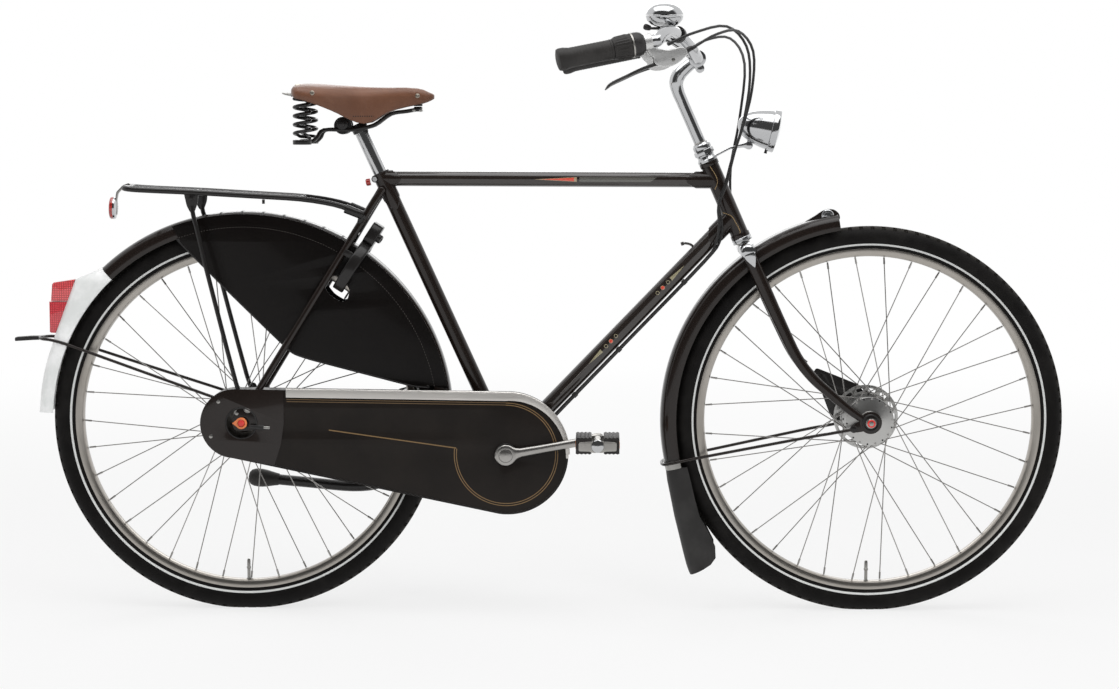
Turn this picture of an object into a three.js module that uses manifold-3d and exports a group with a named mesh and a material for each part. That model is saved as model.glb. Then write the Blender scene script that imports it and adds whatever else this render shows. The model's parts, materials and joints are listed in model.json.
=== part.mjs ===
// A Dutch city bike at its real size, in millimetres, as a scene graph of named meshes.
// The origin is the middle of the rear axle, +X points forward, +Y to the bike's left and +Z up.
import * as THREE from "three";
import { mergeVertices } from "three/addons/utils/BufferGeometryUtils.js";
import Module from "manifold-3d";

const wasm = await Module();
wasm.setup();

// Clearances and mesh fineness
const fitGap = 0.3;
const overrun = 20;
const weldDistance = 1e-3;
const smallestEdge = 0.15;
const tubeSides = 12;
const thinSides = 6;
const spokeSides = 3;
const wheelSegments = 26;
const hubSegments = 12;

// Wheels
const wheelbase = 1150;
const tyreRadius = 357.5;
const tyreWidth = 44;
const treadWidth = 12;
const tyreHeight = 40.5;
const rimHookHeight = 6.5;
const rimDepth = 15;
const rimFlangeRadius = tyreRadius - tyreHeight;
const rimBedRadius = rimFlangeRadius - rimHookHeight;
const rimInnerRadius = rimFlangeRadius - rimDepth;
const rimWidth = 27.5;
const rimWall = 2.4;
const spokeCount = 36;
const spokeDiameter = 2;
const spokeCrossAngle = 60;
const spokeRimOffset = 4;
const spokePhase = 4.2;
const spokeRimRoom = 2.4;

// Hubs and axles
const axleRadius = 5;
const axleRunningGap = 0.4;
const frontDropoutSpacing = 100;
const frontFlangeRadius = 45;
const frontFlangeInset = 17;
const flangeThickness = 4.4;
const frontBarrelRadius = 36;
const hubEndRadius = 18;
const frontDiscRadius = 60;
const rearDiscRadius = 52;
const discThickness = 3;
const discSlots = 5;
const discSlotLength = 14;
const discSlotWidth = 8;
const rearDropoutSpacing = 130;
const rearFlangeRadius = 34;
const rearFlangeRight = 31;
const rearFlangeLeft = 30;
const rearBarrelRadius = 27;
const brakeDrumDepth = 12;
const locknutRadius = 10;
const locknutLength = 5;
const axleNutRadius = 9;
const axleNutLength = 9;

// Frame
const bottomBracketForward = 483.5;
const bottomBracketDrop = 56.5;
const bottomBracketRadius = 20;
const bottomBracketWidth = 68;
const spindleRadius = 8.2;
const spindleGap = 0.9;
const seatAngle = 65.5;
const headAngle = 66.25;
const forkRake = 80.8;
const forkLength = 394.2;
const seatTubeLength = 562;
const seatTubeRadius = 14;
const topTubeRadius = 13.8;
const downTubeRadius = 15.4;
const topTubeBelowSeatTop = 12;
const topTubeUpHead = 124;
const downTubeUpHead = 50;
const lugWall = 1.8;
const pumpPegShare = 0.85;
const pumpPegHeight = 9;
const pumpPegRadius = 4.5;
const topLugLength = 46;
const downLugLength = 52;
const seatLugLength = 44;
const bracketLugLength = 46;
const headTubeStart = 9;
const headTubeEnd = 160;
const headTubeRadius = 16.5;
const lowerCupRadius = 18.5;
const steererRadius = 12.7;
const steererGap = 0.8;
const headsetHeight = 37;
const headsetRadius = 18.5;
const seatPostRadius = 12.6;
const chainStayRadius = 9;
const chainStayEndRadius = 7.5;
const seatStayRadius = 7.5;
const dropoutThickness = 4;
const eyeletForward = 11.5;
const eyeletUp = 26;
const tabThickness = 2.5;

// Fork and front end
const bladeWidth = 19;
const bladeDepth = 25;
const bladeTipShare = 0.56;
const crownHalfWidth = 47;
const forkEndRadius = 20.5;
const forkEndThickness = 6;

// Mudguards
const guardClearance = 26.5;
const guardRadius = tyreRadius + guardClearance;
const guardHalfWidth = 30;
const guardSkirt = 18;
const guardThickness = 1.6;
const rearGuardFront = 8;
const rearGuardTop = 133;
const rearTailEnd = 178;
const frontGuardFront = 99;
const frontGuardRear = 193.5;
const stayRadius = 3;

const rad = THREE.MathUtils.degToRad;
const at = (x, y, z) => new THREE.Vector3(x, y, z);
const yAxis = at(0, 1, 0);

// Places that follow from the driving dimensions
const rearAxle = at(0, 0, 0);
const frontAxle = at(wheelbase, 0, 0);
const bottomBracket = at(bottomBracketForward, 0, -bottomBracketDrop);
const seatDirection = at(-Math.cos(rad(seatAngle)), 0, Math.sin(rad(seatAngle)));
const headDirection = at(-Math.cos(rad(headAngle)), 0, Math.sin(rad(headAngle)));
const headForward = at(Math.sin(rad(headAngle)), 0, Math.cos(rad(headAngle)));
const headBase = frontAxle
  .clone()
  .addScaledVector(headForward, -forkRake)
  .addScaledVector(headDirection, forkLength);
const upSeat = (distance) => bottomBracket.clone().addScaledVector(seatDirection, distance);
const upHead = (distance) => headBase.clone().addScaledVector(headDirection, distance);
const steeringTilt = rad(headAngle) - Math.PI / 2;

// Turns a geometry into a solid that can be joined and cut
function solidOf(shape) {
  if (!shape.isBufferGeometry) return shape;
  const bare = new THREE.BufferGeometry();
  bare.setAttribute("position", shape.getAttribute("position"));
  if (shape.index) bare.setIndex(shape.index);
  const merged = mergeVertices(bare, weldDistance);
  return new wasm.Manifold(
    new wasm.Mesh({
      numProp: 3,
      vertProperties: new Float32Array(merged.attributes.position.array),
      triVerts: new Uint32Array(merged.index.array),
    }),
  );
}

function geometryOf(shape) {
  if (shape.isBufferGeometry) return shape;
  const mesh = shape.asOriginal().simplify(smallestEdge).getMesh();
  const geometry = new THREE.BufferGeometry();
  const positions = new Float32Array(mesh.numVert * 3);
  for (let i = 0; i < mesh.numVert; i++) {
    const from = i * mesh.numProp;
    positions.set(mesh.vertProperties.subarray(from, from + 3), i * 3);
  }
  geometry.setAttribute("position", new THREE.BufferAttribute(positions, 3));
  geometry.setIndex(new THREE.BufferAttribute(new Uint32Array(mesh.triVerts), 1));
  return geometry;
}

const join = (...shapes) => shapes.map(solidOf).reduce((a, b) => a.add(b));
const cut = (shape, ...tools) => tools.map(solidOf).reduce((a, b) => a.subtract(b), solidOf(shape));

function material(color, roughness, metalness) {
  return new THREE.MeshStandardMaterial({ color, roughness, metalness });
}

const blackLacquer = material(0x0c0a09, 0.18, 0.0);
const chrome = material(0xd8d9da, 0.12, 1.0);
const satinAlloy = material(0xbdb9b0, 0.35, 1.0);
const spokeSteel = material(0xa9a49c, 0.35, 1.0);
const rubber = material(0x16130f, 0.75, 0.0);
const tyreRubber = material(0x121110, 0.85, 0.0);
const leather = material(0x8a532f, 0.55, 0.0);
const blackSteel = material(0x17161a, 0.4, 0.6);
const whitePlastic = material(0xe4e6e4, 0.4, 0.0);
const redPlastic = material(0xc8202a, 0.25, 0.0);
const blackCloth = material(0x0e0c0b, 0.25, 0.0);
const greySteel = material(0x8b8984, 0.4, 1.0);

function part(name, shape, finish) {
  const geometry = geometryOf(shape);
  geometry.computeVertexNormals();
  const mesh = new THREE.Mesh(geometry, finish);
  mesh.name = name;
  return mesh;
}

function group(position, rotationY, ...children) {
  const made = new THREE.Group();
  made.position.copy(position);
  made.rotation.y = rotationY;
  made.add(...children);
  return made;
}

// A straight round bar from one point to another, which may taper
function rod(from, to, radius, sides = tubeSides, endRadius = radius) {
  const along = to.clone().sub(from);
  const length = along.length();
  const bar = new THREE.CylinderGeometry(endRadius, radius, length, sides);
  bar.translate(0, length / 2, 0);
  bar.applyQuaternion(new THREE.Quaternion().setFromUnitVectors(yAxis, along.normalize()));
  bar.translate(from.x, from.y, from.z);
  return bar;
}

// A round bar across the bike, from one Y to another
const crossRod = (place, yFrom, yTo, radius, sides = tubeSides) =>
  rod(at(place.x, yFrom, place.z), at(place.x, yTo, place.z), radius, sides);

function polygon(radiusX, radiusY, sides) {
  const points = [];
  for (let i = 0; i < sides; i++) {
    const angle = (2 * Math.PI * (i + 0.5)) / sides;
    points.push(new THREE.Vector2(radiusX * Math.cos(angle), radiusY * Math.sin(angle)));
  }
  return points;
}

// A tube of one section along a smooth curve through the points
function tube(points, radius, sides, steps, tension = 0.5) {
  return new THREE.ExtrudeGeometry(new THREE.Shape(polygon(radius, radius, sides)), {
    steps,
    extrudePath: new THREE.CatmullRomCurve3(points, false, "catmullrom", tension),
    bevelEnabled: false,
  });
}

// Skins a run of equal sections: place(point, station) gives each corner's place
function sweep(section, stations, place, closed = false) {
  const positions = [];
  const indices = [];
  for (const station of stations)
    for (const point of section) positions.push(...place(point, station).toArray());
  const count = section.length;
  const rings = stations.length;
  const spans = closed ? rings : rings - 1;
  for (let i = 0; i < spans; i++)
    for (let j = 0; j < count; j++) {
      const a = i * count + j;
      const b = i * count + ((j + 1) % count);
      const c = ((i + 1) % rings) * count + j;
      const d = ((i + 1) % rings) * count + ((j + 1) % count);
      indices.push(a, b, d, a, d, c);
    }
  if (!closed) {
    const end = (rings - 1) * count;
    const clockwise = THREE.ShapeUtils.isClockWise(section);
    for (const face of THREE.ShapeUtils.triangulateShape(section, [])) {
      const sameWay = THREE.ShapeUtils.isClockWise(face.map((i) => section[i])) === clockwise;
      const [a, b, c] = sameWay ? face : face.reverse();
      indices.push(a, c, b, end + a, end + b, end + c);
    }
  }
  const geometry = new THREE.BufferGeometry();
  geometry.setAttribute("position", new THREE.Float32BufferAttribute(positions, 3));
  geometry.setIndex(indices);
  return facingOut(geometry);
}

function facingOut(geometry) {
  const p = geometry.getAttribute("position");
  const corner = (i) => new THREE.Vector3().fromBufferAttribute(p, geometry.index.getX(i));
  let volume = 0;
  for (let i = 0; i < geometry.index.count; i += 3)
    volume += corner(i).dot(corner(i + 1).cross(corner(i + 2)));
  if (volume < 0) {
    const turned = Array.from(geometry.index.array);
    for (let i = 0; i < turned.length; i += 3)
      [turned[i + 1], turned[i + 2]] = [turned[i + 2], turned[i + 1]];
    geometry.setIndex(turned);
  }
  return geometry;
}

const spread = (from, to, steps) =>
  Array.from({ length: steps + 1 }, (_, i) => from + ((to - from) * i) / steps);

const flat = (pairs) => pairs.map(([x, y]) => new THREE.Vector2(x, y));

// A flat plate in the side view, cut from an outline of [x, z] pairs, between two values of Y
function sidePlate(outline, yFrom, yTo, holes = []) {
  const shape = new THREE.Shape(flat(outline));
  for (const hole of holes) shape.holes.push(new THREE.Path(hole));
  const plate = new THREE.ExtrudeGeometry(shape, {
    depth: yTo - yFrom,
    steps: 1,
    bevelEnabled: false,
  });
  plate.rotateX(Math.PI / 2);
  plate.translate(0, yTo, 0);
  return plate;
}

const roundHole = (x, z, radius, sides = tubeSides) =>
  polygon(radius, radius, sides).map((p) => p.add(new THREE.Vector2(x, z)));

// A body of revolution about the Y axis, from a closed outline of [radius, y] pairs
function turned(outline, segments) {
  const closedOutline = [...outline, outline[0]];
  const lathe = new THREE.LatheGeometry(flat(closedOutline), segments);
  const bare = new THREE.BufferGeometry();
  bare.setAttribute("position", lathe.getAttribute("position"));
  bare.setIndex(lathe.index);
  return facingOut(mergeVertices(bare, weldDistance));
}

const mirrored = (outline) => outline.map(([r, y]) => [r, -y]).reverse();

// A block between two corners
function block(low, high) {
  const size = high.clone().sub(low);
  const made = new THREE.BoxGeometry(size.x, size.y, size.z);
  made.translate((low.x + high.x) / 2, (low.y + high.y) / 2, (low.z + high.z) / 2);
  return made;
}

const flipY = (shape) => solidOf(shape).mirror([0, 1, 0]);

// Wheels, each modelled about its own axle

function tyreShape() {
  const half = tyreWidth / 2;
  const bead = rimWidth / 2 - rimWall - fitGap;
  const height = tyreRadius - rimBedRadius;
  const outer = [
    [rimBedRadius + fitGap, bead],
    [rimFlangeRadius + fitGap, bead],
    [rimFlangeRadius + height * 0.38, half],
    [tyreRadius - height * 0.12, half * 0.68],
    [tyreRadius, treadWidth / 2],
  ];
  return turned([...outer, ...mirrored(outer)], wheelSegments).rotateY(Math.PI / wheelSegments);
}

function rimShape() {
  const half = rimWidth / 2;
  const outer = [
    [rimFlangeRadius, half - rimWall],
    [rimFlangeRadius, half],
    [rimInnerRadius, half * 0.5],
  ];
  const bed = [[rimBedRadius, -(half - rimWall)]];
  const outline = [...outer, ...mirrored(outer), ...bed, ...mirrored(bed)];
  return turned(outline, wheelSegments).rotateY(Math.PI / wheelSegments);
}

// The spokes cross three times and pull on alternate sides of each flange
function spokes(rightRadius, leftRadius, rightY, leftY) {
  const lengths = [];
  for (let i = 0; i < spokeCount; i++) {
    const side = i % 2 ? 1 : -1;
    const leading = Math.floor(i / 2) % 2 ? 1 : -1;
    const rimAngle = rad(((i + 0.5) * 360) / spokeCount);
    const flangeAngle = rimAngle + leading * rad(spokeCrossAngle);
    const radius = side > 0 ? leftRadius : rightRadius;
    const y = (side > 0 ? leftY : rightY) + side * leading * spokeDiameter * 0.55;
    const rimReach = rimInnerRadius - spokeRimRoom;
    const from = at(radius * Math.cos(flangeAngle), y, radius * Math.sin(flangeAngle));
    const rimY = side * (spokeRimOffset + leading * spokeDiameter * 0.55);
    const to = at(rimReach * Math.cos(rimAngle), rimY, rimReach * Math.sin(rimAngle));
    lengths.push(sweepRod(from, to, spokeDiameter / 2, spokeSides));
  }
  return lengths;
}

function sweepRod(from, to, radius, sides) {
  return new THREE.ExtrudeGeometry(new THREE.Shape(polygon(radius, radius, sides)), {
    steps: 1,
    extrudePath: new THREE.LineCurve3(from, to),
    bevelEnabled: false,
  });
}

function frontHubShape() {
  const flangeY = frontDropoutSpacing / 2 - frontFlangeInset;
  const end = frontDropoutSpacing / 2 - locknutLength - fitGap;
  const bore = axleRadius + axleRunningGap;
  const half = flangeThickness / 2;
  const right = [
    [bore, -end],
    [hubEndRadius, -end],
    [hubEndRadius + 4, -flangeY - half],
    [frontFlangeRadius, -flangeY - half],
    [frontFlangeRadius, -flangeY + half],
    [frontBarrelRadius, -flangeY + half + 2],
  ];
  const discY = flangeY + half + 1.5;
  const leftEnd = discY + discThickness + 1.2;
  const left = [
    [frontBarrelRadius, flangeY - half - 2],
    [frontFlangeRadius, flangeY - half],
    [frontFlangeRadius, flangeY + half],
    [hubEndRadius, discY],
    [hubEndRadius, leftEnd],
    [bore, leftEnd],
  ];
  const disc = brakeDisc(frontDiscRadius, discY);
  const shell = turned([...right, ...left], hubSegments);
  const reach = frontFlangeRadius - 3;
  return join(shell, disc, ...spokes(reach, reach, -flangeY, flangeY));
}

// The brake's cooling disc, with long holes round its rim
function brakeDisc(radius, y) {
  const disc = sidePlate(polygon(radius, radius, 16).map((p) => [p.x, p.y]), y, y + discThickness, [
    ...Array.from({ length: discSlots }, (_, i) => discSlot(radius, (2 * Math.PI * i) / discSlots)),
    polygon(hubEndRadius - 2, hubEndRadius - 2, tubeSides),
  ]);
  return disc;
}

function discSlot(radius, angle) {
  const middle = radius - discSlotWidth;
  const half = discSlotLength / 2;
  const width = discSlotWidth / 2;
  const corners = [
    [-half, -width],
    [half, -width],
    [half, width],
    [-half, width],
  ];
  const centre = new THREE.Vector2();
  return flat(corners).map((p) => p.add(new THREE.Vector2(0, middle)).rotateAround(centre, angle));
}

function rearHubShape() {
  const bore = axleRadius + axleRunningGap;
  const half = flangeThickness / 2;
  const leftEnd = rearDropoutSpacing / 2 - locknutLength - fitGap;
  const discY = rearFlangeLeft + half + 6;
  const outline = [
    [bore, -rearFlangeRight - half],
    [rearFlangeRadius, -rearFlangeRight - half],
    [rearFlangeRadius, -rearFlangeRight + half],
    [rearBarrelRadius, -rearFlangeRight + half + 3],
    [rearBarrelRadius, rearFlangeLeft - half - 3],
    [rearFlangeRadius, rearFlangeLeft - half],
    [rearFlangeRadius, rearFlangeLeft + half],
    [hubEndRadius, discY],
    [hubEndRadius, leftEnd - brakeDrumDepth],
    [bore, leftEnd - brakeDrumDepth],
  ];
  const disc = brakeDisc(rearDiscRadius, discY);
  const reach = rearFlangeRadius - 3;
  return join(
    turned(outline, hubSegments),
    disc,
    ...spokes(reach, reach, -rearFlangeRight, rearFlangeLeft),
  );
}

// Frame tubes and lugs

// A sleeve round a tube that runs from a place along a direction
function sleeve(place, direction, from, to, innerRadius) {
  const start = place.clone().addScaledVector(direction, from);
  const end = place.clone().addScaledVector(direction, to);
  return rod(start, end, innerRadius + lugWall);
}

function socket(place, direction, from, to, tubeRadius) {
  const start = place.clone().addScaledVector(direction, from);
  const end = place.clone().addScaledVector(direction, to + overrun);
  return rod(start, end, tubeRadius + fitGap);
}

const topTubeRear = upSeat(seatTubeLength - topTubeBelowSeatTop);
const topTubeFront = upHead(topTubeUpHead);
const topTubeForward = topTubeFront.clone().sub(topTubeRear).normalize();
const topTubeBack = topTubeForward.clone().negate();
const downTubeTop = upHead(downTubeUpHead);
const downTubeUp = downTubeTop.clone().sub(bottomBracket).normalize();
const downTubeDown = downTubeUp.clone().negate();

// Each tube's end is coped round the tube that it meets, with the fit gap between them
const headCope = () =>
  rod(upHead(headTubeStart - overrun), upHead(headTubeEnd + overrun), headTubeRadius + fitGap, hubSegments);
const bracketCope = () => {
  const half = bottomBracketWidth / 2 + overrun;
  return crossRod(bottomBracket, -half, half, bottomBracketRadius + fitGap, hubSegments);
};
const seatCope = () => {
  const low = upSeat(seatTubeLength - seatLugLength - overrun);
  return rod(low, upSeat(seatTubeLength + overrun), seatTubeRadius + lugWall + fitGap);
};

function headTubeShape() {
  const shell = rod(upHead(headTubeStart), upHead(headTubeEnd), headTubeRadius, hubSegments);
  const lowerCup = rod(upHead(0), upHead(headTubeStart + fitGap), lowerCupRadius, hubSegments);
  const bore = rod(
    upHead(headTubeStart - overrun),
    upHead(headTubeEnd + overrun),
    steererRadius + steererGap,
    tubeSides,
  );
  const topSleeve = sleeve(topTubeFront, topTubeBack, 0, topLugLength, topTubeRadius + fitGap);
  const downSleeve = sleeve(downTubeTop, downTubeDown, 0, downLugLength, downTubeRadius + fitGap);
  const topSocket = socket(topTubeFront, topTubeBack, 0, topLugLength, topTubeRadius);
  const downSocket = socket(downTubeTop, downTubeDown, 0, downLugLength, downTubeRadius);
  const lugs = cut(join(topSleeve, downSleeve), topSocket, downSocket);
  return cut(join(shell, lowerCup, lugs), bore);
}

const topTubeShape = () => cut(rod(topTubeRear, topTubeFront, topTubeRadius), headCope(), seatCope());
const seatTubeCope = () => rod(bottomBracket, upSeat(seatTubeLength / 2), seatTubeRadius + fitGap);
function downTubeShape() {
  const tubing = rod(bottomBracket, downTubeTop, downTubeRadius);
  return cut(join(tubing, pumpPeg()), headCope(), bracketCope(), seatTubeCope());
}

// The peg on the down tube that holds one end of a pump
function pumpPeg() {
  const upward = at(-downTubeUp.z, 0, downTubeUp.x);
  const foot = bottomBracket.clone().lerp(downTubeTop, pumpPegShare);
  const top = foot.clone().addScaledVector(upward, downTubeRadius + pumpPegHeight);
  return rod(foot, top, pumpPegRadius, thinSides);
}

function seatTubeShape() {
  const top = upSeat(seatTubeLength);
  const lug = rod(upSeat(seatTubeLength - seatLugLength), top, seatTubeRadius + lugWall);
  const topSleeve = sleeve(topTubeRear, topTubeForward, 0, topLugLength, topTubeRadius + fitGap);
  const topSocket = socket(topTubeRear, topTubeForward, 0, topLugLength, topTubeRadius);
  const binder = crossRod(upSeat(seatTubeLength - seatLugLength * 0.3).add(at(-seatTubeRadius, 0, 0)), -seatTubeRadius, seatTubeRadius, seatTubeRadius * 0.45);
  const bore = rod(upSeat(seatTubeLength - seatPostDepth - fitGap * 2), upSeat(seatTubeLength + overrun), seatPostRadius + fitGap);
  const post = rod(bottomBracket, top, seatTubeRadius);
  return cut(join(cut(topSleeve, topSocket), post, lug, binder), bore, bracketCope());
}

function bottomBracketShape() {
  const half = bottomBracketWidth / 2;
  const shell = crossRod(bottomBracket, -half, half, bottomBracketRadius, hubSegments);
  const seatSleeve = sleeve(bottomBracket, seatDirection, 0, bracketLugLength, seatTubeRadius + fitGap);
  const downSleeve = sleeve(bottomBracket, downTubeUp, 0, bracketLugLength, downTubeRadius + fitGap);
  const seatSocket = socket(bottomBracket, seatDirection, 0, bracketLugLength, seatTubeRadius);
  const downSocket = socket(bottomBracket, downTubeUp, 0, bracketLugLength, downTubeRadius);
  const lugs = cut(join(seatSleeve, downSleeve), seatSocket, downSocket);
  const bore = crossRod(bottomBracket, -half - overrun, half + overrun, spindleRadius + spindleGap);
  return cut(join(shell, lugs), bore);
}

// A stay along a smooth curve, thinner towards its rear end
function taperedTube(points, radiusFrom, radiusTo, sides, steps) {
  const curve = new THREE.CatmullRomCurve3(points);
  const frames = curve.computeFrenetFrames(steps, false);
  return sweep(polygon(1, 1, sides), spread(0, steps, steps), (corner, step) => {
    const radius = radiusFrom + ((radiusTo - radiusFrom) * step) / steps;
    return curve
      .getPointAt(step / steps)
      .addScaledVector(frames.normals[step], corner.x * radius)
      .addScaledVector(frames.binormals[step], corner.y * radius);
  });
}

const dropoutInner = rearDropoutSpacing / 2 + fitGap;
const dropoutOuter = dropoutInner + dropoutThickness;
const stayTabInner = dropoutOuter + fitGap;
const stayTabOuter = stayTabInner + tabThickness;
const strutTabInner = stayTabOuter + fitGap;
const strutTabOuter = strutTabInner + tabThickness;
const guardTabOuter = rearDropoutSpacing / 2 - fitGap;

const dropoutOutline = [
  [-17, -10],
  [-8, -16],
  [12, -15],
  [44, -14],
  [44, 5],
  [30, 30],
  [18, 37],
  [4, 35],
  [-12, 20],
  [-18, 5],
];

// The chain stay, its rear dropout plate and, on the left, the plate that carries the stand
function chainStayShape(side) {
  const points = [
    at(bottomBracketForward - bottomBracketRadius - 4, side * 26, -bottomBracketDrop + 3),
    at(400, side * 30, -47),
    at(250, side * 43, -29),
    at(70, side * 61, -10),
    at(34, side * (dropoutInner + dropoutThickness / 2), -5),
  ];
  const stay = taperedTube(points, chainStayRadius, chainStayEndRadius, 8, 8);
  const low = side > 0 ? dropoutInner : -dropoutOuter;
  const plate = sidePlate(dropoutOutline, low, low + dropoutThickness);
  const axleHole = crossRod(rearAxle, low - overrun, low + overrun, axleRadius + fitGap);
  const pieces = [stay, plate];
  if (side > 0) pieces.push(...standPlate());
  return cut(join(...pieces), axleHole);
}

const standPivot = at(262, 52, -106);
const standPlateThickness = 5;
const standPinRadius = 6;

function standPlate() {
  const outline = [
    [238, -26],
    [300, -38],
    [280, -92],
    [268, -116],
    [254, -116],
    [247, -96],
  ];
  const inner = standPivot.y - 13;
  const plate = sidePlate(outline, inner, inner + standPlateThickness);
  const pin = crossRod(standPivot, inner, standPivot.y + 16, standPinRadius);
  return [plate, pin];
}

const seatStayPoints = (side) => [
  at(252, side * 21.5, 420),
  at(236, side * 29, 394),
  at(198, side * 41, 332),
  at(120, side * 55, 205),
  at(26, side * (stayTabInner - 1), 52),
];

function seatStayShape(side) {
  const stay = taperedTube(seatStayPoints(side), seatStayRadius, seatStayRadius * 0.85, thinSides, 10);
  const low = side > 0 ? stayTabInner : -stayTabOuter;
  const tab = sidePlate(
    [
      [32, 58],
      [20, 58],
      [3, 30],
      [4, 20],
      [11, 17],
      [19, 20],
      [34, 50],
    ],
    low,
    low + tabThickness,
  );
  return join(stay, tab);
}

// Headset, seat post

function upperHeadsetShape() {
  const step = headsetHeight / 6;
  const inner = steererRadius + steererGap;
  const outline = [
    [inner, 0],
    [headsetRadius, 0],
    [headsetRadius, step],
    [headsetRadius - 3, step * 1.6],
    [headsetRadius - 2, step * 2],
    [headsetRadius - 2, step * 3],
    [headsetRadius - 4, step * 3.2],
    [headsetRadius - 4, step * 6],
    [inner, step * 6],
  ];
  return turned(outline, hubSegments).rotateX(Math.PI / 2);
}

const seatPostDepth = 70;
const seatPostReach = 90;
const seatPostTop = seatTubeLength + seatPostReach;

function seatPostShape() {
  return rod(upSeat(seatTubeLength - seatPostDepth), upSeat(seatPostTop), seatPostRadius);
}

// Rear axle with its locknuts, outer nuts and the fixed brake arm on the left

function axleOutline(spacing) {
  const half = spacing / 2;
  const nutStart = half + dropoutThickness + fitGap * 2;
  const right = [
    [0, -nutStart - axleNutLength],
    [axleNutRadius * 0.6, -nutStart - axleNutLength],
    [axleNutRadius, -nutStart - axleNutLength * 0.6],
    [axleNutRadius, -nutStart],
    [axleRadius, -nutStart],
    [axleRadius, -half],
    [locknutRadius, -half],
    [locknutRadius, -half + locknutLength],
    [axleRadius, -half + locknutLength],
  ];
  return [...right, ...mirrored(right)];
}

function turnedOpen(outline, segments) {
  const lathe = new THREE.LatheGeometry(flat(outline), segments);
  const bare = new THREE.BufferGeometry();
  bare.setAttribute("position", lathe.getAttribute("position"));
  bare.setIndex(lathe.index);
  const merged = mergeVertices(bare, weldDistance);
  return facingOut(merged);
}

const brakeArmThickness = 4;
const rearBrakeY = rearDropoutSpacing / 2 - locknutLength - brakeArmThickness;

function rearAxleShape() {
  const arm = sidePlate(
    [
      [-22, -14],
      [0, -26],
      [22, -26],
      [96, -44],
      [118, -45],
      [122, -33],
      [112, -27],
      [60, -24],
      [44, -18],
      [28, -6],
      [24, 14],
      [0, 26],
      [-22, 14],
    ],
    rearBrakeY - 0.5,
    rearBrakeY + brakeArmThickness - 0.5,
  );
  return join(turnedOpen(axleOutline(rearDropoutSpacing), 6), arm);
}

// Mudguards: a rolled section carried round the wheel

function guardSection() {
  const half = guardHalfWidth;
  const wall = guardThickness;
  const low = guardRadius - guardSkirt;
  const shoulder = guardRadius - guardSkirt * 0.38;
  const outer = [
    [low, half],
    [shoulder, half * 0.9],
    [guardRadius, half * 0.38],
  ];
  const inner = [
    [low, -half + wall],
    [shoulder - wall * 0.8, -half * 0.9 + wall],
    [guardRadius - wall, -half * 0.36],
  ];
  return flat([...outer, ...mirrored(outer), ...inner, ...mirrored(inner)]);
}

function guardArc(fromDegrees, toDegrees, steps, section = guardSection()) {
  return sweep(section, spread(rad(fromDegrees), rad(toDegrees), steps), (point, angle) =>
    at(point.x * Math.cos(angle), point.y, point.x * Math.sin(angle)),
  );
}

const rearGuardShape = () => guardArc(rearGuardFront, rearGuardTop, 16);

// The white tail widens into a housing that holds the lamp
const tailGapDegrees = 0.1;
const tailLampAngle = 145;
const lampHousingDepth = 24;

function rearTailShape() {
  const tail = guardArc(rearGuardTop + tailGapDegrees, rearTailEnd, 7);
  const housing = sweep(
    flat([
      [0, 1],
      [0.75, 0.8],
      [1, 0.35],
      [1, -0.35],
      [0.75, -0.8],
      [0, -1],
    ]),
    [0, 1, 2, 3],
    (point, station) => {
      const angle = rad([136.5, 138.5, 147, 158][station]);
      const rise = [1, lampHousingDepth, lampHousingDepth, 2][station];
      const width = [20, 22, 24, 20][station];
      const radius = guardRadius - 0.9 + point.x * rise;
      return at(radius * Math.cos(angle), point.y * width, radius * Math.sin(angle));
    },
  );
  return cut(join(tail, housing), tailLampBlock(fitGap));
}

function tailLampBlock(grow) {
  const section = flat([
    [0, 1],
    [0.8, 0.85],
    [1, 0.4],
    [1, -0.4],
    [0.8, -0.85],
    [0, -1],
  ]);
  const angles = [tailLampAngle - 5.5, tailLampAngle - 4.5, tailLampAngle + 2, tailLampAngle + 7.5, tailLampAngle + 8.5];
  return sweep(section, [0, 1, 2, 3, 4], (point, station) => {
    const widen = grow / guardRadius;
    const ends = (station > 2 ? 1 : -1) * (station === 2 ? 0 : widen);
    const angle = rad(angles[station]) + ends;
    const depth = [30, 40, 40, 30, 24][station];
    const radius = guardRadius + 6 - grow + point.x * (depth - 6 + grow);
    return at(radius * Math.cos(angle), point.y * (18 + grow), radius * Math.sin(angle));
  });
}

const tailLampShape = () => tailLampBlock(0);

// The rear stay runs round the mudguard from dropout to dropout
function rearStayShape() {
  const y = guardHalfWidth + 3.6;
  const low = guardTabOuter - tabThickness;
  const bolt = at(eyeletForward, 0, eyeletUp);
  const half = (side) => [
    at(-8, side * (low + 1.2), 31),
    at(-72, side * 58, 52.3),
    at(-276, side * (y + 1), 122),
    at(-330, side * y, 141),
    at(-356, side * y, 148),
    at(-374, side * (y - 8), 149.5),
  ];
  const wire = tube([...half(1), at(-383, 0, 150), ...half(-1).reverse()], stayRadius, 5, 20);
  const eyeTab = (side) => {
    const yLow = side > 0 ? low : -guardTabOuter;
    const outline = [
      [bolt.x + 7, bolt.z - 5],
      [bolt.x + 7, bolt.z + 5],
      [bolt.x - 20, bolt.z + 11],
      [bolt.x - 22, bolt.z + 3],
      [bolt.x - 3, bolt.z - 8],
    ];
    return sidePlate(outline, yLow, yLow + tabThickness);
  };
  const tab = block(at(-412, -9, 146.5), at(-382, 9, 152));
  return join(wire, eyeTab(1), eyeTab(-1), tab);
}

// Skirt guards: lacquered cloth from the mudguard's edge down towards the axle

const skirtInner = guardHalfWidth + fitGap;
const skirtThickness = 1.6;

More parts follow.
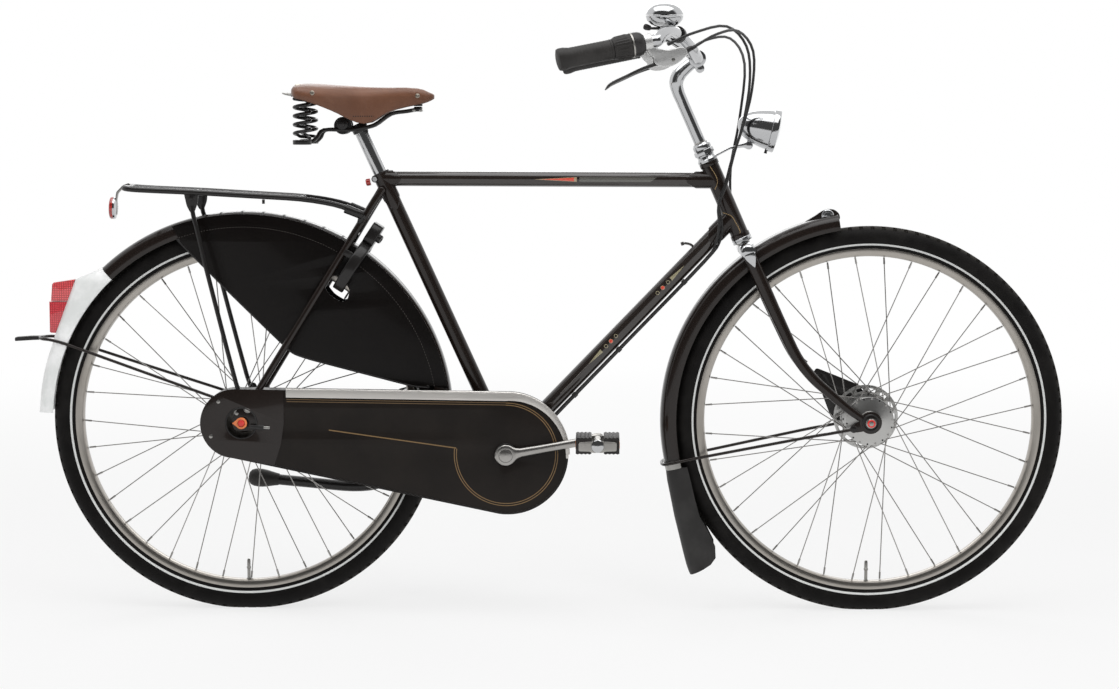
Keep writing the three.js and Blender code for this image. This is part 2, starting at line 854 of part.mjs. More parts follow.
function skirtShape(side) {
  const edge = guardRadius - 4;
  const outline = [[edge * Math.cos(rad(9)), edge * Math.sin(rad(9))]];
  for (const degrees of spread(9, 110, 14).slice(1))
    outline.push([edge * Math.cos(rad(degrees)), edge * Math.sin(rad(degrees))]);
  outline.push([-124, 336], [-30, 240], [89.9, 123.1], [200, 92], [312, 63], [345, 60]);
  const slot = [
    [151, 256],
    [150, 244],
    [162, 229],
    [180, 218],
    [191, 222],
    [196, 240],
    [184, 262],
    [168, 268],
  ];
  const low = side > 0 ? skirtInner : -skirtInner - skirtThickness;
  const plate = sidePlate(outline.reverse(), low, low + skirtThickness, [flat(slot)]);
  return cut(plate, placedAtLock(lockRing(1.4)));
}

// Luggage carrier: one bent tube with two struts and a bracket plate on each side
const carrierTubeRadius = 5;
const carrierHalfWidth = 55;

function carrierShape() {
  const r = carrierTubeRadius;
  const loop = (side) =>
    tube(
      [
        at(-212, side * 20, 432),
        at(-214, side * 44, 432),
        at(-196, side * carrierHalfWidth, 430),
        at(-90, side * carrierHalfWidth, 425),
        at(109, side * 54, 413),
        at(170, side * 50, 403),
        at(205, side * 46, 391),
        at(222, side * 44.4, 385),
      ],
      r,
      5,
      9,
    );
  const rearBar = rod(at(-212, 21, 432), at(-212, -21, 432), r, thinSides);
  const bars = [-18, 18].map((y) => rod(at(-213, y, 432), at(109, y, 414), r * 0.7, 5));
  const cross = [-88, 105].map((x) =>
    rod(at(x, -carrierHalfWidth, 430 - (x + 200) * 0.055), at(x, carrierHalfWidth, 430 - (x + 200) * 0.055), r * 0.8, 5),
  );
  const side = (s) => {
    const plate = sidePlate(
      [
        [-104, 424],
        [-76, 422],
        [-78, 400],
        [-84, 384],
        [-92, 384],
        [-98, 396],
      ],
      s * carrierHalfWidth - 1.5,
      s * carrierHalfWidth + 1.5,
    );
    const strut = tube([at(-88, s * 56, 395), at(-80, s * 62, 358), at(-10, s * 70.3, 74), at(0, s * 70.3, 50)], r * 0.85, 5, 4);
    const low = s > 0 ? strutTabInner : -strutTabOuter;
    const tab = sidePlate(
      [
        [-6, 58],
        [4, 24],
        [11, 19],
        [18, 24],
        [17, 32],
        [6, 58],
      ],
      low,
      low + tabThickness,
    );
    return [plate, strut, tab];
  };
  const half = reflectorBracketWidth / 2;
  const reflectorPlate = sidePlate(reflectorBracket, -half, half);
  return join(loop(1), loop(-1), rearBar, ...bars, ...cross, ...side(1), ...side(-1), reflectorPlate);
}

// A round reflector that faces back, on a bent bracket at the rear of the tube
const reflectorPlace = at(-240, 0, 391);
const reflectorTilt = 12.7;
const reflectorRadius = 20;
const reflectorDepth = 9;
const reflectorBracketWidth = 9;
const reflectorBracket = [
  [-236.9, 379],
  [-243, 406],
  [-226, 431],
  [-210, 436],
  [-208, 427],
  [-221, 418],
  [-231, 402],
  [-230, 379],
];

function reflectorShape() {
  const rim = reflectorRadius * 0.72;
  const outline = [
    [0, 0],
    [reflectorRadius, 0],
    [reflectorRadius, reflectorDepth * 0.6],
    [rim, reflectorDepth * 0.9],
    [0, reflectorDepth],
  ];
  const lens = turnedOpen(outline, hubSegments).rotateZ(Math.PI / 2).rotateY(-rad(reflectorTilt));
  return lens.translate(reflectorPlace.x, reflectorPlace.y, reflectorPlace.z);
}

// Stand: a leg with a ribbed rubber foot, folded up along the left side

function standLegShape() {
  const y = standPivot.y;
  const head = crossRod(standPivot, y - 7, y + 13, 13);
  const bore = crossRod(standPivot, y - overrun, y + overrun, standPinRadius + fitGap);
  const leg = taperedTube(
    [
      at(standPivot.x, y + 4, standPivot.z - 4),
      at(standPivot.x - 22, y + 4.5, standPivot.z - 24),
      at(190, y + 8, -136.5),
      at(110, y + 16, -131),
      at(40, y + 23, -125.5),
    ],
    10.5,
    10,
    thinSides,
    8,
  );
  const foot = rod(at(48, y + 22, -126), at(-8, y + 28, -122), 15.5, 10, 17);
  return cut(join(head, leg, foot), bore);
}

// Ring lock: a round housing over the tyre, with a shackle that slides through it
const lockTilt = 57.4;
const lockCentreRadius = 342;
const lockAngle = 54.7;
const lockCentre = at(lockCentreRadius * Math.cos(rad(lockAngle)), 0, lockCentreRadius * Math.sin(rad(lockAngle)));
const shackleCircle = 53;
const shackleRadius = 4.2;
const lockWall = 3;
const lockDepth = 17;
const lockOpenFrom = 42;

const lockSteps = 20;
const lockStep = (360 - 2 * lockOpenFrom) / lockSteps;
const lockStations = (firstStep, lastStep) =>
  spread(rad(-90 + lockOpenFrom + lockStep * firstStep), rad(-90 + lockOpenFrom + lockStep * lastStep), lastStep - firstStep);
const roundLock = (point, angle) => {
  const radius = shackleCircle + point.x;
  return at(point.y, radius * Math.cos(angle), radius * Math.sin(angle));
};

function lockRing(grow) {
  const half = shackleRadius + lockWall + grow;
  const depth = lockDepth / 2 + grow;
  const section = flat([
    [-half, -depth],
    [half, -depth],
    [half, depth],
    [-half, depth],
  ]);
  return sweep(section, lockStations(0, lockSteps), roundLock);
}

const lockMatrix = new THREE.Matrix4()
  .makeRotationY(Math.PI / 2 - rad(lockTilt))
  .setPosition(lockCentre);
const placedAtLock = (shape) => shape.applyMatrix4(lockMatrix);

// The lugs behind the ring that bolt it to the seat stays
const lockLugLow = at(-30, 38, 16);
const lockLugHigh = at(-lockDepth / 2 + 2, 52, 30);

function lockLug(side) {
  const [upper, lower] = seatStayPoints(side).slice(2, 4);
  const envelope = rod(upper, lower, seatStayRadius + fitGap).applyMatrix4(lockMatrix.clone().invert());
  const near = (corner) => at(corner.x, side * corner.y, corner.z);
  const low = near(lockLugLow).min(near(lockLugHigh));
  const high = near(lockLugLow).max(near(lockLugHigh));
  const behind = envelope.clone().translate(-seatStayRadius * 2, 0, 0);
  return cut(block(low, high), envelope, behind);
}

function lockHousingShape() {
  const channelRadius = shackleRadius + 1;
  const channel = sweep(polygon(channelRadius, channelRadius, thinSides), lockStations(-1, lockSteps + 1), roundLock);
  const top = sweep(
    flat([
      [-24, 52],
      [24, 52],
      [29, 62],
      [25, 84],
      [17, 96],
      [-17, 96],
      [-25, 84],
      [-29, 62],
    ]),
    [-1, -0.75, 0.75, 1],
    (point, share) => at((share * lockDepth) / 2, point.x * (Math.abs(share) > 0.8 ? 0.9 : 1), point.y - (Math.abs(share) > 0.8 ? 1.5 : 0)),
  );
  const keyBoss = rod(at(lockDepth / 2 - 1, -17, 74), at(lockDepth / 2 + 9, -19, 74), 8, 10);
  return cut(join(lockRing(0), top, keyBoss, lockLug(1), lockLug(-1)), channel);
}

const lockShackleShape = () => sweep(polygon(shackleRadius, shackleRadius, thinSides), lockStations(0.1, 9.1), roundLock);

// Chain case: lacquered cloth over a frame, open towards the bike
const caseOuter = 76.8;
const caseWall = 1.5;
const caseInner = 38;
const caseRearRadius = 64;
const caseRearCentre = at(-12, 0, -1);
const caseFrontRadius = 112;
const caseFrontCentre = at(486, 0, -56);

function caseOutline(inset) {
  const points = [];
  const arc = (centre, radius, from, to, steps) => {
    for (const degrees of spread(from, to, steps))
      points.push([
        centre.x + (radius - inset) * Math.cos(rad(degrees)),
        centre.z + (radius - inset) * Math.sin(rad(degrees)),
      ]);
  };
  arc(caseRearCentre, caseRearRadius, 84, 262, 10);
  arc(caseFrontCentre, caseFrontRadius, -98, 92, 13);
  return points;
}

function chainCaseShape() {
  const shell = sidePlate(caseOutline(0), -caseOuter, -caseInner);
  const hollow = sidePlate(caseOutline(caseWall), -caseOuter + caseWall, -caseInner + overrun);
  const crankHole = crossRod(bottomBracket, -caseOuter - overrun, -caseInner, crankBossRadius + 1.5, hubSegments);
  const window = crossRod(rearAxle, -caseOuter - overrun, -caseOuter + overrun / 2, 27, hubSegments);
  const stayNotch = block(at(-14, -caseOuter + caseWall, 30), at(46, -caseInner + overrun, 100));
  const guardStayNotch = block(at(-66, -70, 34), at(-40, -caseInner + overrun, 60));
  return cut(shell, hollow, crankHole, window, stayNotch, guardStayNotch);
}

// Cranks, chainring, chain and sprocket
const crankLength = 170;
const crankAngle = 10.2;
const crankInner = 79.5;
const crankThickness = 13;
const crankBossRadius = 15;
const crankEyeRadius = 12;
const crankTilt = -rad(crankAngle);
const chainLine = 46;
const chainPitch = 12.7;
const ringTeeth = 42;
const sprocketTeeth = 18;
const toothThickness = 2.3;
const pedalThreadRadius = 6;

const pitchRadius = (teeth) => chainPitch / (2 * Math.sin(Math.PI / teeth));

function toothedDisc(teeth, y, holes) {
  const radius = pitchRadius(teeth);
  const outline = [];
  for (let i = 0; i < teeth; i++)
    for (const [share, rise] of [
      [0, -3.2],
      [0.5, 3.2],
    ]) {
      const angle = (2 * Math.PI * (i + share)) / teeth;
      outline.push([(radius + rise) * Math.cos(angle), (radius + rise) * Math.sin(angle)]);
    }
  return sidePlate(outline, y - toothThickness / 2, y + toothThickness / 2, holes);
}

function crankArm(inner, outer) {
  const middle = (inner + outer) / 2;
  const arm = sweep(
    flat([
      [-1, -0.6],
      [-0.6, -1],
      [0.6, -1],
      [1, -0.6],
      [1, 0.6],
      [0.6, 1],
      [-0.6, 1],
      [-1, 0.6],
    ]),
    [0, 0.15, 0.5, 0.85, 1],
    (point, share) => {
      const width = [11, 10.5, 9, 8.5, 9][[0, 0.15, 0.5, 0.85, 1].indexOf(share)];
      return at(share * crankLength, middle + (point.y * (outer - inner)) / 2, point.x * width);
    },
  );
  const eye = rod(at(crankLength, inner, 0), at(crankLength, outer, 0), crankEyeRadius, hubSegments);
  const boss = rod(at(0, inner, 0), at(0, outer, 0), crankBossRadius + 2.5, hubSegments);
  return join(arm, eye, boss);
}

// The right crank carries the chainring and the spindle
function rightCrankShape() {
  const arm = crankArm(-crankInner - crankThickness, -crankInner);
  const threads = rod(
    at(crankLength, -crankInner - crankThickness - overrun, 0),
    at(crankLength, -crankInner + overrun, 0),
    pedalThreadRadius + fitGap,
  );
  const boss = rod(at(0, -crankInner - 1, 0), at(0, -bottomBracketWidth / 2 - 2, 0), crankBossRadius, hubSegments);
  const spindle = rod(at(0, -crankInner, 0), at(0, crankInner + crankThickness * 0.8, 0), spindleRadius);
  const windows = Array.from({ length: 5 }, (_, i) => {
    const angle = (2 * Math.PI * i) / 5;
    return polygon(17, 17, 7).map((p) => p.add(new THREE.Vector2(49 * Math.cos(angle), 49 * Math.sin(angle))));
  });
  const ring = toothedDisc(ringTeeth, -chainLine, windows);
  return join(cut(arm, threads), boss, spindle, ring);
}

function leftCrankShape() {
  const arm = crankArm(crankInner, crankInner + crankThickness);
  const threads = rod(
    at(crankLength, crankInner - overrun, 0),
    at(crankLength, crankInner + crankThickness + overrun, 0),
    pedalThreadRadius + fitGap,
  );
  const bore = rod(at(0, crankInner - overrun, 0), at(0, crankInner + crankThickness + overrun, 0), spindleRadius + fitGap);
  return cut(arm, threads, bore);
}

function sprocketShape() {
  const bore = axleRadius + axleRunningGap;
  const end = rearDropoutSpacing / 2 - locknutLength - fitGap;
  const start = rearFlangeRight + flangeThickness / 2 + fitGap;
  const carrier = turned(
    [
      [bore, -end],
      [15, -end],
      [19, -chainLine - 3],
      [24, -chainLine + 3],
      [24, -start],
      [bore, -start],
    ],
    hubSegments,
  );
  return join(carrier, toothedDisc(sprocketTeeth, -chainLine, [polygon(13, 13, tubeSides)]));
}

const chainPlateHeight = 8.4;
const chainPlateThickness = 1.1;
const chainInnerWidth = 3.6;
const chainPins = 8;

function chainLoop(offset) {
  const rearRadius = pitchRadius(sprocketTeeth) + offset;
  const frontRadius = pitchRadius(ringTeeth) + offset;
  const lean = Math.asin((frontRadius - rearRadius) / bottomBracket.length());
  const line = Math.atan2(bottomBracket.z, bottomBracket.x);
  const points = [];
  const arc = (centre, radius, from, to, steps) => {
    for (const angle of spread(from, to, steps))
      points.push([centre.x + radius * Math.cos(angle), centre.z + radius * Math.sin(angle)]);
  };
  arc(rearAxle, rearRadius, line + Math.PI / 2 + lean, line + (3 * Math.PI) / 2 - lean, 8);
  arc(bottomBracket, frontRadius, line - Math.PI / 2 - lean, line + Math.PI / 2 + lean, 12);
  return points;
}

function chainShape() {
  const half = chainPlateHeight / 2;
  const plate = (yLow) =>
    sidePlate(chainLoop(half), yLow, yLow + chainPlateThickness, [flat(chainLoop(-half))]);
  const inner = chainInnerWidth / 2;
  const plates = [plate(-chainLine + inner), plate(-chainLine - inner - chainPlateThickness)];
  const rear = chainLoop(0).slice(0, 9);
  const front = chainLoop(0).slice(9);
  const runs = [
    [rear[0], front[front.length - 1]],
    [rear[rear.length - 1], front[0]],
  ];
  const reach = inner + chainPlateThickness / 2;
  const pins = runs.flatMap(([a, b]) =>
    spread(0.14, 0.86, chainPins / 2).map((share) => {
      const place = at(a[0] + (b[0] - a[0]) * share, 0, a[1] + (b[1] - a[1]) * share);
      return crossRod(place, -chainLine - reach, -chainLine + reach, 2.2, 5);
    }),
  );
  return join(...plates, ...pins);
}

// Pedals: two rubber blocks between end plates, on an axle that screws into the crank
const pedalWidth = 86;
const pedalLength = 78;
const pedalBlockHeight = 13;
const pedalBlockDepth = 28;

function pedalShape(side) {
  const start = crankInner + crankThickness + 6;
  const near = (y) => side * y;
  const span = (a, b) => [Math.min(near(a), near(b)), Math.max(near(a), near(b))];
  const [low, high] = span(start, start + pedalWidth);
  const blockAt = (x) => {
    const half = pedalBlockDepth / 2;
    const outline = [
      [x - half, -pedalBlockHeight],
      [x - half + 3, -pedalBlockHeight - 2.5],
      [x + half - 3, -pedalBlockHeight - 2.5],
      [x + half, -pedalBlockHeight],
      [x + half, pedalBlockHeight],
      [x + half - 3, pedalBlockHeight + 2.5],
      [x - half + 3, pedalBlockHeight + 2.5],
      [x - half, pedalBlockHeight],
    ];
    return sidePlate(outline, low + 3, high - 3);
  };
  const offset = pedalLength / 2 - pedalBlockDepth / 2;
  const plateOutline = [
    [-offset - 8, -6],
    [-10, -13],
    [10, -13],
    [offset + 8, -6],
    [offset + 8, 6],
    [10, 13],
    [-10, 13],
    [-offset - 8, 6],
  ];
  const [innerLow, innerHigh] = span(start, start + 3.2);
  const [outerLow, outerHigh] = span(start + pedalWidth - 3.2, start + pedalWidth);
  const barrel = rod(at(0, low, 0), at(0, high, 0), 8, 10);
  const capSpan = span(start + pedalWidth - 1, start + pedalWidth + 7);
  const cap = rod(at(0, capSpan[side > 0 ? 0 : 1], 0), at(0, capSpan[side > 0 ? 1 : 0], 0), 10, 10, 7);
  const stub = rod(at(0, near(start + 1), 0), at(0, near(crankInner + 0.5), 0), pedalThreadRadius, 10);
  return join(
    blockAt(-offset),
    blockAt(offset),
    sidePlate(plateOutline, innerLow, innerHigh),
    sidePlate(plateOutline, outerLow, outerHigh),
    barrel,
    cap,
    stub,
  );
}

// Saddle: leather over a frame of two rails, on two coil springs

// The saddle is drawn for a seat post whose top is here, and moves with the post
const saddleDrawnX = 213.120005788;
const saddleDrawnZ = 536.794748612;
const saddleShift = upSeat(seatPostTop).sub(at(saddleDrawnX, 0, saddleDrawnZ));
const withPost = (shape) => shape.translate(saddleShift.x, saddleShift.y, saddleShift.z);
const springX = 114;
const springY = 57;
const springBase = 516;
const springTop = 593;
const springCoils = 4.5;
const springWireRadius = 3;
const springCoilRadius = 14;
const springStepsPerCoil = 6;

class SpringCurve extends THREE.Curve {
  getPoint(share) {
    const angle = 2 * Math.PI * springCoils * share;
    const low = springBase + springWireRadius;
    const high = springTop - springWireRadius;
    return at(springCoilRadius * Math.cos(angle), springCoilRadius * Math.sin(angle), low + (high - low) * share);
  }
}

// The least gap between two turns, measured along the curve, is printed when this is built
function leastTurnGap() {
  const coil = new SpringCurve();
  const places = spread(0, 1, springCoils * springStepsPerCoil).map((share) => coil.getPoint(share));
  let least = Infinity;
  for (let i = 0; i < places.length; i++)
    for (let j = i + springStepsPerCoil / 2; j < places.length; j++)
      least = Math.min(least, places[i].distanceTo(places[j]));
  return least - 2 * springWireRadius;
}
console.log(`Saddle spring: least gap between turns ${leastTurnGap().toFixed(2)} mm`);

function saddleSpringShape(side) {
  const coil = new SpringCurve();
  const steps = Math.round(springCoils * springStepsPerCoil);
  const wire = sweep(polygon(springWireRadius, springWireRadius, 5), spread(0, 1, steps), (corner, share) => {
    const centre = coil.getPoint(share);
    const angle = 2 * Math.PI * springCoils * share;
    const outward = at(Math.cos(angle), Math.sin(angle), 0);
    return centre.addScaledVector(outward, corner.x).add(at(0, 0, corner.y));
  });
  return withPost(wire.translate(springX, side * springY, 0));
}

function saddleFrameShape() {
  const rail = (side) =>
    tube(
      [
        at(323, side * 8, 571),
        at(271, side * 10, 562),
        at(241, side * 15, 542),
        at(195, side * 22, 533),
        at(150, side * 25, 533),
        at(132, side * 42, 512.5),
        at(springX, side * springY, 511),
      ],
      3.6,
      5,
      7,
    );
  const seat = (side) => rod(at(springX, side * springY, 507), at(springX, side * springY, springBase - fitGap), 17, hubSegments);
  const nose = block(at(313, -11, 566), at(329, 11, 576));
  const clampBar = crossRod(at(184, 0, 544), -28, 28, 14, hubSegments);
  const clampBlock = block(at(184, -14, 532), at(214, 14, 556));
  const post = rod(upSeat(seatPostTop - 24), upSeat(seatPostTop + 8), 17, hubSegments);
  const bore = rod(upSeat(seatPostTop - 24 - overrun), upSeat(seatPostTop + fitGap), seatPostRadius + fitGap);
  const carried = withPost(join(rail(1), rail(-1), seat(1), seat(-1), nose, clampBar, clampBlock));
  return cut(join(carried, post), bore);
}

// The plate under the leather's rear, which the springs carry, and the block at its nose
const cantleLow = at(102, -94, springTop + fitGap / 2);
const cantleHigh = at(132, 94, springTop + 4);
const noseLugLow = at(314, -9, 576 + fitGap);
const noseLugHigh = at(328, 9, 606);

function saddleLeatherShape() {
  // Each row: X, half width, skirt's lower edge, top
  const stations = [
    [86, 66, 600, 606],
    [92, 84, 597, 612],
    [104, 98, 593, 616],
    [124, 101, 589, 617.5],
    [146, 92, 580, 616.5],
    [168, 74, 570, 615],
    [190, 54, 559, 613.5],
    [212, 38, 549, 612],
    [235, 29, 543, 611],
    [258, 25, 547, 610.5],
    [280, 22, 557, 610.5],
    [300, 20, 566, 610.5],
    [320, 18.5, 574, 609],
    [337, 16.5, 581, 604],
    [347, 12, 586, 599],
    [351, 7, 589, 595],
  ];
  const wall = 5;
  const section = [
    [1, 0, 0],
    [0.98, 0.55, 0],
    [0.84, 0.88, 0],
    [0.45, 1, 0],
    [-0.45, 1, 0],
    [-0.84, 0.88, 0],
    [-0.98, 0.55, 0],
    [-1, 0, 0],
    [-1, 0, 1],
    [-0.95, 0.6, 1],
    [-0.5, 1, 1],
    [0.5, 1, 1],
    [0.95, 0.6, 1],
    [1, 0, 1],
  ];
  const count = section.length;
  const flatSection = section.map(([x, z, inner]) => new THREE.Vector2(x * (1 - inner * 0.1), z * (1 - inner * 0.1) - 0.001 * inner));
  const shell = sweep(flatSection, stations, (point, [x, halfWidth, low, top]) => {
    const index = flatSection.indexOf(point);
    const [u, v, inner] = section[index % count];
    const width = halfWidth - inner * Math.min(wall, halfWidth * 0.45);
    const height = top - low - inner * (v > 0 ? Math.min(wall, (top - low) * 0.45) : 0);
    return at(x, u * width, low + v * height);
  });
  return withPost(join(shell, block(cantleLow, cantleHigh), block(noseLugLow, noseLugHigh)));
}

// Steering parts stand in the steering frame: X forward, Z up the head axis, from headBase
const steeringCos = Math.cos(steeringTilt);
const steeringSin = Math.sin(steeringTilt);
const wheelToSteering = (x, y, z) =>
  at(x * steeringCos - z * steeringSin + forkRake, y, x * steeringSin + z * steeringCos - forkLength);

const quillRadius = 10.8;
const crownDepth = 26;
const crownRearReach = forkRake - crownDepth / 2;
const crownUnderside = Math.sqrt(guardRadius ** 2 - crownRearReach ** 2) - forkLength - fitGap;
const frontEndInner = frontDropoutSpacing / 2 + fitGap;
const frontEndOuter = frontEndInner + forkEndThickness;
const bladeTopY = 41;

const bladeShares = [
  [0.06, 0, 0],
  [0.24, 0.01, 0.15],
  [0.58, 0.06, 0.6],
  [0.7, 0.2, 0.75],
  [0.8, 0.42, 0.88],
  [0.9, 0.66, 0.96],
  [0.965, 0.85, 1],
];

function forkBlade(side) {
  const endY = (frontEndInner + frontEndOuter) / 2;
  const points = bladeShares.map(([down, forward, out]) =>
    at(forward * forkRake, side * (bladeTopY + (endY - bladeTopY) * out), -down * forkLength),
  );
  const curve = new THREE.CatmullRomCurve3(points);
  const steps = 9;
  const across = at(0, 1, 0);
  return sweep(polygon(1, 1, 8), spread(0, 1, steps), (corner, share) => {
    const centre = curve.getPointAt(share);
    const along = curve.getTangentAt(share);
    const forward = across.clone().cross(along).normalize();
    const scale = 1 + (bladeTipShare - 1) * share;
    return centre
      .addScaledVector(forward, (corner.x * bladeDepth * scale) / 2)
      .addScaledVector(across, (corner.y * bladeWidth * scale) / 2);
  });
}

const forkEyelet = wheelToSteering(-31.3, 0, -11.1);
const eyeletRadius = 7;

// The ear of the fork end that carries the mudguard stay
function eyeletWeb() {
  const corners = [
    [0, 9],
    [-34, -4],
    [-39, -11],
    [-34, -17],
    [-26, -18],
    [0, -14],
  ];
  return corners.map(([x, z]) => {
    const p = wheelToSteering(x, 0, z);
    return [p.x, p.z];
  });
}

function forkShape() {
  const steerer = rod(at(0, 0, -2), at(0, 0, headTubeEnd + headsetHeight - 2), steererRadius);
  const steererBore = rod(at(0, 0, 30), at(0, 0, headTubeEnd + headsetHeight + overrun), quillRadius + steererGap);
  const crownOutline = [
    [-crownHalfWidth - 4, -26],
    [-crownHalfWidth - 4, -8],
    [-crownHalfWidth + 8, -fitGap],
    [crownHalfWidth - 8, -fitGap],
    [crownHalfWidth + 4, -8],
    [crownHalfWidth + 4, -26],
    [guardHalfWidth + 1, -26],
    [guardHalfWidth + 1, crownUnderside],
    [-guardHalfWidth - 1, crownUnderside],
    [-guardHalfWidth - 1, -26],
  ];
  const crown = sidePlate(crownOutline, -crownDepth / 2, crownDepth / 2);
  crown.rotateZ(Math.PI / 2);
  const ends = [-1, 1].flatMap((side) => {
    const low = side > 0 ? frontEndInner : -frontEndOuter;
    return [
      crossRod(at(forkRake, 0, -forkLength), low, low + forkEndThickness, forkEndRadius, hubSegments),
      sidePlate(eyeletWeb(), low, low + forkEndThickness),
    ];
  });
  const axleHole = crossRod(
    at(forkRake, 0, -forkLength),
    -frontEndOuter - overrun,
    frontEndOuter + overrun,
    axleRadius + fitGap,
  );
  return cut(join(cut(steerer, steererBore), crown, forkBlade(1), forkBlade(-1), ...ends), axleHole);
}

function frontAxleShape() {
  const y = 42.3;
  const arm = sidePlate(
    [
      [-18, 12],
      [-20, -8],
      [0, -20],
      [18, -10],
      [22, 30],
      [-8, 101],
      [-22, 108],
      [-32, 100],
      [-28, 60],
    ].map(([x, z]) => {
      const p = wheelToSteering(x, 0, z);
      return [p.x - forkRake, p.z + forkLength];
    }),
    y - 1,
    y + 2.4,
  );
  return join(turnedOpen(frontAxleOutline(), 6), arm);
}

function frontAxleOutline() {
  const half = frontDropoutSpacing / 2;
  const nutStart = frontEndOuter + fitGap + tabThickness + fitGap;
  const right = [
    [0, -nutStart - axleNutLength],
    [axleNutRadius * 0.6, -nutStart - axleNutLength],
    [axleNutRadius, -nutStart - axleNutLength * 0.6],
    [axleNutRadius, -nutStart],
    [axleRadius, -nutStart],
    [axleRadius, -half],
    [locknutRadius, -half],
    [locknutRadius, -half + locknutLength],
    [axleRadius, -half + locknutLength],
  ];
  return [...right, ...mirrored(right)];
}

// The front guard carries a slim ornament along its crest, highest at the nose
const frontGuardShape = () => join(guardArc(frontGuardFront, frontGuardRear, 12), ornament());

// Each row: angle round the wheel, half width, rise above the guard
const ornamentRows = [
  [113.5, 2, 1.2],
  [108, 5, 3.5],
  [102, 6, 6.5],
  [98.4, 4, 9.5],
];
const ornamentSink = 1.4;
const ornamentShares = [
  [-1, 0],
  [1, 0],
  [0.55, 1],
  [-0.55, 1],
];

function ornament() {
  return sweep(flat(ornamentShares), ornamentRows, (point, [degrees, halfWidth, rise]) => {
    const radius = guardRadius - ornamentSink + point.y * (rise + ornamentSink);
    return at(radius * Math.cos(rad(degrees)), point.x * halfWidth, radius * Math.sin(rad(degrees)));
  });
}

// The flap hangs from the guard's rear end and widens downwards
const flapGapDegrees = 0.05;
const flapTopDepth = 30;

function flapShape() {
  const topAngle = rad(frontGuardRear + flapGapDegrees);
  const onGuardEnd = (radius) => [radius * Math.cos(topAngle), radius * Math.sin(topAngle)];
  const stations = [
    [...onGuardEnd(guardRadius), ...onGuardEnd(guardRadius - flapTopDepth), 31],
    [-362, -150, -326, -148, 33],
    [-350, -210, -302, -205, 36],
    [-334, -286, -280, -262, 39],
  ];
  const section = flat([
    [1, 1],
    [0.6, 0.96],
    [0.15, 0.7],
    [0, 0.3],
    [0, -0.3],
    [0.15, -0.7],
    [0.6, -0.96],
    [1, -1],
    [1, -0.94],
    [0.62, -0.9],
    [0.2, -0.62],
    [0.07, -0.26],
    [0.07, 0.26],
    [0.2, 0.62],
    [0.62, 0.9],
    [1, 0.94],
  ]);
  return sweep(section, stations, (point, [backX, backZ, foreX, foreZ, half]) =>
    at(backX + (foreX - backX) * point.x, point.y * half, backZ + (foreZ - backZ) * point.x),
  );
}

function frontStayShape() {
  const y = frontEndOuter + fitGap + 2.6;
  const half = (side) => [
    at(-34, side * y, -12),
    at(-120, side * (y - 5), -28),
    ...[
      [37, 318],
      [36, 350],
      [34.5, 371],
      [31, 383.5],
      [16, 388.6],
    ].map(([across, radius]) => at(radius * Math.cos(rad(192.2)), side * across, radius * Math.sin(rad(192.2)))),
  ];
  const top = at(389 * Math.cos(rad(192.2)), 0, 389 * Math.sin(rad(192.2)));
  const wire = tube([...half(1), top, ...half(-1).reverse()], stayRadius - 0.5, 5, 26);
  const eye = (side) => {
    const low = side > 0 ? frontEndOuter + fitGap : -frontEndOuter - fitGap - tabThickness;
    return crossRod(at(-31.3, 0, -11.1), low, low + tabThickness, eyeletRadius, 10);
  };
  return join(wire, eye(1), eye(-1));
}

// Stem and handlebar
const barRadius = 11.1;
const stemClamp = at(56, 0, 341);
const stemClampHalf = 14;

function stemShape() {
  const neck = tube([at(0, 0, 50), at(0, 0, 180), at(0, 0, 288), at(7, 0, 316), at(26, 0, 333), at(46, 0, 340)], quillRadius, tubeSides, 10);
  const cap = rod(at(0, 0, 290), at(-1, 0, 320), quillRadius * 0.9);
  const clamp = crossRod(stemClamp, -stemClampHalf, stemClampHalf, barRadius + 5, hubSegments);
  const ears = block(at(46, -8, 317), at(60, 8, 332));
  const bore = crossRod(stemClamp, -stemClampHalf - overrun, stemClampHalf + overrun, barRadius + 1.2);
  return cut(join(neck, cap, clamp, ears), bore);
}

// The grips' straight part: one frame each, X forwards along the bar, Z up
const gripStart = at(-49, 263, 407);
const gripEnd = at(-171.5, 290, 434);
const gripLength = gripStart.distanceTo(gripEnd);
const gripForward = gripStart.clone().sub(gripEnd).normalize();
const straightLength = 40;

function barRoute(side) {
  const flip = (p) => at(p.x, p.y * side, p.z);
  const alongGrip = (distance) => flip(gripStart.clone().addScaledVector(gripForward, distance));
  return [
    flip(stemClamp.clone().add(at(0, 20, 0))),
    flip(stemClamp.clone().add(at(-3, 50, 10))),
    flip(stemClamp.clone().add(at(-9, 110, 31))),
    flip(stemClamp.clone().add(at(-22, 165, 54))),
    flip(stemClamp.clone().add(at(-34, 203, 63))),
    flip(stemClamp.clone().add(at(-49, 235, 62))),
    alongGrip(straightLength + 6),
    alongGrip(straightLength - 6),
  ];
}

function handlebarShape() {
  const left = barRoute(1);
  const right = barRoute(-1).reverse();
  const endLeft = at(gripEnd.x, gripEnd.y, gripEnd.z);
  const endRight = at(gripEnd.x, -gripEnd.y, gripEnd.z);
  const middle = gripStart.clone().lerp(gripEnd, 0.3);
  const flipped = at(middle.x, -middle.y, middle.z);
  return tube([endRight, flipped, ...right, at(stemClamp.x, 0, stemClamp.z), ...left, middle, endLeft], barRadius, 9, 31);
}

function gripFrame(side, ...children) {
  const made = new THREE.Group();
  const forward = at(gripForward.x, gripForward.y * side, gripForward.z);
  const left = at(0, 0, 1).cross(forward).normalize();
  const up = forward.clone().cross(left);
  made.quaternion.setFromRotationMatrix(new THREE.Matrix4().makeBasis(forward, left, up));
  made.position.copy(gripStart.clone().multiply(at(1, side, 1)));
  made.add(...children);
  return made;
}

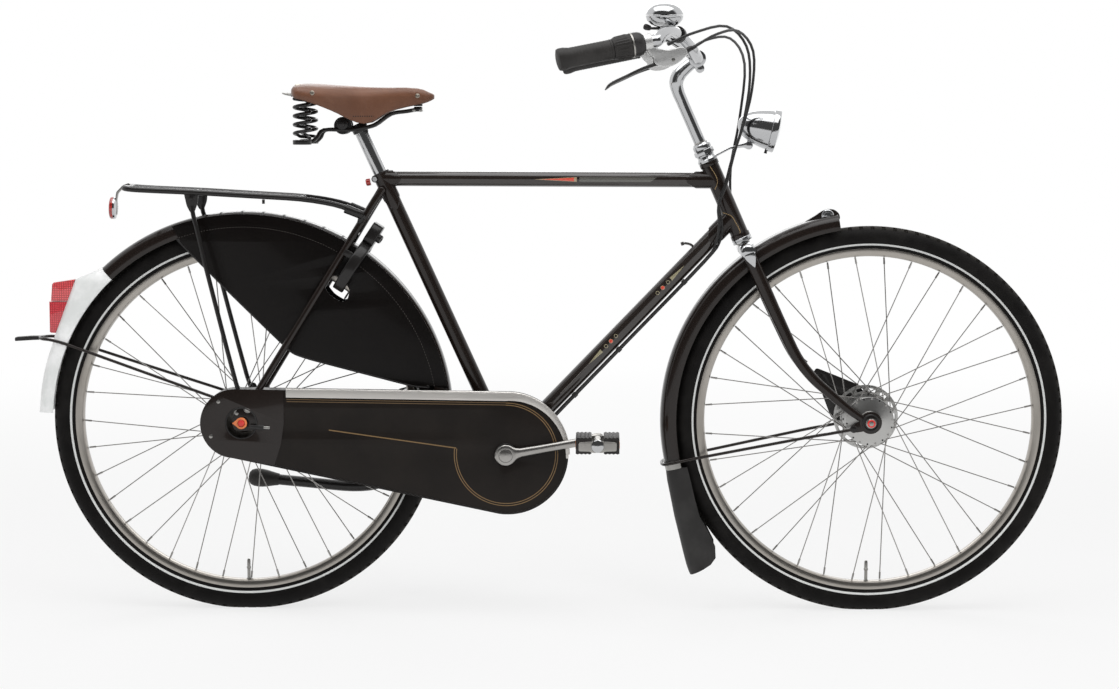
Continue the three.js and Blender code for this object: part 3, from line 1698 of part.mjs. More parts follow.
// A body of revolution about the X axis, from a closed outline of [radius, x] pairs
const turnedAlongX = (outline, segments) => turned(outline, segments).rotateZ(-Math.PI / 2);

const barBore = barRadius + 0.7;
const twistEnd = -34;

function gripShape(start) {
  return turnedAlongX(
    [
      [barBore, start],
      [16, start],
      [15.5, -gripLength + 14],
      [17.5, -gripLength + 8],
      [17.5, -gripLength - 1],
      [12, -gripLength - 5],
      [0.4, -gripLength - 5.5],
      [0.4, -gripLength - 1.5],
      [barBore, -gripLength - 1.5],
    ],
    hubSegments,
  );
}

const twistShifterShape = () =>
  turnedAlongX(
    [
      [barBore, twistEnd],
      [16.5, twistEnd],
      [19, twistEnd + 5],
      [19, -6],
      [17.5, -2],
      [barBore, -2],
    ],
    hubSegments,
  );

const leverPivot = at(65, 0, -38.5);

function leverBodyShape(side) {
  const sleeve = turnedAlongX(
    [
      [barBore, side < 0 ? -1.6 : 22],
      [17.5, side < 0 ? -1.6 : 22],
      [17.5, 20.5],
      [15, 24],
      [15, 35],
      [barBore, 35],
    ].filter(([, x]) => side < 0 || x !== 20.5),
    hubSegments,
  );
  const body = sidePlate(
    [
      [24, -10],
      [34, -10],
      [42, -17],
      [62, -24],
      [84, -22],
      [92, -25],
      [93, -33],
      [82, -41],
      [66, -48],
      [40, -47],
      [30, -41],
      [36, -33],
      [28, -24],
    ],
    -9,
    9,
  );
  const slot = sidePlate(
    [
      [-5, -70],
      [76, -70],
      [76, -31],
      [50, -25],
      [20, -12],
      [-5, -12],
    ],
    -5.4,
    5.4,
  );
  const pin = crossRod(leverPivot, -8, 8, 3);
  const boot = rod(at(88, 0, -29), at(103, 0, -24), 5, thinSides);
  return join(cut(join(sleeve, body), slot, rod(at(-10, 0, 0), at(60, 0, 0), barBore)), pin, boot);
}

function leverBladeShape() {
  const bow = [
    at(65, 0, -38.5),
    at(40, 0, -39),
    at(10, 0, -43),
    at(-20, 0, -50),
    at(-48, 0, -57),
    at(-62, 0, -67),
  ];
  const curve = new THREE.CatmullRomCurve3(bow);
  const across = at(0, 1, 0);
  const blade = sweep(polygon(1, 1, 6), spread(0, 1, 10), (corner, share) => {
    const centre = curve.getPointAt(share);
    const along = curve.getTangentAt(share);
    const up = along.clone().cross(across).normalize();
    const grow = Math.min(1, 0.62 + share * 2);
    return centre
      .addScaledVector(up, corner.x * 4.4 * (1 - 0.2 * share))
      .addScaledVector(across, corner.y * (share < 0.42 ? 5 : 7) * grow);
  });
  const eye = crossRod(leverPivot, -4.6, 4.6, 7, 10);
  const bore = crossRod(leverPivot, -overrun, overrun, 3.8);
  return cut(join(blade, eye), bore);
}

// Bell with two domes, and its thumb lever
const bellRadius = 33;
const bellHalfHeight = 20;
const bellGap = 2.5;
const bellBack = 24;
const bellShare = 0.56;
const barSideCurve = new THREE.CatmullRomCurve3(barRoute(-1));
const bellPlace = barSideCurve.getPointAt(bellShare);

function bellShape() {
  const centre = at(-bellBack, 0, 34);
  const outline = [
    [0, -bellHalfHeight],
    [14, -bellHalfHeight],
    [26, -15],
    [bellRadius, -7],
    [bellRadius, -bellGap / 2],
    [8, -bellGap / 2],
    [8, bellGap / 2],
    [bellRadius, bellGap / 2],
    [bellRadius, 7],
    [26, 15],
    [14, bellHalfHeight],
    [0, bellHalfHeight + 1],
  ];
  const domes = turnedOpen(outline, 14).rotateX(Math.PI / 2).translate(centre.x, centre.y, centre.z);
  const post = rod(at(-bellBack, 0, 3), at(-bellBack, 0, 16), 4.5, 10);
  const arm = rod(at(-9, 0, 3), at(-bellBack - 2, 0, 3), 4, thinSides);
  const direction = barSideCurve.getTangentAt(bellShare).applyAxisAngle(yAxis, steeringTilt);
  const strap = rod(direction.clone().multiplyScalar(-5), direction.clone().multiplyScalar(5), barRadius + 3.5);
  const bore = rod(direction.clone().multiplyScalar(-overrun), direction.clone().multiplyScalar(overrun), barRadius + 1.2);
  return join(domes, post, cut(join(strap, arm), bore));
}

function bellLeverShape() {
  const ring = rod(at(0, 0, -1.2), at(0, 0, 1.2), 9, hubSegments);
  const bore = rod(at(0, 0, -overrun), at(0, 0, overrun), 5.3, 10);
  const arm = block(at(-26, -3, -1.2), at(-7, 3, 1.2));
  const knob = rod(at(-23, 0, -1), at(-36, 0, 3), 4, thinSides, 5.5);
  return cut(join(ring, arm, knob), bore);
}

// Upper head bearing with the lamp's bracket, and the lamp
const lampPivot = at(79.7, 0, 157.8);

function upperBearingShape() {
  const cups = upperHeadsetShape().translate(0, 0, headTubeEnd + fitGap);
  const plate = sidePlate(
    [
      [14, 163],
      [46, 165.5],
      [70, 158.5],
      [75, 152],
      [86, 152],
      [86, 163],
      [74, 165],
      [47, 169],
      [14, 166.5],
    ],
    -7.5,
    7.5,
  );
  const slot = block(at(66, -4.6, 140), at(100, 4.6, 175));
  const pin = crossRod(lampPivot, -7, 7, 2.6);
  return join(cups, cut(plate, slot), pin);
}

function headlampShape() {
  const forward = at(0.837, 0, -0.547).normalize();
  const rimCentre = at(141.3, 0, 160.85);
  const length = 72;
  const shell = turnedOpen(
    [
      [0, -length],
      [10, -length + 1],
      [20, -length + 9],
      [27.5, -length + 24],
      [31, -length + 44],
      [31.5, -12],
      [34, -10],
      [34, 0],
      [29, 1],
      [18, 3.5],
      [0, 5],
    ],
    14,
  );
  shell.applyQuaternion(new THREE.Quaternion().setFromUnitVectors(yAxis, forward));
  shell.translate(rimCentre.x, 0, rimCentre.z);
  const foot = rod(at(98, 0, 176), lampPivot, 4.3, thinSides);
  const eye = crossRod(lampPivot, -4.2, 4.2, 7.5, 10);
  const bore = crossRod(lampPivot, -overrun, overrun, 3.3);
  return cut(join(shell, foot, eye), bore);
}

// Cables: their routes are points chosen by hand
const cableRadius = 2.4;
const steeringToBike = (p) =>
  headBase.clone().addScaledVector(headForward, p.x).addScaledVector(headDirection, p.z).add(at(0, p.y, 0));

// A place where a cable lies against the underside of the down tube
function underDownTube(share, y) {
  const reach = Math.sqrt((downTubeRadius + cableRadius + fitGap * 2) ** 2 - y ** 2);
  const place = bottomBracket.clone().lerp(downTubeTop, share);
  return place.add(at(downTubeUp.z * reach, y, -downTubeUp.x * reach));
}

const rearBrakeRoute = [
  ...[
    [46, -242, 361],
    [95, -208, 366],
    [136, -140, 356],
    [150, -78, 312],
    [122, -42, 248],
    [78, -30, 190],
    [42, -26, 150],
    [12, -26, 112],
    [-14, -25, 84],
  ].map(([x, y, z]) => steeringToBike(at(x, y, z))),
  at(877, -26, 364),
  at(874, -22, 331),
  underDownTube(0.84, -5),
  underDownTube(0.5, -5),
  underDownTube(0.15, -5),
  at(525.5, -4, -46),
  at(510, 1, -75),
  at(483, 6, -86),
  at(452, 16, -78),
  at(400, 30, -65),
  at(280, 33.2, -49),
  at(238, 33.2, -46),
  at(180, 45, -43),
  at(140, 54, -41),
  at(124, 57.3, -40),
];
const shiftRoute = [
  ...[
    [12, -252, 384],
    [60, -226, 384],
    [120, -150, 372],
    [142, -88, 326],
    [126, -55, 268],
    [88, -38, 205],
    [48, -32, 156],
    [14, -32, 112],
    [-16, -31, 80],
  ].map(([x, y, z]) => steeringToBike(at(x, y, z))),
  at(872, -31, 360),
  at(866, -26, 326),
  underDownTube(0.84, -11),
  underDownTube(0.5, -11),
  underDownTube(0.15, -11),
  at(529, -12, -48),
  at(511, -13, -76),
  at(482, -15, -86),
  at(452, -18, -79),
  at(400, -26, -66),
  at(250, -36, -50),
  at(150, -48, -38),
  at(100, -54, -31),
  at(62, -57, -20),
];
const frontBrakeRoute = [
  [46, 242, 361],
  [95, 208, 366],
  [134, 140, 350],
  [136, 80, 296],
  [92, 48, 205],
  [52, 44, 120],
  [30, 50, 30],
  [24, 58, -60],
  [22, 61, -160],
  [30, 57, -240],
  [46, 48, -276],
  [50, 43.5, -290],
].map(([x, y, z]) => at(x, y, z));

const frame = [
  part("head_tube", headTubeShape(), blackLacquer),
  part("top_tube", topTubeShape(), blackLacquer),
  part("down_tube", downTubeShape(), blackLacquer),
  part("seat_tube", seatTubeShape(), blackLacquer),
  part("bottom_bracket_shell", bottomBracketShape(), blackLacquer),
  part("right_chain_stay", chainStayShape(-1), blackLacquer),
  part("left_chain_stay", chainStayShape(1), blackLacquer),
  part("right_seat_stay", seatStayShape(-1), blackLacquer),
  part("left_seat_stay", seatStayShape(1), blackLacquer),
  part("seat_post", seatPostShape(), chrome),
  part("rear_axle", rearAxleShape(), greySteel),
  part("rear_mudguard", rearGuardShape(), blackLacquer),
  part("rear_mudguard_tail", rearTailShape(), whitePlastic),
  part("tail_lamp", tailLampShape(), redPlastic),
  part("rear_mudguard_stay", rearStayShape(), blackLacquer),
  part("right_skirt_guard", skirtShape(-1), blackCloth),
  part("left_skirt_guard", skirtShape(1), blackCloth),
  part("carrier", carrierShape(), blackLacquer),
  part("rear_reflector", reflectorShape(), redPlastic),
  part("kickstand_leg", standLegShape(), blackSteel),
  part("chain_case", chainCaseShape(), blackCloth),
  part("chain", chainShape(), greySteel),
  part("rear_sprocket", sprocketShape(), greySteel),
  part("saddle_frame", saddleFrameShape(), blackSteel),
  part("saddle_spring_right", saddleSpringShape(-1), blackSteel),
  part("saddle_spring_left", saddleSpringShape(1), blackSteel),
  part("saddle_leather", saddleLeatherShape(), leather),
  part("rear_brake_cable", tube(rearBrakeRoute, cableRadius, 5, 30), rubber),
  part("shift_cable", tube(shiftRoute, cableRadius, 5, 30), rubber),
];

const lock = group(
  lockCentre,
  Math.PI / 2 - rad(lockTilt),
  part("lock_housing", lockHousingShape(), blackSteel),
  part("lock_shackle", lockShackleShape(), greySteel),
);

const cranks = group(
  bottomBracket,
  crankTilt,
  part("right_crank", rightCrankShape(), greySteel),
  group(at(0, 0, 0), Math.PI, part("left_crank", leftCrankShape(), greySteel)),
  group(at(crankLength, 0, 0), -crankTilt, part("right_pedal", pedalShape(-1), rubber)),
  group(at(-crankLength, 0, 0), -crankTilt, part("left_pedal", pedalShape(1), rubber)),
);

const rearWheel = group(
  rearAxle,
  0,
  part("rear_tyre", tyreShape(), tyreRubber),
  part("rear_rim", rimShape(), satinAlloy),
  group(rearAxle, rad(spokePhase), part("rear_hub", rearHubShape(), spokeSteel)),
);

const frontWheel = group(
  at(forkRake, 0, -forkLength),
  -steeringTilt,
  part("front_tyre", tyreShape(), tyreRubber),
  part("front_rim", rimShape(), satinAlloy),
  part("front_hub", frontHubShape(), spokeSteel),
  part("front_mudguard", frontGuardShape(), blackLacquer),
  part("mudguard_flap", flapShape(), rubber),
  part("front_mudguard_stay", frontStayShape(), blackLacquer),
);

const steering = group(
  headBase,
  steeringTilt,
  part("fork", forkShape(), blackLacquer),
  group(at(forkRake, 0, -forkLength), 0, part("front_axle", frontAxleShape(), greySteel)),
  frontWheel,
  part("upper_headset", upperBearingShape(), chrome),
  part("stem", stemShape(), chrome),
  part("handlebar", handlebarShape(), chrome),
  gripFrame(
    -1,
    part("right_grip", gripShape(twistEnd - 1), rubber),
    part("twist_shifter", twistShifterShape(), rubber),
    part("right_lever_body", leverBodyShape(-1), satinAlloy),
    part("right_brake_lever", leverBladeShape(), blackSteel),
  ),
  gripFrame(
    1,
    part("left_grip", gripShape(20), rubber),
    part("left_lever_body", leverBodyShape(1), satinAlloy),
    part("left_brake_lever", leverBladeShape(), blackSteel),
  ),
  group(
    bellPlace,
    -steeringTilt,
    part("bell", bellShape(), chrome),
    group(at(-bellBack, 0, 11), 0, part("bell_lever", bellLeverShape(), rubber)),
  ),
  part("headlamp", headlampShape(), chrome),
  part("front_brake_cable", tube(frontBrakeRoute, cableRadius, 5, 20), rubber),
);

const root = new THREE.Group();
root.add(...frame, lock, cranks, rearWheel, steering);
export default root;
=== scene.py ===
# %% [markdown]
# # A Dutch city bike, finish by finish
# The imported model is the bike's skeleton: every piece at its real size, in metres, with +X
# forward, +Y to the rider's left and +Z up. The rear axle is the origin. This script leaves the
# skeleton where it is and dresses it with smooth pieces and with finishes made of shader nodes.

# %% Load the skeleton, with a helper for a piece's box
import json
import math
from math import cos, radians, sin, tau

import bmesh
import bpy
from mathutils import Matrix, Vector


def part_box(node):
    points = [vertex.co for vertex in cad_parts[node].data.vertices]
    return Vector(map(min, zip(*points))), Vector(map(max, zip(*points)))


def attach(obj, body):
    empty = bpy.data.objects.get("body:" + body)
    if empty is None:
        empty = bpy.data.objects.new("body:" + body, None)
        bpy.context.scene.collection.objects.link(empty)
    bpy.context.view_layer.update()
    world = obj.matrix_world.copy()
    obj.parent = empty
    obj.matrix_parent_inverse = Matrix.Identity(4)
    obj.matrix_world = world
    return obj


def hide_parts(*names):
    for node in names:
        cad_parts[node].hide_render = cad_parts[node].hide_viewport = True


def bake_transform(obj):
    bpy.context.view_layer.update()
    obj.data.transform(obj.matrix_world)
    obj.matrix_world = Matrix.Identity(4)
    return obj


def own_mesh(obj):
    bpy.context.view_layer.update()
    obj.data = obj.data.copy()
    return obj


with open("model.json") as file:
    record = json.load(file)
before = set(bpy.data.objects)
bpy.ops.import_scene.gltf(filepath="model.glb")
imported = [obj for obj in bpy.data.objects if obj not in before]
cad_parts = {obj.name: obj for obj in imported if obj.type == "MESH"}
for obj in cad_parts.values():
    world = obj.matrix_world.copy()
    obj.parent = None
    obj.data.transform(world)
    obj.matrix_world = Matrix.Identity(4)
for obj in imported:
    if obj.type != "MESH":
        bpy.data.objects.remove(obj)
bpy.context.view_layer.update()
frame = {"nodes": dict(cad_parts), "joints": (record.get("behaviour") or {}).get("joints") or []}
joints = {joint["name"]: joint for joint in frame["joints"]}
MM = 0.001

# %% [markdown]
# The main places come from the skeleton's own joints, so that a dressed piece lands where the
# plain one is. The steering parts are easiest to draw in a frame of their own, whose Z runs up
# the head tube, so one matrix takes them from there to the bike.

# %% Main places
rear_axle = Vector(joints["rear_wheel_spin"]["pos_m"])
front_axle = Vector(joints["front_wheel_spin"]["pos_m"])
bracket = Vector(joints["crank_spin"]["pos_m"])
head_base = Vector(joints["steering_turn"]["pos_m"])
head_up = Vector(joints["steering_turn"]["axis"]).normalized()
across = Vector((0, 1, 0))
head_forward = across.cross(head_up).normalized()
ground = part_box("rear_tyre")[0].z


def frame_of(origin, forward, left, up):
    """The matrix that takes a point from local axes to the bike."""
    turn = Matrix((forward, left, up)).transposed().to_4x4()
    return Matrix.Translation(origin) @ turn


STEERING = frame_of(head_base, head_forward, across, head_up)
print("head tube leans", round(math.degrees(math.atan2(head_up.z, -head_up.x)), 1), "degrees")

# %% [markdown]
# ## Camera
# The photograph was taken square to the bike's right side from between four and five metres,
# from a little below the saddle, looking slightly down. The photograph is 1119 pixels wide, and
# the distance between the two wheel centres in it sets the lens.

# %% Camera
PHOTO_WIDTH = 1119
SENSOR = 36
CAMERA_DISTANCE = 4.65
CAMERA_PLACE = Vector((0.6545, -CAMERA_DISTANCE, 0.5876))
CAMERA_AIM = Vector((0.58, 0, 0.1379))
FOCAL_PIXELS = 2528.5


def make_camera():
    """A camera at the photograph's place, aimed at what lies in its middle."""
    data = bpy.data.cameras.new("photo_camera")
    data.sensor_width = SENSOR
    data.lens = FOCAL_PIXELS * SENSOR / PHOTO_WIDTH
    camera = bpy.data.objects.new("photo_camera", data)
    camera.location = CAMERA_PLACE
    camera.rotation_euler = (CAMERA_AIM - CAMERA_PLACE).to_track_quat("-Z", "Y").to_euler()
    bpy.context.scene.collection.objects.link(camera)
    bpy.context.scene.camera = camera
    return camera


camera = make_camera()
print("lens", round(camera.data.lens, 1), "mm")

# %% [markdown]
# ## Light and floor
# Polished lacquer and chrome show what stands around them, so the light comes from large soft
# panels: one above, two in front and one behind. The front two don't show in mirrors, because
# the bright ones above and behind already give the chrome its edges.

# %% Light and floor
scene = bpy.context.scene
scene.view_settings.view_transform = "Standard"
WHITE = (1, 1, 1, 1)


def soft_panel(name, place, aim, size, power, mirrored):
    """A large rectangular lamp that points at a place, and is either seen in mirrors or not."""
    data = bpy.data.lights.new(name, "AREA")
    data.shape = "RECTANGLE"
    data.size, data.size_y = size
    data.energy = power
    panel = bpy.data.objects.new(name, data)
    panel.location = place
    panel.rotation_euler = (Vector(aim) - Vector(place)).to_track_quat("-Z", "Y").to_euler()
    panel.visible_glossy = mirrored
    scene.collection.objects.link(panel)


MIDDLE = (0.575, 0, 0.1)
soft_panel("top_panel", (0.4, -0.6, 3), MIDDLE, (4, 2.5), 62, True)
soft_panel("front_panel", (2.6, -3.4, 1.7), MIDDLE, (1.8, 1.8), 40, False)
soft_panel("side_panel", (-2.2, -3.2, 1.4), MIDDLE, (1.4, 1.8), 26, False)
soft_panel("back_panel", (0.6, 3.2, 1.8), MIDDLE, (3, 1.6), 30, True)


# %% [markdown]
# ## Shader maths as Python
# A pattern is easier to read as a formula than as a web of nodes. One small class stands for a
# node's output and adds a Math node for each operator. A second one holds a material and makes
# every other kind of node with one method.

# %% A socket that can be added, multiplied and compared
class Signal:
    """A node's output, with the operators that the patterns use."""

    def __init__(self, finish, socket):
        self.finish = finish
        self.socket = socket

    def math(self, operation, *others):
        values = dict(enumerate((self, *others)))
        return self.finish.node("ShaderNodeMath", {"operation": operation}, values)

    def __add__(self, other):
        return self.math("ADD", other)

    __radd__ = __add__

    def __sub__(self, other):
        return self.math("SUBTRACT", other)

    def __rsub__(self, other):
        return (self * -1) + other

    def __mul__(self, other):
        return self.math("MULTIPLY", other)

    __rmul__ = __mul__

    def __gt__(self, other):
        return self.math("GREATER_THAN", other)

    def __lt__(self, other):
        return self.math("LESS_THAN", other)

    def __abs__(self):
        return self.math("ABSOLUTE")

    def step(self, low, high):
        """0 below low, 1 above high and smooth between them."""
        settings = {"interpolation_type": "SMOOTHSTEP"}
        values = {"Value": self, "From Min": low, "From Max": high}
        return self.finish.node("ShaderNodeMapRange", settings, values)


class Nodes:
    """A node tree whose nodes are made as they are named, with a place and its X, Y and Z."""

    def __init__(self, owner, place):
        owner.use_nodes = True
        self.tree = owner.node_tree
        self.place = self.node("ShaderNodeTexCoord", output=place)
        self.x, self.y, self.z = (self.node("ShaderNodeSeparateXYZ", None, {0: self.place}, axis)
            for axis in "XYZ")

    def feed(self, socket, value):
        if isinstance(value, Signal):
            self.tree.links.new(value.socket, socket)
        else:
            socket.default_value = value

    def node(self, kind, settings=None, values=None, output=0):
        made = self.tree.nodes.new(kind)
        for name, value in (settings or {}).items():
            if name == "stops":
                set_stops(made.color_ramp, value)
            else:
                setattr(made, name, value)
        for name, value in (values or {}).items():
            self.feed(made.inputs[name], value)
        return Signal(self, made.outputs[output])

    def ray(self, kind):
        """1 on rays of a kind, such as the camera's own, and 0 on the rest."""
        return self.node("ShaderNodeLightPath", output="Is %s Ray" % kind)


class Finish(Nodes):
    """A material with its shader, and the textures that the finishes use."""

    def __init__(self, name):
        self.material = bpy.data.materials.new(name)
        super().__init__(self.material, "Object")
        self.shader = self.tree.nodes["Principled BSDF"]

    def noise(self, scale, detail=3, roughness=0.55, stretch=None):
        where = self.place
        if stretch:
            where = self.node("ShaderNodeMapping", None, {"Vector": where, "Scale": stretch})
        values = {"Vector": where, "Scale": scale, "Detail": detail, "Roughness": roughness}
        return self.node("ShaderNodeTexNoise", None, values)

    def mix(self, share, first, second):
        settings = {"data_type": "RGBA"}
        return self.node("ShaderNodeMix", settings, {0: share, 6: first, 7: second}, 2)

    def bump(self, height, distance, strength=1, under=None):
        values = {"Height": height, "Distance": distance, "Strength": strength}
        if under:
            values["Normal"] = under
        return self.node("ShaderNodeBump", None, values)

    def surface(self, **values):
        """Feeds the shader's inputs, named with underscores for spaces."""
        for name, value in values.items():
            self.feed(self.shader.inputs[name.replace("_", " ")], value)
        return self.material


def set_stops(ramp, stops):
    """Puts colours at places along a colour ramp."""
    while len(ramp.elements) < len(stops):
        ramp.elements.new(0.5)
    for element, (place, colour) in zip(ramp.elements, stops):
        element.position = place
        element.color = colour


# %% [markdown]
# The world is a dim even light that the camera sees as a white room, with the dark studio behind
# the camera. Mirrors and gloss show that room too, so chrome gets the dark bands of a studio.

# %% A white room with a dark front
ROOM_DARK = 0.92
world = bpy.data.worlds.new("pale_room")
scene.world = world
room = Nodes(world, "Generated")
seen = room.ray("Camera").math("MAXIMUM", room.ray("Transmission"))
front = room.node("ShaderNodeMapRange", {"interpolation_type": "SMOOTHSTEP"},
    {"Value": room.y, "From Min": -0.06, "From Max": -0.4, "To Min": 1, "To Max": 1 - ROOM_DARK})
shown = front.math("MAXIMUM", room.z.step(0.74, 0.97)).math("MAXIMUM", seen)
strength = room.node("ShaderNodeMapRange", None,
    {"To Min": 0.42, "To Max": shown, "Value": seen.math("MAXIMUM", room.ray("Glossy"))})
light = room.tree.nodes["Background"]
light.inputs["Color"].default_value = WHITE
room.feed(light.inputs["Strength"], strength)
print("world:", len(room.tree.nodes), "nodes")

# %% [markdown]
# ## Making pieces
# Every new piece starts as a bmesh. A turned part is a profile that is spun round an axis, a
# flat part is an outline that is filled and thickened, and a bent tube is a curve with a round
# bevel. `keep` turns the result into an object, smooths it, gives it its finishes and hangs it
# on the body of the skeleton that it moves with.

# %% From a bmesh to a piece that rides on a body
def keep(name, shape, finish, body="frame", instead=(), sharp=32, outward=True):
    """Makes the object of a finished bmesh, which stands for the nodes named in instead."""
    bmesh.ops.remove_doubles(shape, verts=shape.verts, dist=0.00001)
    if outward:
        bmesh.ops.recalc_face_normals(shape, faces=shape.faces)
    mesh = bpy.data.meshes.new(name)
    shape.to_mesh(mesh)
    shape.free()
    mesh.materials.append(finish)
    mesh.shade_smooth()
    mesh.set_sharp_from_angle(angle=radians(sharp))
    made = bpy.data.objects.new(name, mesh)
    scene.collection.objects.link(made)
    if body:
        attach(made, body)
    if instead:
        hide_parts(*instead)
    return made


def add(*shapes):
    """Puts several bmeshes into the first."""
    first = shapes[0]
    for shape in shapes[1:]:
        passing = bpy.data.meshes.new("passing")
        shape.to_mesh(passing)
        shape.free()
        first.from_mesh(passing)
        bpy.data.meshes.remove(passing)
    return first


def moved(shape, matrix):
    bmesh.ops.transform(shape, matrix=matrix, verts=shape.verts)
    return shape


def shifted(shape, x=0, y=0, z=0):
    return moved(shape, Matrix.Translation((x, y, z)))


def spun(profile, steps, turn=360, start=0):
    """Spins (radius, y) points in millimetres round the Y axis, from +X towards +Z."""
    shape = bmesh.new()
    aim = radians(start)
    corners = []
    for radius, y in profile:
        place = at(radius * cos(aim), y, radius * sin(aim))
        corners.append(shape.verts.new(place))
    edges = [shape.edges.new(pair) for pair in zip(corners, corners[1:] + corners[:1])]
    whole = turn >= 360
    bmesh.ops.spin(shape, geom=corners + edges, cent=(0, 0, 0), axis=(0, -1, 0),
        angle=radians(turn), steps=steps, use_merge=whole)
    bmesh.ops.remove_doubles(shape, verts=shape.verts, dist=0.000005)
    if not whole:
        bmesh.ops.holes_fill(shape, edges=[e for e in shape.edges if e.is_boundary])
    bmesh.ops.recalc_face_normals(shape, faces=shape.faces)
    return shape


def along(start, end):
    """The matrix that takes the Y axis to the line from start to end, with start at zero."""
    line = Vector(end) - Vector(start)
    turn = line.to_track_quat("Y", "Z").to_matrix().to_4x4()
    return Matrix.Translation(Vector(start)) @ turn


def turned(profile, steps, start, end):
    """A turned piece: (radius, distance) points in millimetres, from start towards end."""
    return moved(spun(profile, steps), along(start, end))


def rod(start, end, radius, end_radius=None, sides=24, rounding=0):
    """A straight round bar between two places in metres, with radii in millimetres."""
    length = (Vector(end) - Vector(start)).length / MM
    last = radius if end_radius is None else end_radius
    if rounding:
        profile = [
            (0.01, 0), (radius - rounding, 0), (radius - rounding * 0.3, rounding * 0.3),
            (radius, rounding), (last, length - rounding),
            (last - rounding * 0.3, length - rounding * 0.3), (last - rounding, length),
            (0.01, length),
        ]
    else:
        profile = [(0.01, 0), (radius, 0), (last, length), (0.01, length)]
    return turned(profile, sides, start, end)


def curve_mesh(data):
    """The bmesh of a curve that is used only to make it."""
    holder = bpy.data.objects.new("passing", data)
    scene.collection.objects.link(holder)
    bpy.context.view_layer.update()
    seen = holder.evaluated_get(bpy.context.evaluated_depsgraph_get())
    mesh = bpy.data.meshes.new_from_object(seen)
    shape = bmesh.new()
    shape.from_mesh(mesh)
    bpy.data.objects.remove(holder)
    bpy.data.curves.remove(data)
    bpy.data.meshes.remove(mesh)
    bmesh.ops.remove_doubles(shape, verts=shape.verts, dist=0.000005)
    return shape


def pipe(points, radius, radii=None, sides=4, steps=8):
    """A round bar along a smooth curve through places in metres; its radius is in millimetres."""
    data = bpy.data.curves.new("pipe", "CURVE")
    data.dimensions = "3D"
    data.bevel_depth = radius * MM
    data.bevel_resolution = sides
    data.resolution_u = steps
    data.use_fill_caps = True
    spline = data.splines.new("BEZIER")
    spline.bezier_points.add(len(points) - 1)
    for number, (knot, place) in enumerate(zip(spline.bezier_points, points)):
        knot.co = place
        knot.handle_left_type = knot.handle_right_type = "AUTO"
        knot.radius = radii[number] if radii else 1
    return curve_mesh(data)


def plate(outlines, low, high, bevel=0, steps=2):
    """A flat plate from outlines of (x, z) in millimetres, between two values of Y.

    The first outline is the edge and the rest are holes.
    """
    data = bpy.data.curves.new("plate", "CURVE")
    data.dimensions = "2D"
    data.fill_mode = "BOTH"
    data.extrude = ((high - low) / 2 - bevel) * MM
    data.bevel_depth = bevel * MM
    data.bevel_resolution = steps
    data.offset = -bevel * MM
    data.resolution_u = 6
    for outline in outlines:
        spline = data.splines.new("BEZIER")
        spline.bezier_points.add(len(outline) - 1)
        spline.use_cyclic_u = True
        for knot, (x, z) in zip(spline.bezier_points, outline):
            knot.co = (x * MM, z * MM, 0)
            knot.handle_left_type = knot.handle_right_type = "VECTOR"
    shape = curve_mesh(data)
    upright = Matrix.Rotation(radians(90), 4, "X")
    return shifted(moved(shape, upright), y=(low + high) / 2 * MM)


def ring_points(radius, count, x=0, z=0):
    """Points round a circle, for an outline or a hole."""
    angles = [tau * i / count for i in range(count)]
    return [(x + radius * cos(a), z + radius * sin(a)) for a in angles]


def softened(outline, radius, steps=3):
    """The outline with each corner rounded off."""
    points = []
    for i, corner in enumerate(outline):
        here = Vector(corner)
        before, after = Vector(outline[i - 1]), Vector(outline[(i + 1) % len(outline)])
        reach_in = min(radius, (before - here).length * 0.45)
        reach_out = min(radius, (after - here).length * 0.45)
        first = here + (before - here).normalized() * reach_in
        last = here + (after - here).normalized() * reach_out
        for number in range(steps + 1):
            share = number / steps
            blend = first * (1 - share) ** 2 + here * 2 * share * (1 - share) + last * share**2
            points.append((blend.x, blend.y))
    return points


def loft(stations, sides=16):
    """A skin over oval rings: each station is (centre, first half axis, second half axis)."""
    shape = bmesh.new()
    rings = []
    for centre, first, second in stations:
        normal = Vector(first).cross(Vector(second)).normalized()
        matrix = Matrix((first, second, normal)).transposed().to_4x4()
        matrix.translation = Vector(centre)
        made = bmesh.ops.create_circle(shape, segments=sides, radius=1, matrix=matrix)
        ring = made["verts"]
        rings.append([e for e in shape.edges if e.verts[0] in ring and e.verts[1] in ring])
    for first_ring, next_ring in zip(rings, rings[1:]):
        bmesh.ops.bridge_loops(shape, edges=first_ring + next_ring)
    bmesh.ops.holes_fill(shape, edges=[e for e in shape.edges if e.is_boundary])
    bmesh.ops.recalc_face_normals(shape, faces=shape.faces)
    return shape


def at(x, y, z):
    """A place given in millimetres, in metres."""
    return Vector((x, y, z)) * MM


def metres(points):
    return [Vector(point) * MM for point in points]


def block(size, edge, steps):
    """A box with rounded edges: its size in millimetres, the edges' offset in metres."""
    shape = bmesh.new()
    bmesh.ops.create_cube(shape, size=1)
    bmesh.ops.scale(shape, vec=[length * MM for length in size], verts=shape.verts)
    bmesh.ops.bevel(shape, geom=shape.edges[:], offset=edge, segments=steps, affect="EDGES",
        profile=0.5, material=-1)
    return shape


def tinted(colour, *shares):
    """A colour with its red, green and blue scaled."""
    return (*(part * share for part, share in zip(colour, shares)), 1)


def mirrored(points):
    """The same places on the other side of the bike."""
    return [Vector((p[0], -p[1], p[2])) for p in points]


# %% [markdown]
# ## Finishes
# Nearly the whole bike is one brown-black lacquer under a clear coat. What tells the parts apart
# is how they shine: sprayed tubes have a faint orange peel, lacquered cloth shows its weave,
# polished steel mirrors the room and brushed alloy only blurs it. Each finish is a function, so
# that a part can have its own centre, stripe or colour.

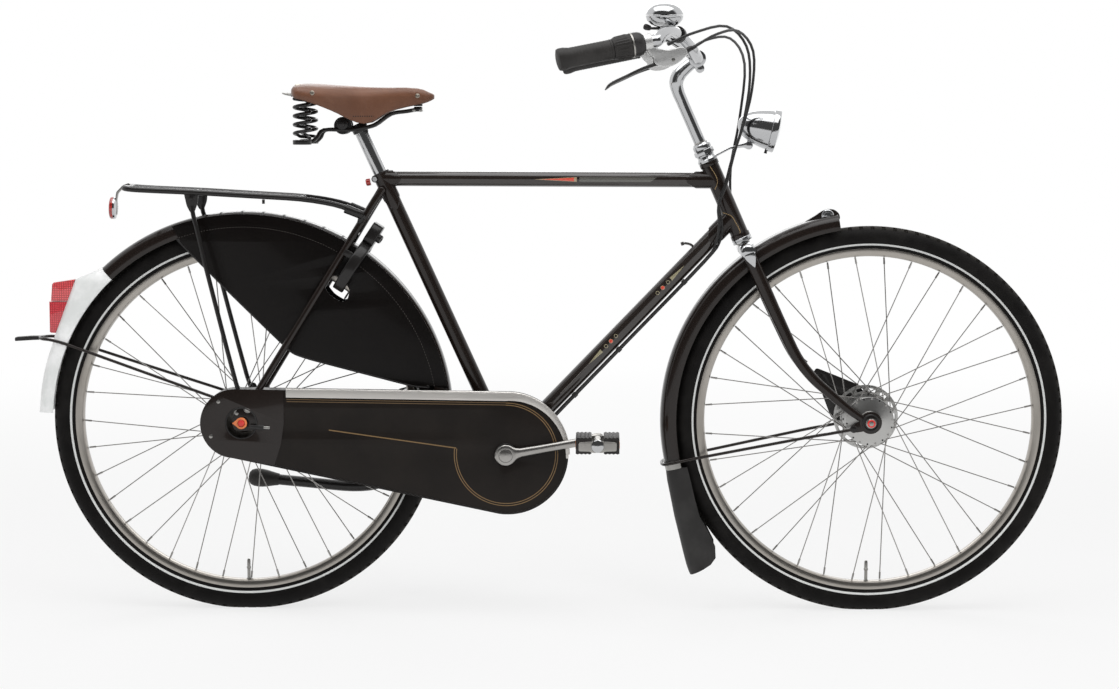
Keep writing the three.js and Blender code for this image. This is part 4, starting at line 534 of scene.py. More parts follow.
# %% Lacquer, polished steel and alloy
def lacquer(name, colour=(0.0085, 0.0058, 0.0048, 1), rough=0.16):
    """Gloss paint under a clear coat, with a faint orange peel and a little dust."""
    paint = Finish(name)
    haze = paint.noise(9, 4)
    dust = paint.noise(260, 2)
    blended_colour = paint.mix(haze, colour, tinted(colour, 1.7, 1.6, 1.5))
    peel = paint.bump(paint.noise(420, 1), 0.00012, 0.35)
    return paint.surface(Base_Color=blended_colour, Roughness=rough + haze * 0.1 + dust * 0.05, Normal=peel,
        Coat_Weight=0.3, Coat_Roughness=0.06, Specular_IOR_Level=0.25)


def polished(name, colour=(0.53, 0.535, 0.54, 1), rough=0.07):
    """Chrome plate, whose shine is broken by fine wipe marks and a breath of haze."""
    plate_finish = Finish(name)
    haze = plate_finish.noise(14, 4)
    wipes = plate_finish.noise(60, 2, stretch=(1, 8, 1))
    tint = plate_finish.mix(haze, colour, tinted(colour, 0.86, 0.86, 0.87))
    return plate_finish.surface(Base_Color=tint, Metallic=1,
        Roughness=rough + haze * 0.07 + wipes * 0.04,
        Normal=plate_finish.bump(wipes, 0.00003, 0.3))


def alloy(name, colour=(0.47, 0.46, 0.44, 1), rough=0.3):
    """Satin alloy, with the fine lines of brushing and a little oxide."""
    metal = Finish(name)
    grain = metal.noise(340, 3, stretch=(1, 1, 6))
    cloud = metal.noise(22, 4)
    tint = metal.mix(cloud, colour, tinted(colour, 0.8, 0.79, 0.77))
    return metal.surface(Base_Color=tint, Metallic=1,
        Roughness=rough + grain * 0.12 + cloud * 0.08, Normal=metal.bump(grain, 0.00004, 0.4))


black_coat = lacquer("black_coating", (0.0072, 0.0066, 0.0066, 1), 0.3)
chrome = polished("chrome_plate")
satin_alloy = alloy("satin_alloy")
zinc = alloy("zinc_plated_steel", (0.4, 0.395, 0.38, 1), 0.26)
stainless = alloy("stainless_spoke", (0.42, 0.41, 0.4, 1), 0.22)

# %% [markdown]
# Rubber is never quite black: it is dull, a little grey with bloom and dust, and finely pitted.
# Moulded plastic is smoother and more even, and a lamp's lens has small prisms inside it.

# %% Rubber and plastic
def moulded(name, colour, rough=0.45, pit=0.00006, scale=900, coat=0):
    """A moulded surface with a fine pitted skin and uneven sheen."""
    skin = Finish(name)
    pits = skin.noise(scale, 2)
    bloom = skin.noise(26, 4)
    lighter = tuple(min(1, c * 1.6 + 0.006) for c in colour[:3]) + (1,)
    return skin.surface(
        Base_Color=skin.mix(bloom.step(0.35, 0.8), colour, lighter),
        Roughness=rough + bloom * 0.14 + pits * 0.05, Normal=skin.bump(pits, pit, 0.6),
        Coat_Weight=coat, Specular_IOR_Level=0.4,
    )


def prism_lens(name, colour, pitch=0.0042):
    """A coloured lens with rows of small prisms behind a smooth face, and painted shade darkening
    the edges between the prisms.
    """
    lens = Finish(name)
    cells = lens.node("ShaderNodeTexVoronoi", {"feature": "DISTANCE_TO_EDGE"},
        {"Vector": lens.place, "Scale": 1 / pitch, "Randomness": 0.15})
    edge = cells.step(0.02, 0.3)
    prism_groove_shade = tinted(colour, 0.45, 0.4, 0.4)
    return lens.surface(Base_Color=lens.mix(edge, prism_groove_shade, colour), Roughness=0.2 + edge * 0.1,
        Normal=lens.bump(edge, 0.0006, 0.5), Coat_Weight=1, Coat_Roughness=0.03)


rubber = moulded("black_rubber", (0.016, 0.0145, 0.0135, 1), 0.5)
casing = moulded("cable_casing", (0.012, 0.0115, 0.0115, 1), 0.32, scale=1500)
black_plastic = moulded("black_plastic", (0.013, 0.012, 0.012, 1), 0.36)
white_plastic = moulded("white_plastic", (0.74, 0.755, 0.745, 1), 0.3, coat=0.4)
red_lens = prism_lens("red_lamp_lens", (0.8, 0.085, 0.095, 1))
red_reflector = prism_lens("red_reflector_lens", (0.55, 0.03, 0.02, 1), 0.003)

# %% [markdown]
# ## Wheels
# Both wheels are the same: a road tyre with a light reflecting stripe on each wall, an alloy rim
# and thirty-six crossed spokes. They are spun from profiles, so they are as round as the steps
# allow. The tread's grooves are real: every third row of faces on the shoulders is sunk.

# %% Tyre and rim finishes
STRIPE_RADIUS, STRIPE_WIDTH = 0.3243, 0.0038


def radius_from(finish, centre):
    """The distance from a wheel's axle line, as a signal."""
    across_x = finish.x - centre.x
    across_z = finish.z - centre.z
    return (across_x * across_x + across_z * across_z).math("SQRT")


def tyre_rubber(name, centre):
    """Dull black rubber with dust in the tread, and a light reflecting stripe on each wall."""
    skin = Finish(name)
    radius = radius_from(skin, centre)
    bloom = skin.noise(30, 4)
    pits = skin.noise(1100, 2)
    ribs = (radius * 2600).math("SINE")
    black = skin.mix(bloom.step(0.35, 0.75), (0.0042, 0.0036, 0.0034, 1),
        (0.0095, 0.0086, 0.008, 1))
    dusty = skin.mix(radius.step(0.35, 0.358) * bloom, black, (0.05, 0.045, 0.038, 1))
    off_stripe = abs(radius - STRIPE_RADIUS)
    stripe = 1 - off_stripe.step(STRIPE_WIDTH * 0.42, STRIPE_WIDTH * 0.5)
    grey = skin.mix(pits, (0.72, 0.73, 0.72, 1), (0.6, 0.61, 0.6, 1))
    relief = skin.bump(ribs * (1 - stripe) * 0.4 + pits * 0.6, 0.00012, 0.7)
    return skin.surface(Base_Color=skin.mix(stripe, dusty, grey),
        Roughness=0.62 - stripe * 0.25 + bloom * 0.1, Normal=relief, Specular_IOR_Level=0.16)


def turned_alloy(name, centre, colour=(0.44, 0.415, 0.385, 1), rough=0.27):
    """Rim alloy with a faint champagne tint and the fine rings that a lathe leaves."""
    metal = Finish(name)
    radius = radius_from(metal, centre)
    rings = (radius * 9000).math("SINE")
    cloud = metal.noise(18, 4)
    tint = metal.mix(cloud, colour, tinted(colour, 0.84, 0.83, 0.8))
    return metal.surface(Base_Color=tint, Metallic=1, Roughness=rough + cloud * 0.12,
        Normal=metal.bump(rings, 0.00003, 0.35))


# %% Tyre
TYRE_WALL = [
    (310.8, 11), (316, 11.4), (320, 14.2), (324.5, 17.8), (329.5, 20.6), (335.5, 21.9),
    (341.5, 21.3), (346.8, 18.9), (350.8, 15.6), (353.8, 12.2), (356, 8.4), (357.1, 4.9),
    (357.5, 1.8),
]
TREAD_STEPS = 324
GROOVE_DEPTH = 1.1


def both_sides(profile):
    """The profile and its mirror image, as one run round the section."""
    return profile + [(radius, -y) for radius, y in reversed(profile)]


def tyre(name, centre, body, node):
    shape = spun(both_sides(TYRE_WALL), TREAD_STEPS)
    grooves = []
    for face in shape.faces:
        middle = face.calc_center_median() / MM
        reach = math.hypot(middle.x, middle.z)
        column = int(math.degrees(math.atan2(middle.z, middle.x)) * TREAD_STEPS / 360
            + TREAD_STEPS)
        shoulder = reach > 349 and abs(middle.y) > 6
        offset = 0 if middle.y > 0 else 1
        if shoulder and (column + offset) % 3 == 0:
            grooves.append(face)
    sunk = bmesh.ops.extrude_discrete_faces(shape, faces=grooves)["faces"]
    for face in sunk:
        normal = face.normal.copy()
        bmesh.ops.translate(shape, verts=face.verts, vec=normal * -GROOVE_DEPTH * MM)
    shifted(shape, *centre)
    keep(name, shape, tyre_rubber(name + "_rubber", centre), body, [node], 40, False)


# %% Rim, with a nipple for each spoke
RIM_SIDE = [(310.5, 11.2), (316.2, 11.3), (317, 12), (316.8, 13.2), (315.4, 13.75), (309.5, 13.4),
    (305, 11.4), (302.8, 8.2), (302, 4)]
SPOKES = 36
SPOKE_CROSSING = 60
SPOKE_RIM_REACH = 299.6
SPOKE_RIM_SHIFT = 4
SPOKE_OFFSET = 1.1
NIPPLE_LENGTH = 11


def spoke_ends(number, flange_radius, flanges, phase):
    """Where a spoke leaves its flange and where it reaches the rim, in millimetres."""
    side = 1 if number % 2 else -1
    leading = 1 if (number // 2) % 2 else -1
    at_rim = radians((number + 0.5) * 360 / SPOKES - phase)
    at_hub = at_rim + leading * radians(SPOKE_CROSSING)
    y = flanges[number % 2] + side * leading * SPOKE_OFFSET
    rim_y = side * (SPOKE_RIM_SHIFT + leading * SPOKE_OFFSET)
    hub_end = (flange_radius * cos(at_hub), y, flange_radius * sin(at_hub))
    rim_end = (SPOKE_RIM_REACH * cos(at_rim), rim_y, SPOKE_RIM_REACH * sin(at_rim))
    return Vector(hub_end), Vector(rim_end)


def rim(name, centre, body, node):
    shape = spun(both_sides(RIM_SIDE), 216)
    shifted(shape, *centre)
    keep(name, shape, turned_alloy(name + "_alloy", centre), body, [node], 30)


def spoke_set(name, centre, body, flange_radius, flanges, phase):
    """The spokes with their nipples and the heads at the flanges."""
    shape = bmesh.new()
    for number in range(SPOKES):
        hub_end, rim_end = spoke_ends(number, flange_radius, flanges, phase)
        line = (rim_end - hub_end).normalized()
        side = 1 if hub_end.y > 0 else -1
        outer = hub_end + Vector((0, side * 2, 0))
        add(shape, rod(hub_end * MM, rim_end * MM, 1, sides=8))
        add(shape, rod((rim_end - line * NIPPLE_LENGTH) * MM, (rim_end + line * 1.6) * MM, 1.9,
            1.6, 8))
        add(shape, rod(hub_end * MM, outer * MM, 1.5, 1.9, 8))
    shifted(shape, *centre)
    keep(name, shape, stainless, body, (), 40)


# %% Valve
def valve(name, centre, body, degrees):
    """The valve stem with its lock ring and cap, which stands up from the rim."""
    aim = radians(degrees)
    out = Vector((cos(aim), 0, sin(aim)))
    foot, top = centre + out * 0.3035, centre + out * 0.264
    profile = [(0.01, 0), (4.6, 0), (4.6, 2.5), (3, 3), (3, 20), (4, 21), (4, 24), (3.2, 25),
        (3.2, 36), (2.2, 39), (0.01, 39.5)]
    keep(name, turned(profile, 20, foot, top), zinc, body)


# %% [markdown]
# ## Hubs
# The front hub is a large alloy shell with a roller brake on its left, whose slotted disc sheds
# heat. The rear hub holds the gears. Each shell is one profile, and the holes for the spokes are
# drawn as dark rims round the spoke heads: black bosses of painted shade for the holes' insides.

# %% Hub shells
FRONT_FLANGE, REAR_FLANGE = 45, 34
FRONT_FLANGE_Y, REAR_FLANGE_Y = (-33, 33), (-31, 30)
SPOKE_CIRCLE_INSET = 3
FRONT_SHELL = [
    (5.4, -44.7), (17, -44.7), (18, -43.7), (19.5, -38), (24, -36.2), (42, -35.2), (44.4, -34.6),
    (45, -33), (44.4, -31.4), (42, -30.8), (38, -29.5), (36, -26), (36, 26), (38, 29.5),
    (42, 30.8), (44.4, 31.4), (45, 33), (44.4, 34.6), (42, 35.2), (20, 36.6), (18, 39), (18, 40.9),
    (5.4, 40.9),
]
REAR_SHELL = [
    (5.4, -33.2), (31.5, -33.2), (33.6, -32.6), (34, -31), (33.6, -29.4), (30, -27.6), (27, -25),
    (27, 24), (30, 26.6), (33.6, 28.4), (34, 30), (33.6, 31.6), (31.5, 32.2), (20, 37.6), (18, 40),
    (18, 47.7), (5.4, 47.7),
]


def flange_hole_shade(radius, planes, depth):
    """Black bosses of painted shade, which stand for the dark insides of the holes round
    each flange.
    """
    shape = bmesh.new()
    for y in planes:
        for number in range(SPOKES // 2):
            angle = tau * (number + 0.25) / (SPOKES // 2)
            place = Vector((radius * cos(angle), y, radius * sin(angle)))
            half = Vector((0, depth / 2, 0))
            add(shape, rod((place - half) * MM, (place + half) * MM, 1.7, sides=10))
    return shape


def brake_disc(radius, y, slots):
    """The slotted disc that cools the brake."""
    outline = ring_points(radius, 96)
    holes = [ring_points(16, 32)]
    for number in range(slots):
        angle = tau * number / slots
        middle, half, width = radius - 9, radians(9), 3
        inner = [(middle - width, angle + half * s) for s in (-0.8, -0.3, 0.3, 0.8)]
        outer = [(middle + width, angle + half * s) for s in (0.8, 0.3, -0.3, -0.8)]
        hole = [(r * cos(a), r * sin(a)) for r, a in inner + outer]
        holes.append(softened(hole, 2, 2))
    return plate([outline, *holes], y, y + 3, 0.4)


def wheel(side_name, centre, body, shell, flange, flanges, disc, phase):
    """A whole wheel: tyre, rim, spokes, hub shell, brake disc and valve."""
    tyre(side_name + "_tyre_skin", centre, body, side_name + "_tyre")
    rim(side_name + "_rim_ring", centre, body, side_name + "_rim")
    place = Matrix.Translation(centre)
    finish = turned_alloy(side_name + "_hub_alloy", centre, (0.52, 0.52, 0.515, 1), 0.24)
    hub = add(spun(shell, 72), brake_disc(*disc))
    keep(side_name + "_hub_shell", moved(hub, place), finish, body, [side_name + "_hub"], 30)
    reach = flange - SPOKE_CIRCLE_INSET
    spoke_set(side_name + "_spokes", centre, body, reach, flanges, phase)
    # Painted shade: black bosses for the dark insides of the spoke holes.
    holes = flange_hole_shade(reach, flanges, 5)
    keep(side_name + "_spoke_holes", moved(holes, place), black_plastic, body)
    valve(side_name + "_valve", centre, body, -90)


wheel("rear", rear_axle, "rear_wheel", REAR_SHELL, REAR_FLANGE, REAR_FLANGE_Y, (52, 37.8, 12), 4.2)
wheel("front", front_axle, "front_wheel", FRONT_SHELL, FRONT_FLANGE, FRONT_FLANGE_Y,
    (60, 36.2, 14), 0)
print("two wheels of", SPOKES, "spokes each")

# %% [markdown]
# ## Frame tubes
# The frame is brazed: each tube end sits in a socket, and the sockets' edges are filed to long
# points. The tubes are plain round bars here, and the lugs are short sleeves over them with a
# scalloped edge, cut from the plain sleeve by moving its end vertices.

# %% Where the tubes run
SEAT_ANGLE = radians(65.5)
seat_up = Vector((-cos(SEAT_ANGLE), 0, sin(SEAT_ANGLE)))


def up_seat(distance):
    return bracket + seat_up * distance * MM


def up_head(distance):
    return head_base + head_up * distance * MM


SEAT_TUBE_LENGTH = 562
SEAT_RADIUS, TOP_RADIUS, DOWN_RADIUS, HEAD_RADIUS = 14, 13.8, 15.4, 16.5
top_rear, top_front = up_seat(SEAT_TUBE_LENGTH - 12), up_head(124)
down_low, down_high = bracket, up_head(50)


def trimmed(start, end, first, last):
    """The line from start to end, shortened at each end, in millimetres."""
    line = (end - start).normalized() * MM
    return start + line * first, end - line * last


def lug(start, end, radius, length, point=9, tips=2, wall=1.8):
    """A socket round a tube from start towards end, whose far edge is filed to points."""
    line = (end - start).normalized()
    profile = [(radius, 0), (radius + wall, 0), (radius + wall, length * 0.5),
        (radius + wall, length - 1.2), (radius + wall * 0.6, length), (radius, length)]
    shape = spun(profile, 48)
    for vert in shape.verts:
        share = vert.co.y / (length * MM)
        if share > 0.6:
            wave = cos(math.atan2(vert.co.z, vert.co.x) * tips)
            vert.co.y += wave * point * MM * (share - 0.5) * 2
    return moved(shape, along(start, start + line))


# %% [markdown]
# ## Frame
# The tubes are brazed into lugs and sprayed. The painted darts, bands and rings are transfers
# under the clear coat, so the material draws them from the distance along and across the tube.

# %% Painted marks
def painted_tube(name, build):
    """Frame lacquer with painted decoration: build gives each colour and its mask."""
    paint = Finish(name)
    haze = paint.noise(9, 4)
    colour = paint.mix(haze, (0.012, 0.0085, 0.007, 1), (0.02, 0.0136, 0.0105, 1))
    for mask, tone in build(paint):
        colour = paint.mix(mask, colour, tone)
    peel = paint.bump(paint.noise(420, 1), 0.00012, 0.35)
    return paint.surface(Base_Color=colour, Roughness=0.16 + haze * 0.12, Normal=peel,
        Coat_Weight=0.8, Coat_Roughness=0.06, Specular_IOR_Level=0.45)


EDGE = 0.0002
TAN, GREY_BAND, SIGNAL_RED = (0.36, 0.27, 0.17, 1), (0.1, 0.098, 0.088, 1), (0.62, 0.075, 0.045, 1)
PALE_GOLD, LINE_GREY = (0.3, 0.27, 0.17, 1), (0.17, 0.16, 0.15, 1)


def wedge(run, off, base, tip, half):
    """A long dart from its base to its tip, as a mask."""
    width = (run - tip) * (half / (base - tip))
    inside = (width - abs(off)).step(0, EDGE)
    near_base = (run - base) * (1 if base < tip else -1)
    return inside * near_base.step(0, EDGE)


def band(run, off, low, high, half, slant=0):
    """A bar with a slanted far end, as a mask."""
    far = high - run + off * slant
    return (run - low).step(0, EDGE) * far.step(0, EDGE) * (half - abs(off)).step(0, EDGE)


def dot(run, off, centre, radius):
    shift = run - centre
    reach = (shift * shift + off * off).math("SQRT")
    return 1 - reach.step(radius - EDGE, radius + EDGE)


def top_tube_marks(paint):
    """A red dart and a grey band on each side."""
    off = paint.z - 0.444 + (paint.x - 0.2554) * 0.0036
    yield wedge(paint.x, off, 0.612, 0.532, 0.0044), TAN
    yield wedge(paint.x, off, 0.607, 0.545, 0.0034), SIGNAL_RED
    yield band(paint.x, off, 0.6165, 0.7525, 0.0044, 1.3), GREY_BAND


def down_tube_marks(paint):
    """Darts, rings and red dots between them, and a fine line that runs on down the tube."""
    line = (down_high - bracket).normalized()
    run = paint.x * line.x + paint.z * line.z - bracket.dot(line)
    off = paint.z * line.x - paint.x * line.z - (bracket.z * line.x - bracket.x * line.z) - 0.002
    yield wedge(run, off, 0.437, 0.474, 0.0036), PALE_GOLD
    yield wedge(run, off, 0.254, 0.214, 0.0036), PALE_GOLD
    yield band(run, off, 0.144, 0.232, 0.0005), LINE_GREY
    for centre in (0.4295, 0.402, 0.2916, 0.2655):
        ring = dot(run, off, centre, 0.0036) - dot(run, off, centre, 0.0026)
        yield ring, PALE_GOLD
    for centre in (0.4155, 0.2785):
        yield dot(run, off, centre, 0.004), TAN
        yield dot(run, off, centre, 0.0033), SIGNAL_RED


# %% Tubes and lugs
frame_paint = lacquer("frame_lacquer")
top_tube_paint = painted_tube("top_tube_lacquer", top_tube_marks)
down_tube_paint = painted_tube("down_tube_lacquer", down_tube_marks)


def main_tubes():
    head = add(
        rod(up_head(8.8), up_head(160), HEAD_RADIUS, sides=48, rounding=0.6),
        lug(top_front, top_rear, TOP_RADIUS + 0.3, 46),
        lug(down_high, down_low, DOWN_RADIUS + 0.3, 52),
        rod(up_head(8.8), up_head(17), HEAD_RADIUS + 1.4, sides=48, rounding=1),
        rod(up_head(152), up_head(160), HEAD_RADIUS + 1.4, sides=48, rounding=1),
    )
    keep("head_tube_and_lugs", head, frame_paint, "frame", ["head_tube"])
    start, end = trimmed(top_rear, top_front, 14.5, 17)
    keep("top_tube_skin", rod(start, end, TOP_RADIUS, sides=48), top_tube_paint, "frame",
        ["top_tube"])
    start, end = trimmed(down_low, down_high, 20.5, 17.5)
    peg_foot = bracket.lerp(down_high, 0.85)
    upward = across.cross(down_high - bracket).normalized()
    if upward.z < 0:
        upward = -upward
    bend, tip = peg_foot + upward * 0.02, peg_foot + upward * 0.0235 - Vector((0.009, 0, 0))
    tubing = add(rod(start, end, DOWN_RADIUS, sides=48), pipe([peg_foot, bend, tip], 2.4, sides=4),
        rod(tip, tip + Vector((-0.006, 0, -0.002)), 3.6, sides=16, rounding=1.2))
    keep("down_tube_skin", tubing, down_tube_paint, "frame", ["down_tube"])


def lower_cup():
    profile = [(13.6, 0), (18.2, 0), (18.5, 0.6), (18.5, 3.2), (17.6, 3.8), (17.6, 4.6),
        (18.5, 5.2), (18.5, 8), (18, 8.7), (13.6, 8.7)]
    keep("lower_head_cup", turned(profile, 48, up_head(0.1), up_head(9)), chrome)


def seat_tube_and_lug():
    """The seat tube with the seat lug, its binder bolt and the crown of the bracket."""
    top = up_seat(SEAT_TUBE_LENGTH)
    behind = up_seat(SEAT_TUBE_LENGTH - 13) + Vector((-0.0145, 0, 0))
    ears = add(rod(behind + across * 0.0125, behind + across * 0.0025, 6.2, sides=24,
        rounding=0.8), rod(behind - across * 0.0125, behind - across * 0.0025, 6.2, sides=24,
        rounding=0.8))
    shape = add(
        rod(up_seat(20.5), up_seat(SEAT_TUBE_LENGTH - 0.5), SEAT_RADIUS, sides=48),
        lug(top, up_seat(0), SEAT_RADIUS, 62, 12),
        rod(up_seat(SEAT_TUBE_LENGTH - 2.5), top, SEAT_RADIUS + 2.6, sides=48, rounding=0.8),
        lug(top_rear, top_front, TOP_RADIUS + 0.2, 25), ears,
    )
    keep("seat_tube_and_lug", shape, frame_paint, "frame", ["seat_tube"])
    bolt = add(
        rod(behind - across * 0.014, behind + across * 0.014, 3, sides=20),
        rod(behind - across * 0.016, behind - across * 0.0125, 4.8, sides=6),
        rod(behind + across * 0.0125, behind + across * 0.0155, 4.8, sides=20, rounding=0.8),
    )
    keep("seat_binder_bolt", bolt, chrome)


def bracket_shell():
    half = across * 0.034
    shape = add(rod(bracket - half, bracket + half, 20, sides=48, rounding=1),
        lug(bracket, up_seat(100), SEAT_RADIUS + 0.2, 46, 7),
        lug(bracket, down_high, DOWN_RADIUS + 0.2, 46, 7))
    keep("bracket_shell_and_sockets", shape, frame_paint, "frame", ["bottom_bracket_shell"])
    cup = [(9.2, 0), (18.6, 0), (19.4, 0.8), (19.4, 3), (9.2, 3)]
    cups = add(*[turned(cup, 48, bracket + half * out, bracket) for out in (-1.06, 1.06)])
    keep("bearing_cups", cups, zinc)


main_tubes()
lower_cup()
seat_tube_and_lug()
bracket_shell()

# %% [markdown]
# The head lugs are lined with a fine gold stripe, laid on by brush along their edges. Each
# stripe is a hair-thin bead that lies on the tubes, so its depth comes from their radii.

# %% Gold lines on the head lugs
AXES = ((down_high, head_up, HEAD_RADIUS),
    (top_front, (top_front - top_rear).normalized(), TOP_RADIUS + 1.9),
    (down_high, (down_high - bracket).normalized(), DOWN_RADIUS + 1.9))
gold_line = alloy("gold_lining", (0.55, 0.4, 0.22, 1), 0.36)


def on_tubes(x, z):
    """The place on the near side of the head tube or its sockets at X and Z in millimetres."""
    depth = 0
    for place, line, radius in AXES:
        reach = at(x, 0, z) - place
        off = abs(reach.x * line.z - reach.z * line.x) / MM
        if off < radius:
            depth = max(depth, math.sqrt(radius**2 - off**2))
    return at(x, -depth, z)


def through(points, steps):
    """Places on a smooth curve through the given ones, steps to each span."""
    known = [Vector(p) for p in points]
    known = [known[0] * 2 - known[1], *known, known[-1] * 2 - known[-2]]
    places = []
    for a, b, c, d in zip(known, known[1:], known[2:], known[3:]):
        for number in range(steps):
            t = number / steps
            places.append((b * 2 + (c - a) * t + (a * 2 - b * 5 + c * 4 - d) * t**2
                + (b * 3 - a - c * 3 + d) * t**3) / 2)
    places.append(known[-2])
    return places


def lug_lines():
    routes = [[(853, 0, 470), (858, 0, 463), (867, 0, 448), (869, 0, 437), (865, 0, 425)],
        [(880, 0, 382), (889, 0, 379), (896, 0, 375), (903, 0, 364), (910, 0, 351), (911, 0, 345)]]
    shape = bmesh.new()
    for route in routes:
        places = [on_tubes(p.x, p.z) for p in through(route, 5)]
        for side in (places, mirrored(places)):
            add(shape, pipe(side, 0.75, sides=2, steps=1))
    keep("head_lug_lining", shape, gold_line)


lug_lines()

# %% [markdown]
# ## Stays and dropouts
# The chain stays run from the bracket to flat dropouts that hold the axle, and the seat stays
# come down from the seat lug to small tabs on the same bolts. They taper to the rear, so each
# is a curve whose radius changes from point to point.

# %% Stays
DROPOUT_LOW, DROPOUT_HIGH = 65.3, 69.3
DROPOUT = [(-17, -10), (-8, -16), (12, -15), (44, -14), (44, 5), (30, 30), (18, 37), (4, 35),
    (-12, 20), (-18, 5)]
SEAT_TAB = [(32, 58), (20, 58), (3, 30), (4, 20), (11, 17), (19, 20), (34, 50)]
STAND_PLATE = [(238, -26), (300, -38), (280, -92), (268, -116), (254, -116), (247, -96)]


def across_span(side, low, high):
    """Two distances from the middle as values of Y on the given side."""
    return (low, high) if side > 0 else (-high, -low)


def chain_stay(side, node):
    route = metres([(459.5, side * 26, -53.5), (400, side * 30, -47), (250, side * 43, -29),
        (70, side * 61, -10), (34, side * 67.3, -5)])
    places = through(route, 4)
    radii = [9.6 - 2.1 * i / (len(places) - 1) for i in range(len(places))]
    radii[0] = radii[1] = 10.8
    shape = pipe(places, 1, radii, 6, 2)
    low, high = across_span(side, DROPOUT_LOW, DROPOUT_HIGH)
    hole = ring_points(5.4, 24)
    add(shape, plate([softened(DROPOUT, 5), hole], low, high, 0.6))
    if side > 0:
        add(shape, plate([softened(STAND_PLATE, 6)], 39, 44, 0.6))
        add(shape, rod(at(262, 39, -106), at(262, 68, -106), 6, sides=24, rounding=0.8))
    keep(node + "_skin", shape, frame_paint, "frame", [node])


def seat_stay(side, node):
    route = metres([(256, side * 18.2, 428), (252, side * 21.5, 420), (236, side * 29, 394),
        (198, side * 41, 332), (120, side * 55, 205), (26, side * 68.6, 52)])
    places = through(route, 4)
    radii = [7.6 - 1.3 * i / (len(places) - 1) for i in range(len(places))]
    radii[:3] = [4.5, 6.6, 7.4]
    shape = pipe(places, 1, radii, 5, 2)
    low, high = across_span(side, 69.6, 72.1)
    add(shape, plate([softened(SEAT_TAB, 4)], low, high, 0.5))
    keep(node + "_skin", shape, frame_paint, "frame", [node])


chain_stay(-1, "right_chain_stay")
chain_stay(1, "left_chain_stay")
seat_stay(-1, "right_seat_stay")
seat_stay(1, "left_seat_stay")


def bridges():
    """The bar between the seat stays over the mudguard, and the one behind the bracket."""
    shape = add(rod(*metres([(205, -38, 343.5), (205, 38, 343.5)]), 5, sides=20),
        rod(*metres([(418, -29, -49), (418, 29, -49)]), 6, sides=20))
    keep("stay_bridges", shape, frame_paint)


bridges()


# %% Rear axle, its nuts and the brake's arm
ARM = [(-22, -14), (0, -26), (22, -26), (96, -44), (118, -45), (122, -33), (112, -27), (60, -24),
    (44, -18), (28, -6), (24, 14), (0, 26), (-22, 14)]
lens_red = moulded("red_plastic", (0.5, 0.025, 0.02, 1), 0.28, coat=0.5)
signal_orange = moulded("orange_plastic", (0.58, 0.16, 0.05, 1), 0.34, coat=0.3)


def hex_nut(centre, side, start, length, radius):
    """A domed axle nut that points away from the middle, on the given side."""
    profile = [(0.01, length), (radius * 0.45, length), (radius * 0.8, length * 0.86),
        (radius, length * 0.66), (radius, 0.6), (radius * 0.92, 0), (0.01, 0)]
    inner = centre + across * side * start * MM
    return turned(profile, 6, inner, inner + across * side * MM)


def axle_set(name, centre, half, nut_start, node, arm, arm_low, body, arm_finish):
    shape = rod(centre - across * (nut_start + 4) * MM, centre + across * (nut_start + 4) * MM,
        4.9, sides=24)
    for side in (-1, 1):
        washer = centre + across * side * (nut_start - 0.1) * MM
        add(shape, rod(washer, washer + across * side * 1.4 * MM, 9.6, sides=32, rounding=0.3))
        add(shape, hex_nut(centre, side, nut_start + 1.2, 7.6, 8.9))
        lock = centre + across * side * (half - 5) * MM
        add(shape, rod(lock, lock + across * side * 5 * MM, 9.9, sides=6, rounding=0.5))
    keep(name, shape, zinc, body, [node])
    local = plate([softened(arm, 5)], arm_low, arm_low + 3.6, 0.6)
    keep(name + "_plate", shifted(local, *centre), arm_finish, body)


axle_set("rear_axle_and_arm", rear_axle, 65, 69.9, "rear_axle", ARM, 55.7, "frame", zinc)


def gear_cap():
    """The coloured guard over the gear's indicator chain: an orange drop with a red middle."""
    drop = [(10.6 * cos(a), 10.6 * sin(a)) for a in [radians(d) for d in range(-140, 141, 10)]]
    drop.append((-16.5, 0))
    ring = plate([drop, ring_points(7, 32)], -79.6, -77.4, 0.3)
    keep("gear_cap_ring", ring, signal_orange)
    cap = turned([(0.01, 0), (6.2, 0), (6.2, 1.8), (5.2, 2.8), (3, 3.2), (0.01, 3.3)], 32,
        across * -0.077, across * -0.078)
    keep("gear_cap", cap, lens_red)


gear_cap()

# %% [markdown]
# ## Fork
# The fork's crown is a polished steel piece whose two pointed tangs run down the outside of the
# blades. Below them the blades are black, oval in section, and bent forward near their ends. They
# are lofts: one oval at each place of the curve, joined by bridging.

# %% Places in the steering frame
def steer(x, y, z):
    """A place given in millimetres in the steering frame, on the bike in metres."""
    return STEERING @ at(x, y, z)


def steers(points):
    return [steer(*point) for point in points]


def steered(shape):
    return moved(shape, STEERING)


# %% Fork blades, crown, tangs and steerer
FORK_RAKE, FORK_LENGTH, BLADE_TOP_Y, BLADE_END_Y = 80.8, 394.2, 41, 53.3
BLADE_SHARES = [(0.045, 0, 0), (0.24, 0.01, 0.15), (0.42, 0.025, 0.4), (0.58, 0.06, 0.6),
    (0.7, 0.2, 0.75), (0.8, 0.42, 0.88), (0.9, 0.66, 0.96), (0.965, 0.85, 1)]


def fork_blade(side):
    route = [Vector((forward * FORK_RAKE, side * (BLADE_TOP_Y + (BLADE_END_Y - BLADE_TOP_Y) * out),
        -down * FORK_LENGTH)) for down, forward, out in BLADE_SHARES]
    places = through(route, 4)
    stations = []
    for number, place in enumerate(places):
        ahead = places[min(number + 1, len(places) - 1)] - places[max(number - 1, 0)]
        forward = across.cross(ahead).normalized()
        share = number / (len(places) - 1)
        scale = (1 - 0.44 * share) * MM / 2
        stations.append((place * MM, forward * 25 * scale, across * 19 * scale))
    return steered(loft(stations, 28))


FORK_END_LOW, FORK_END_HIGH = 50.3, 56.3
EAR = [(0, 10), (-20, 3), (-34, -4), (-39, -11), (-34, -17), (-26, -18), (-8, -15), (0, -14)]


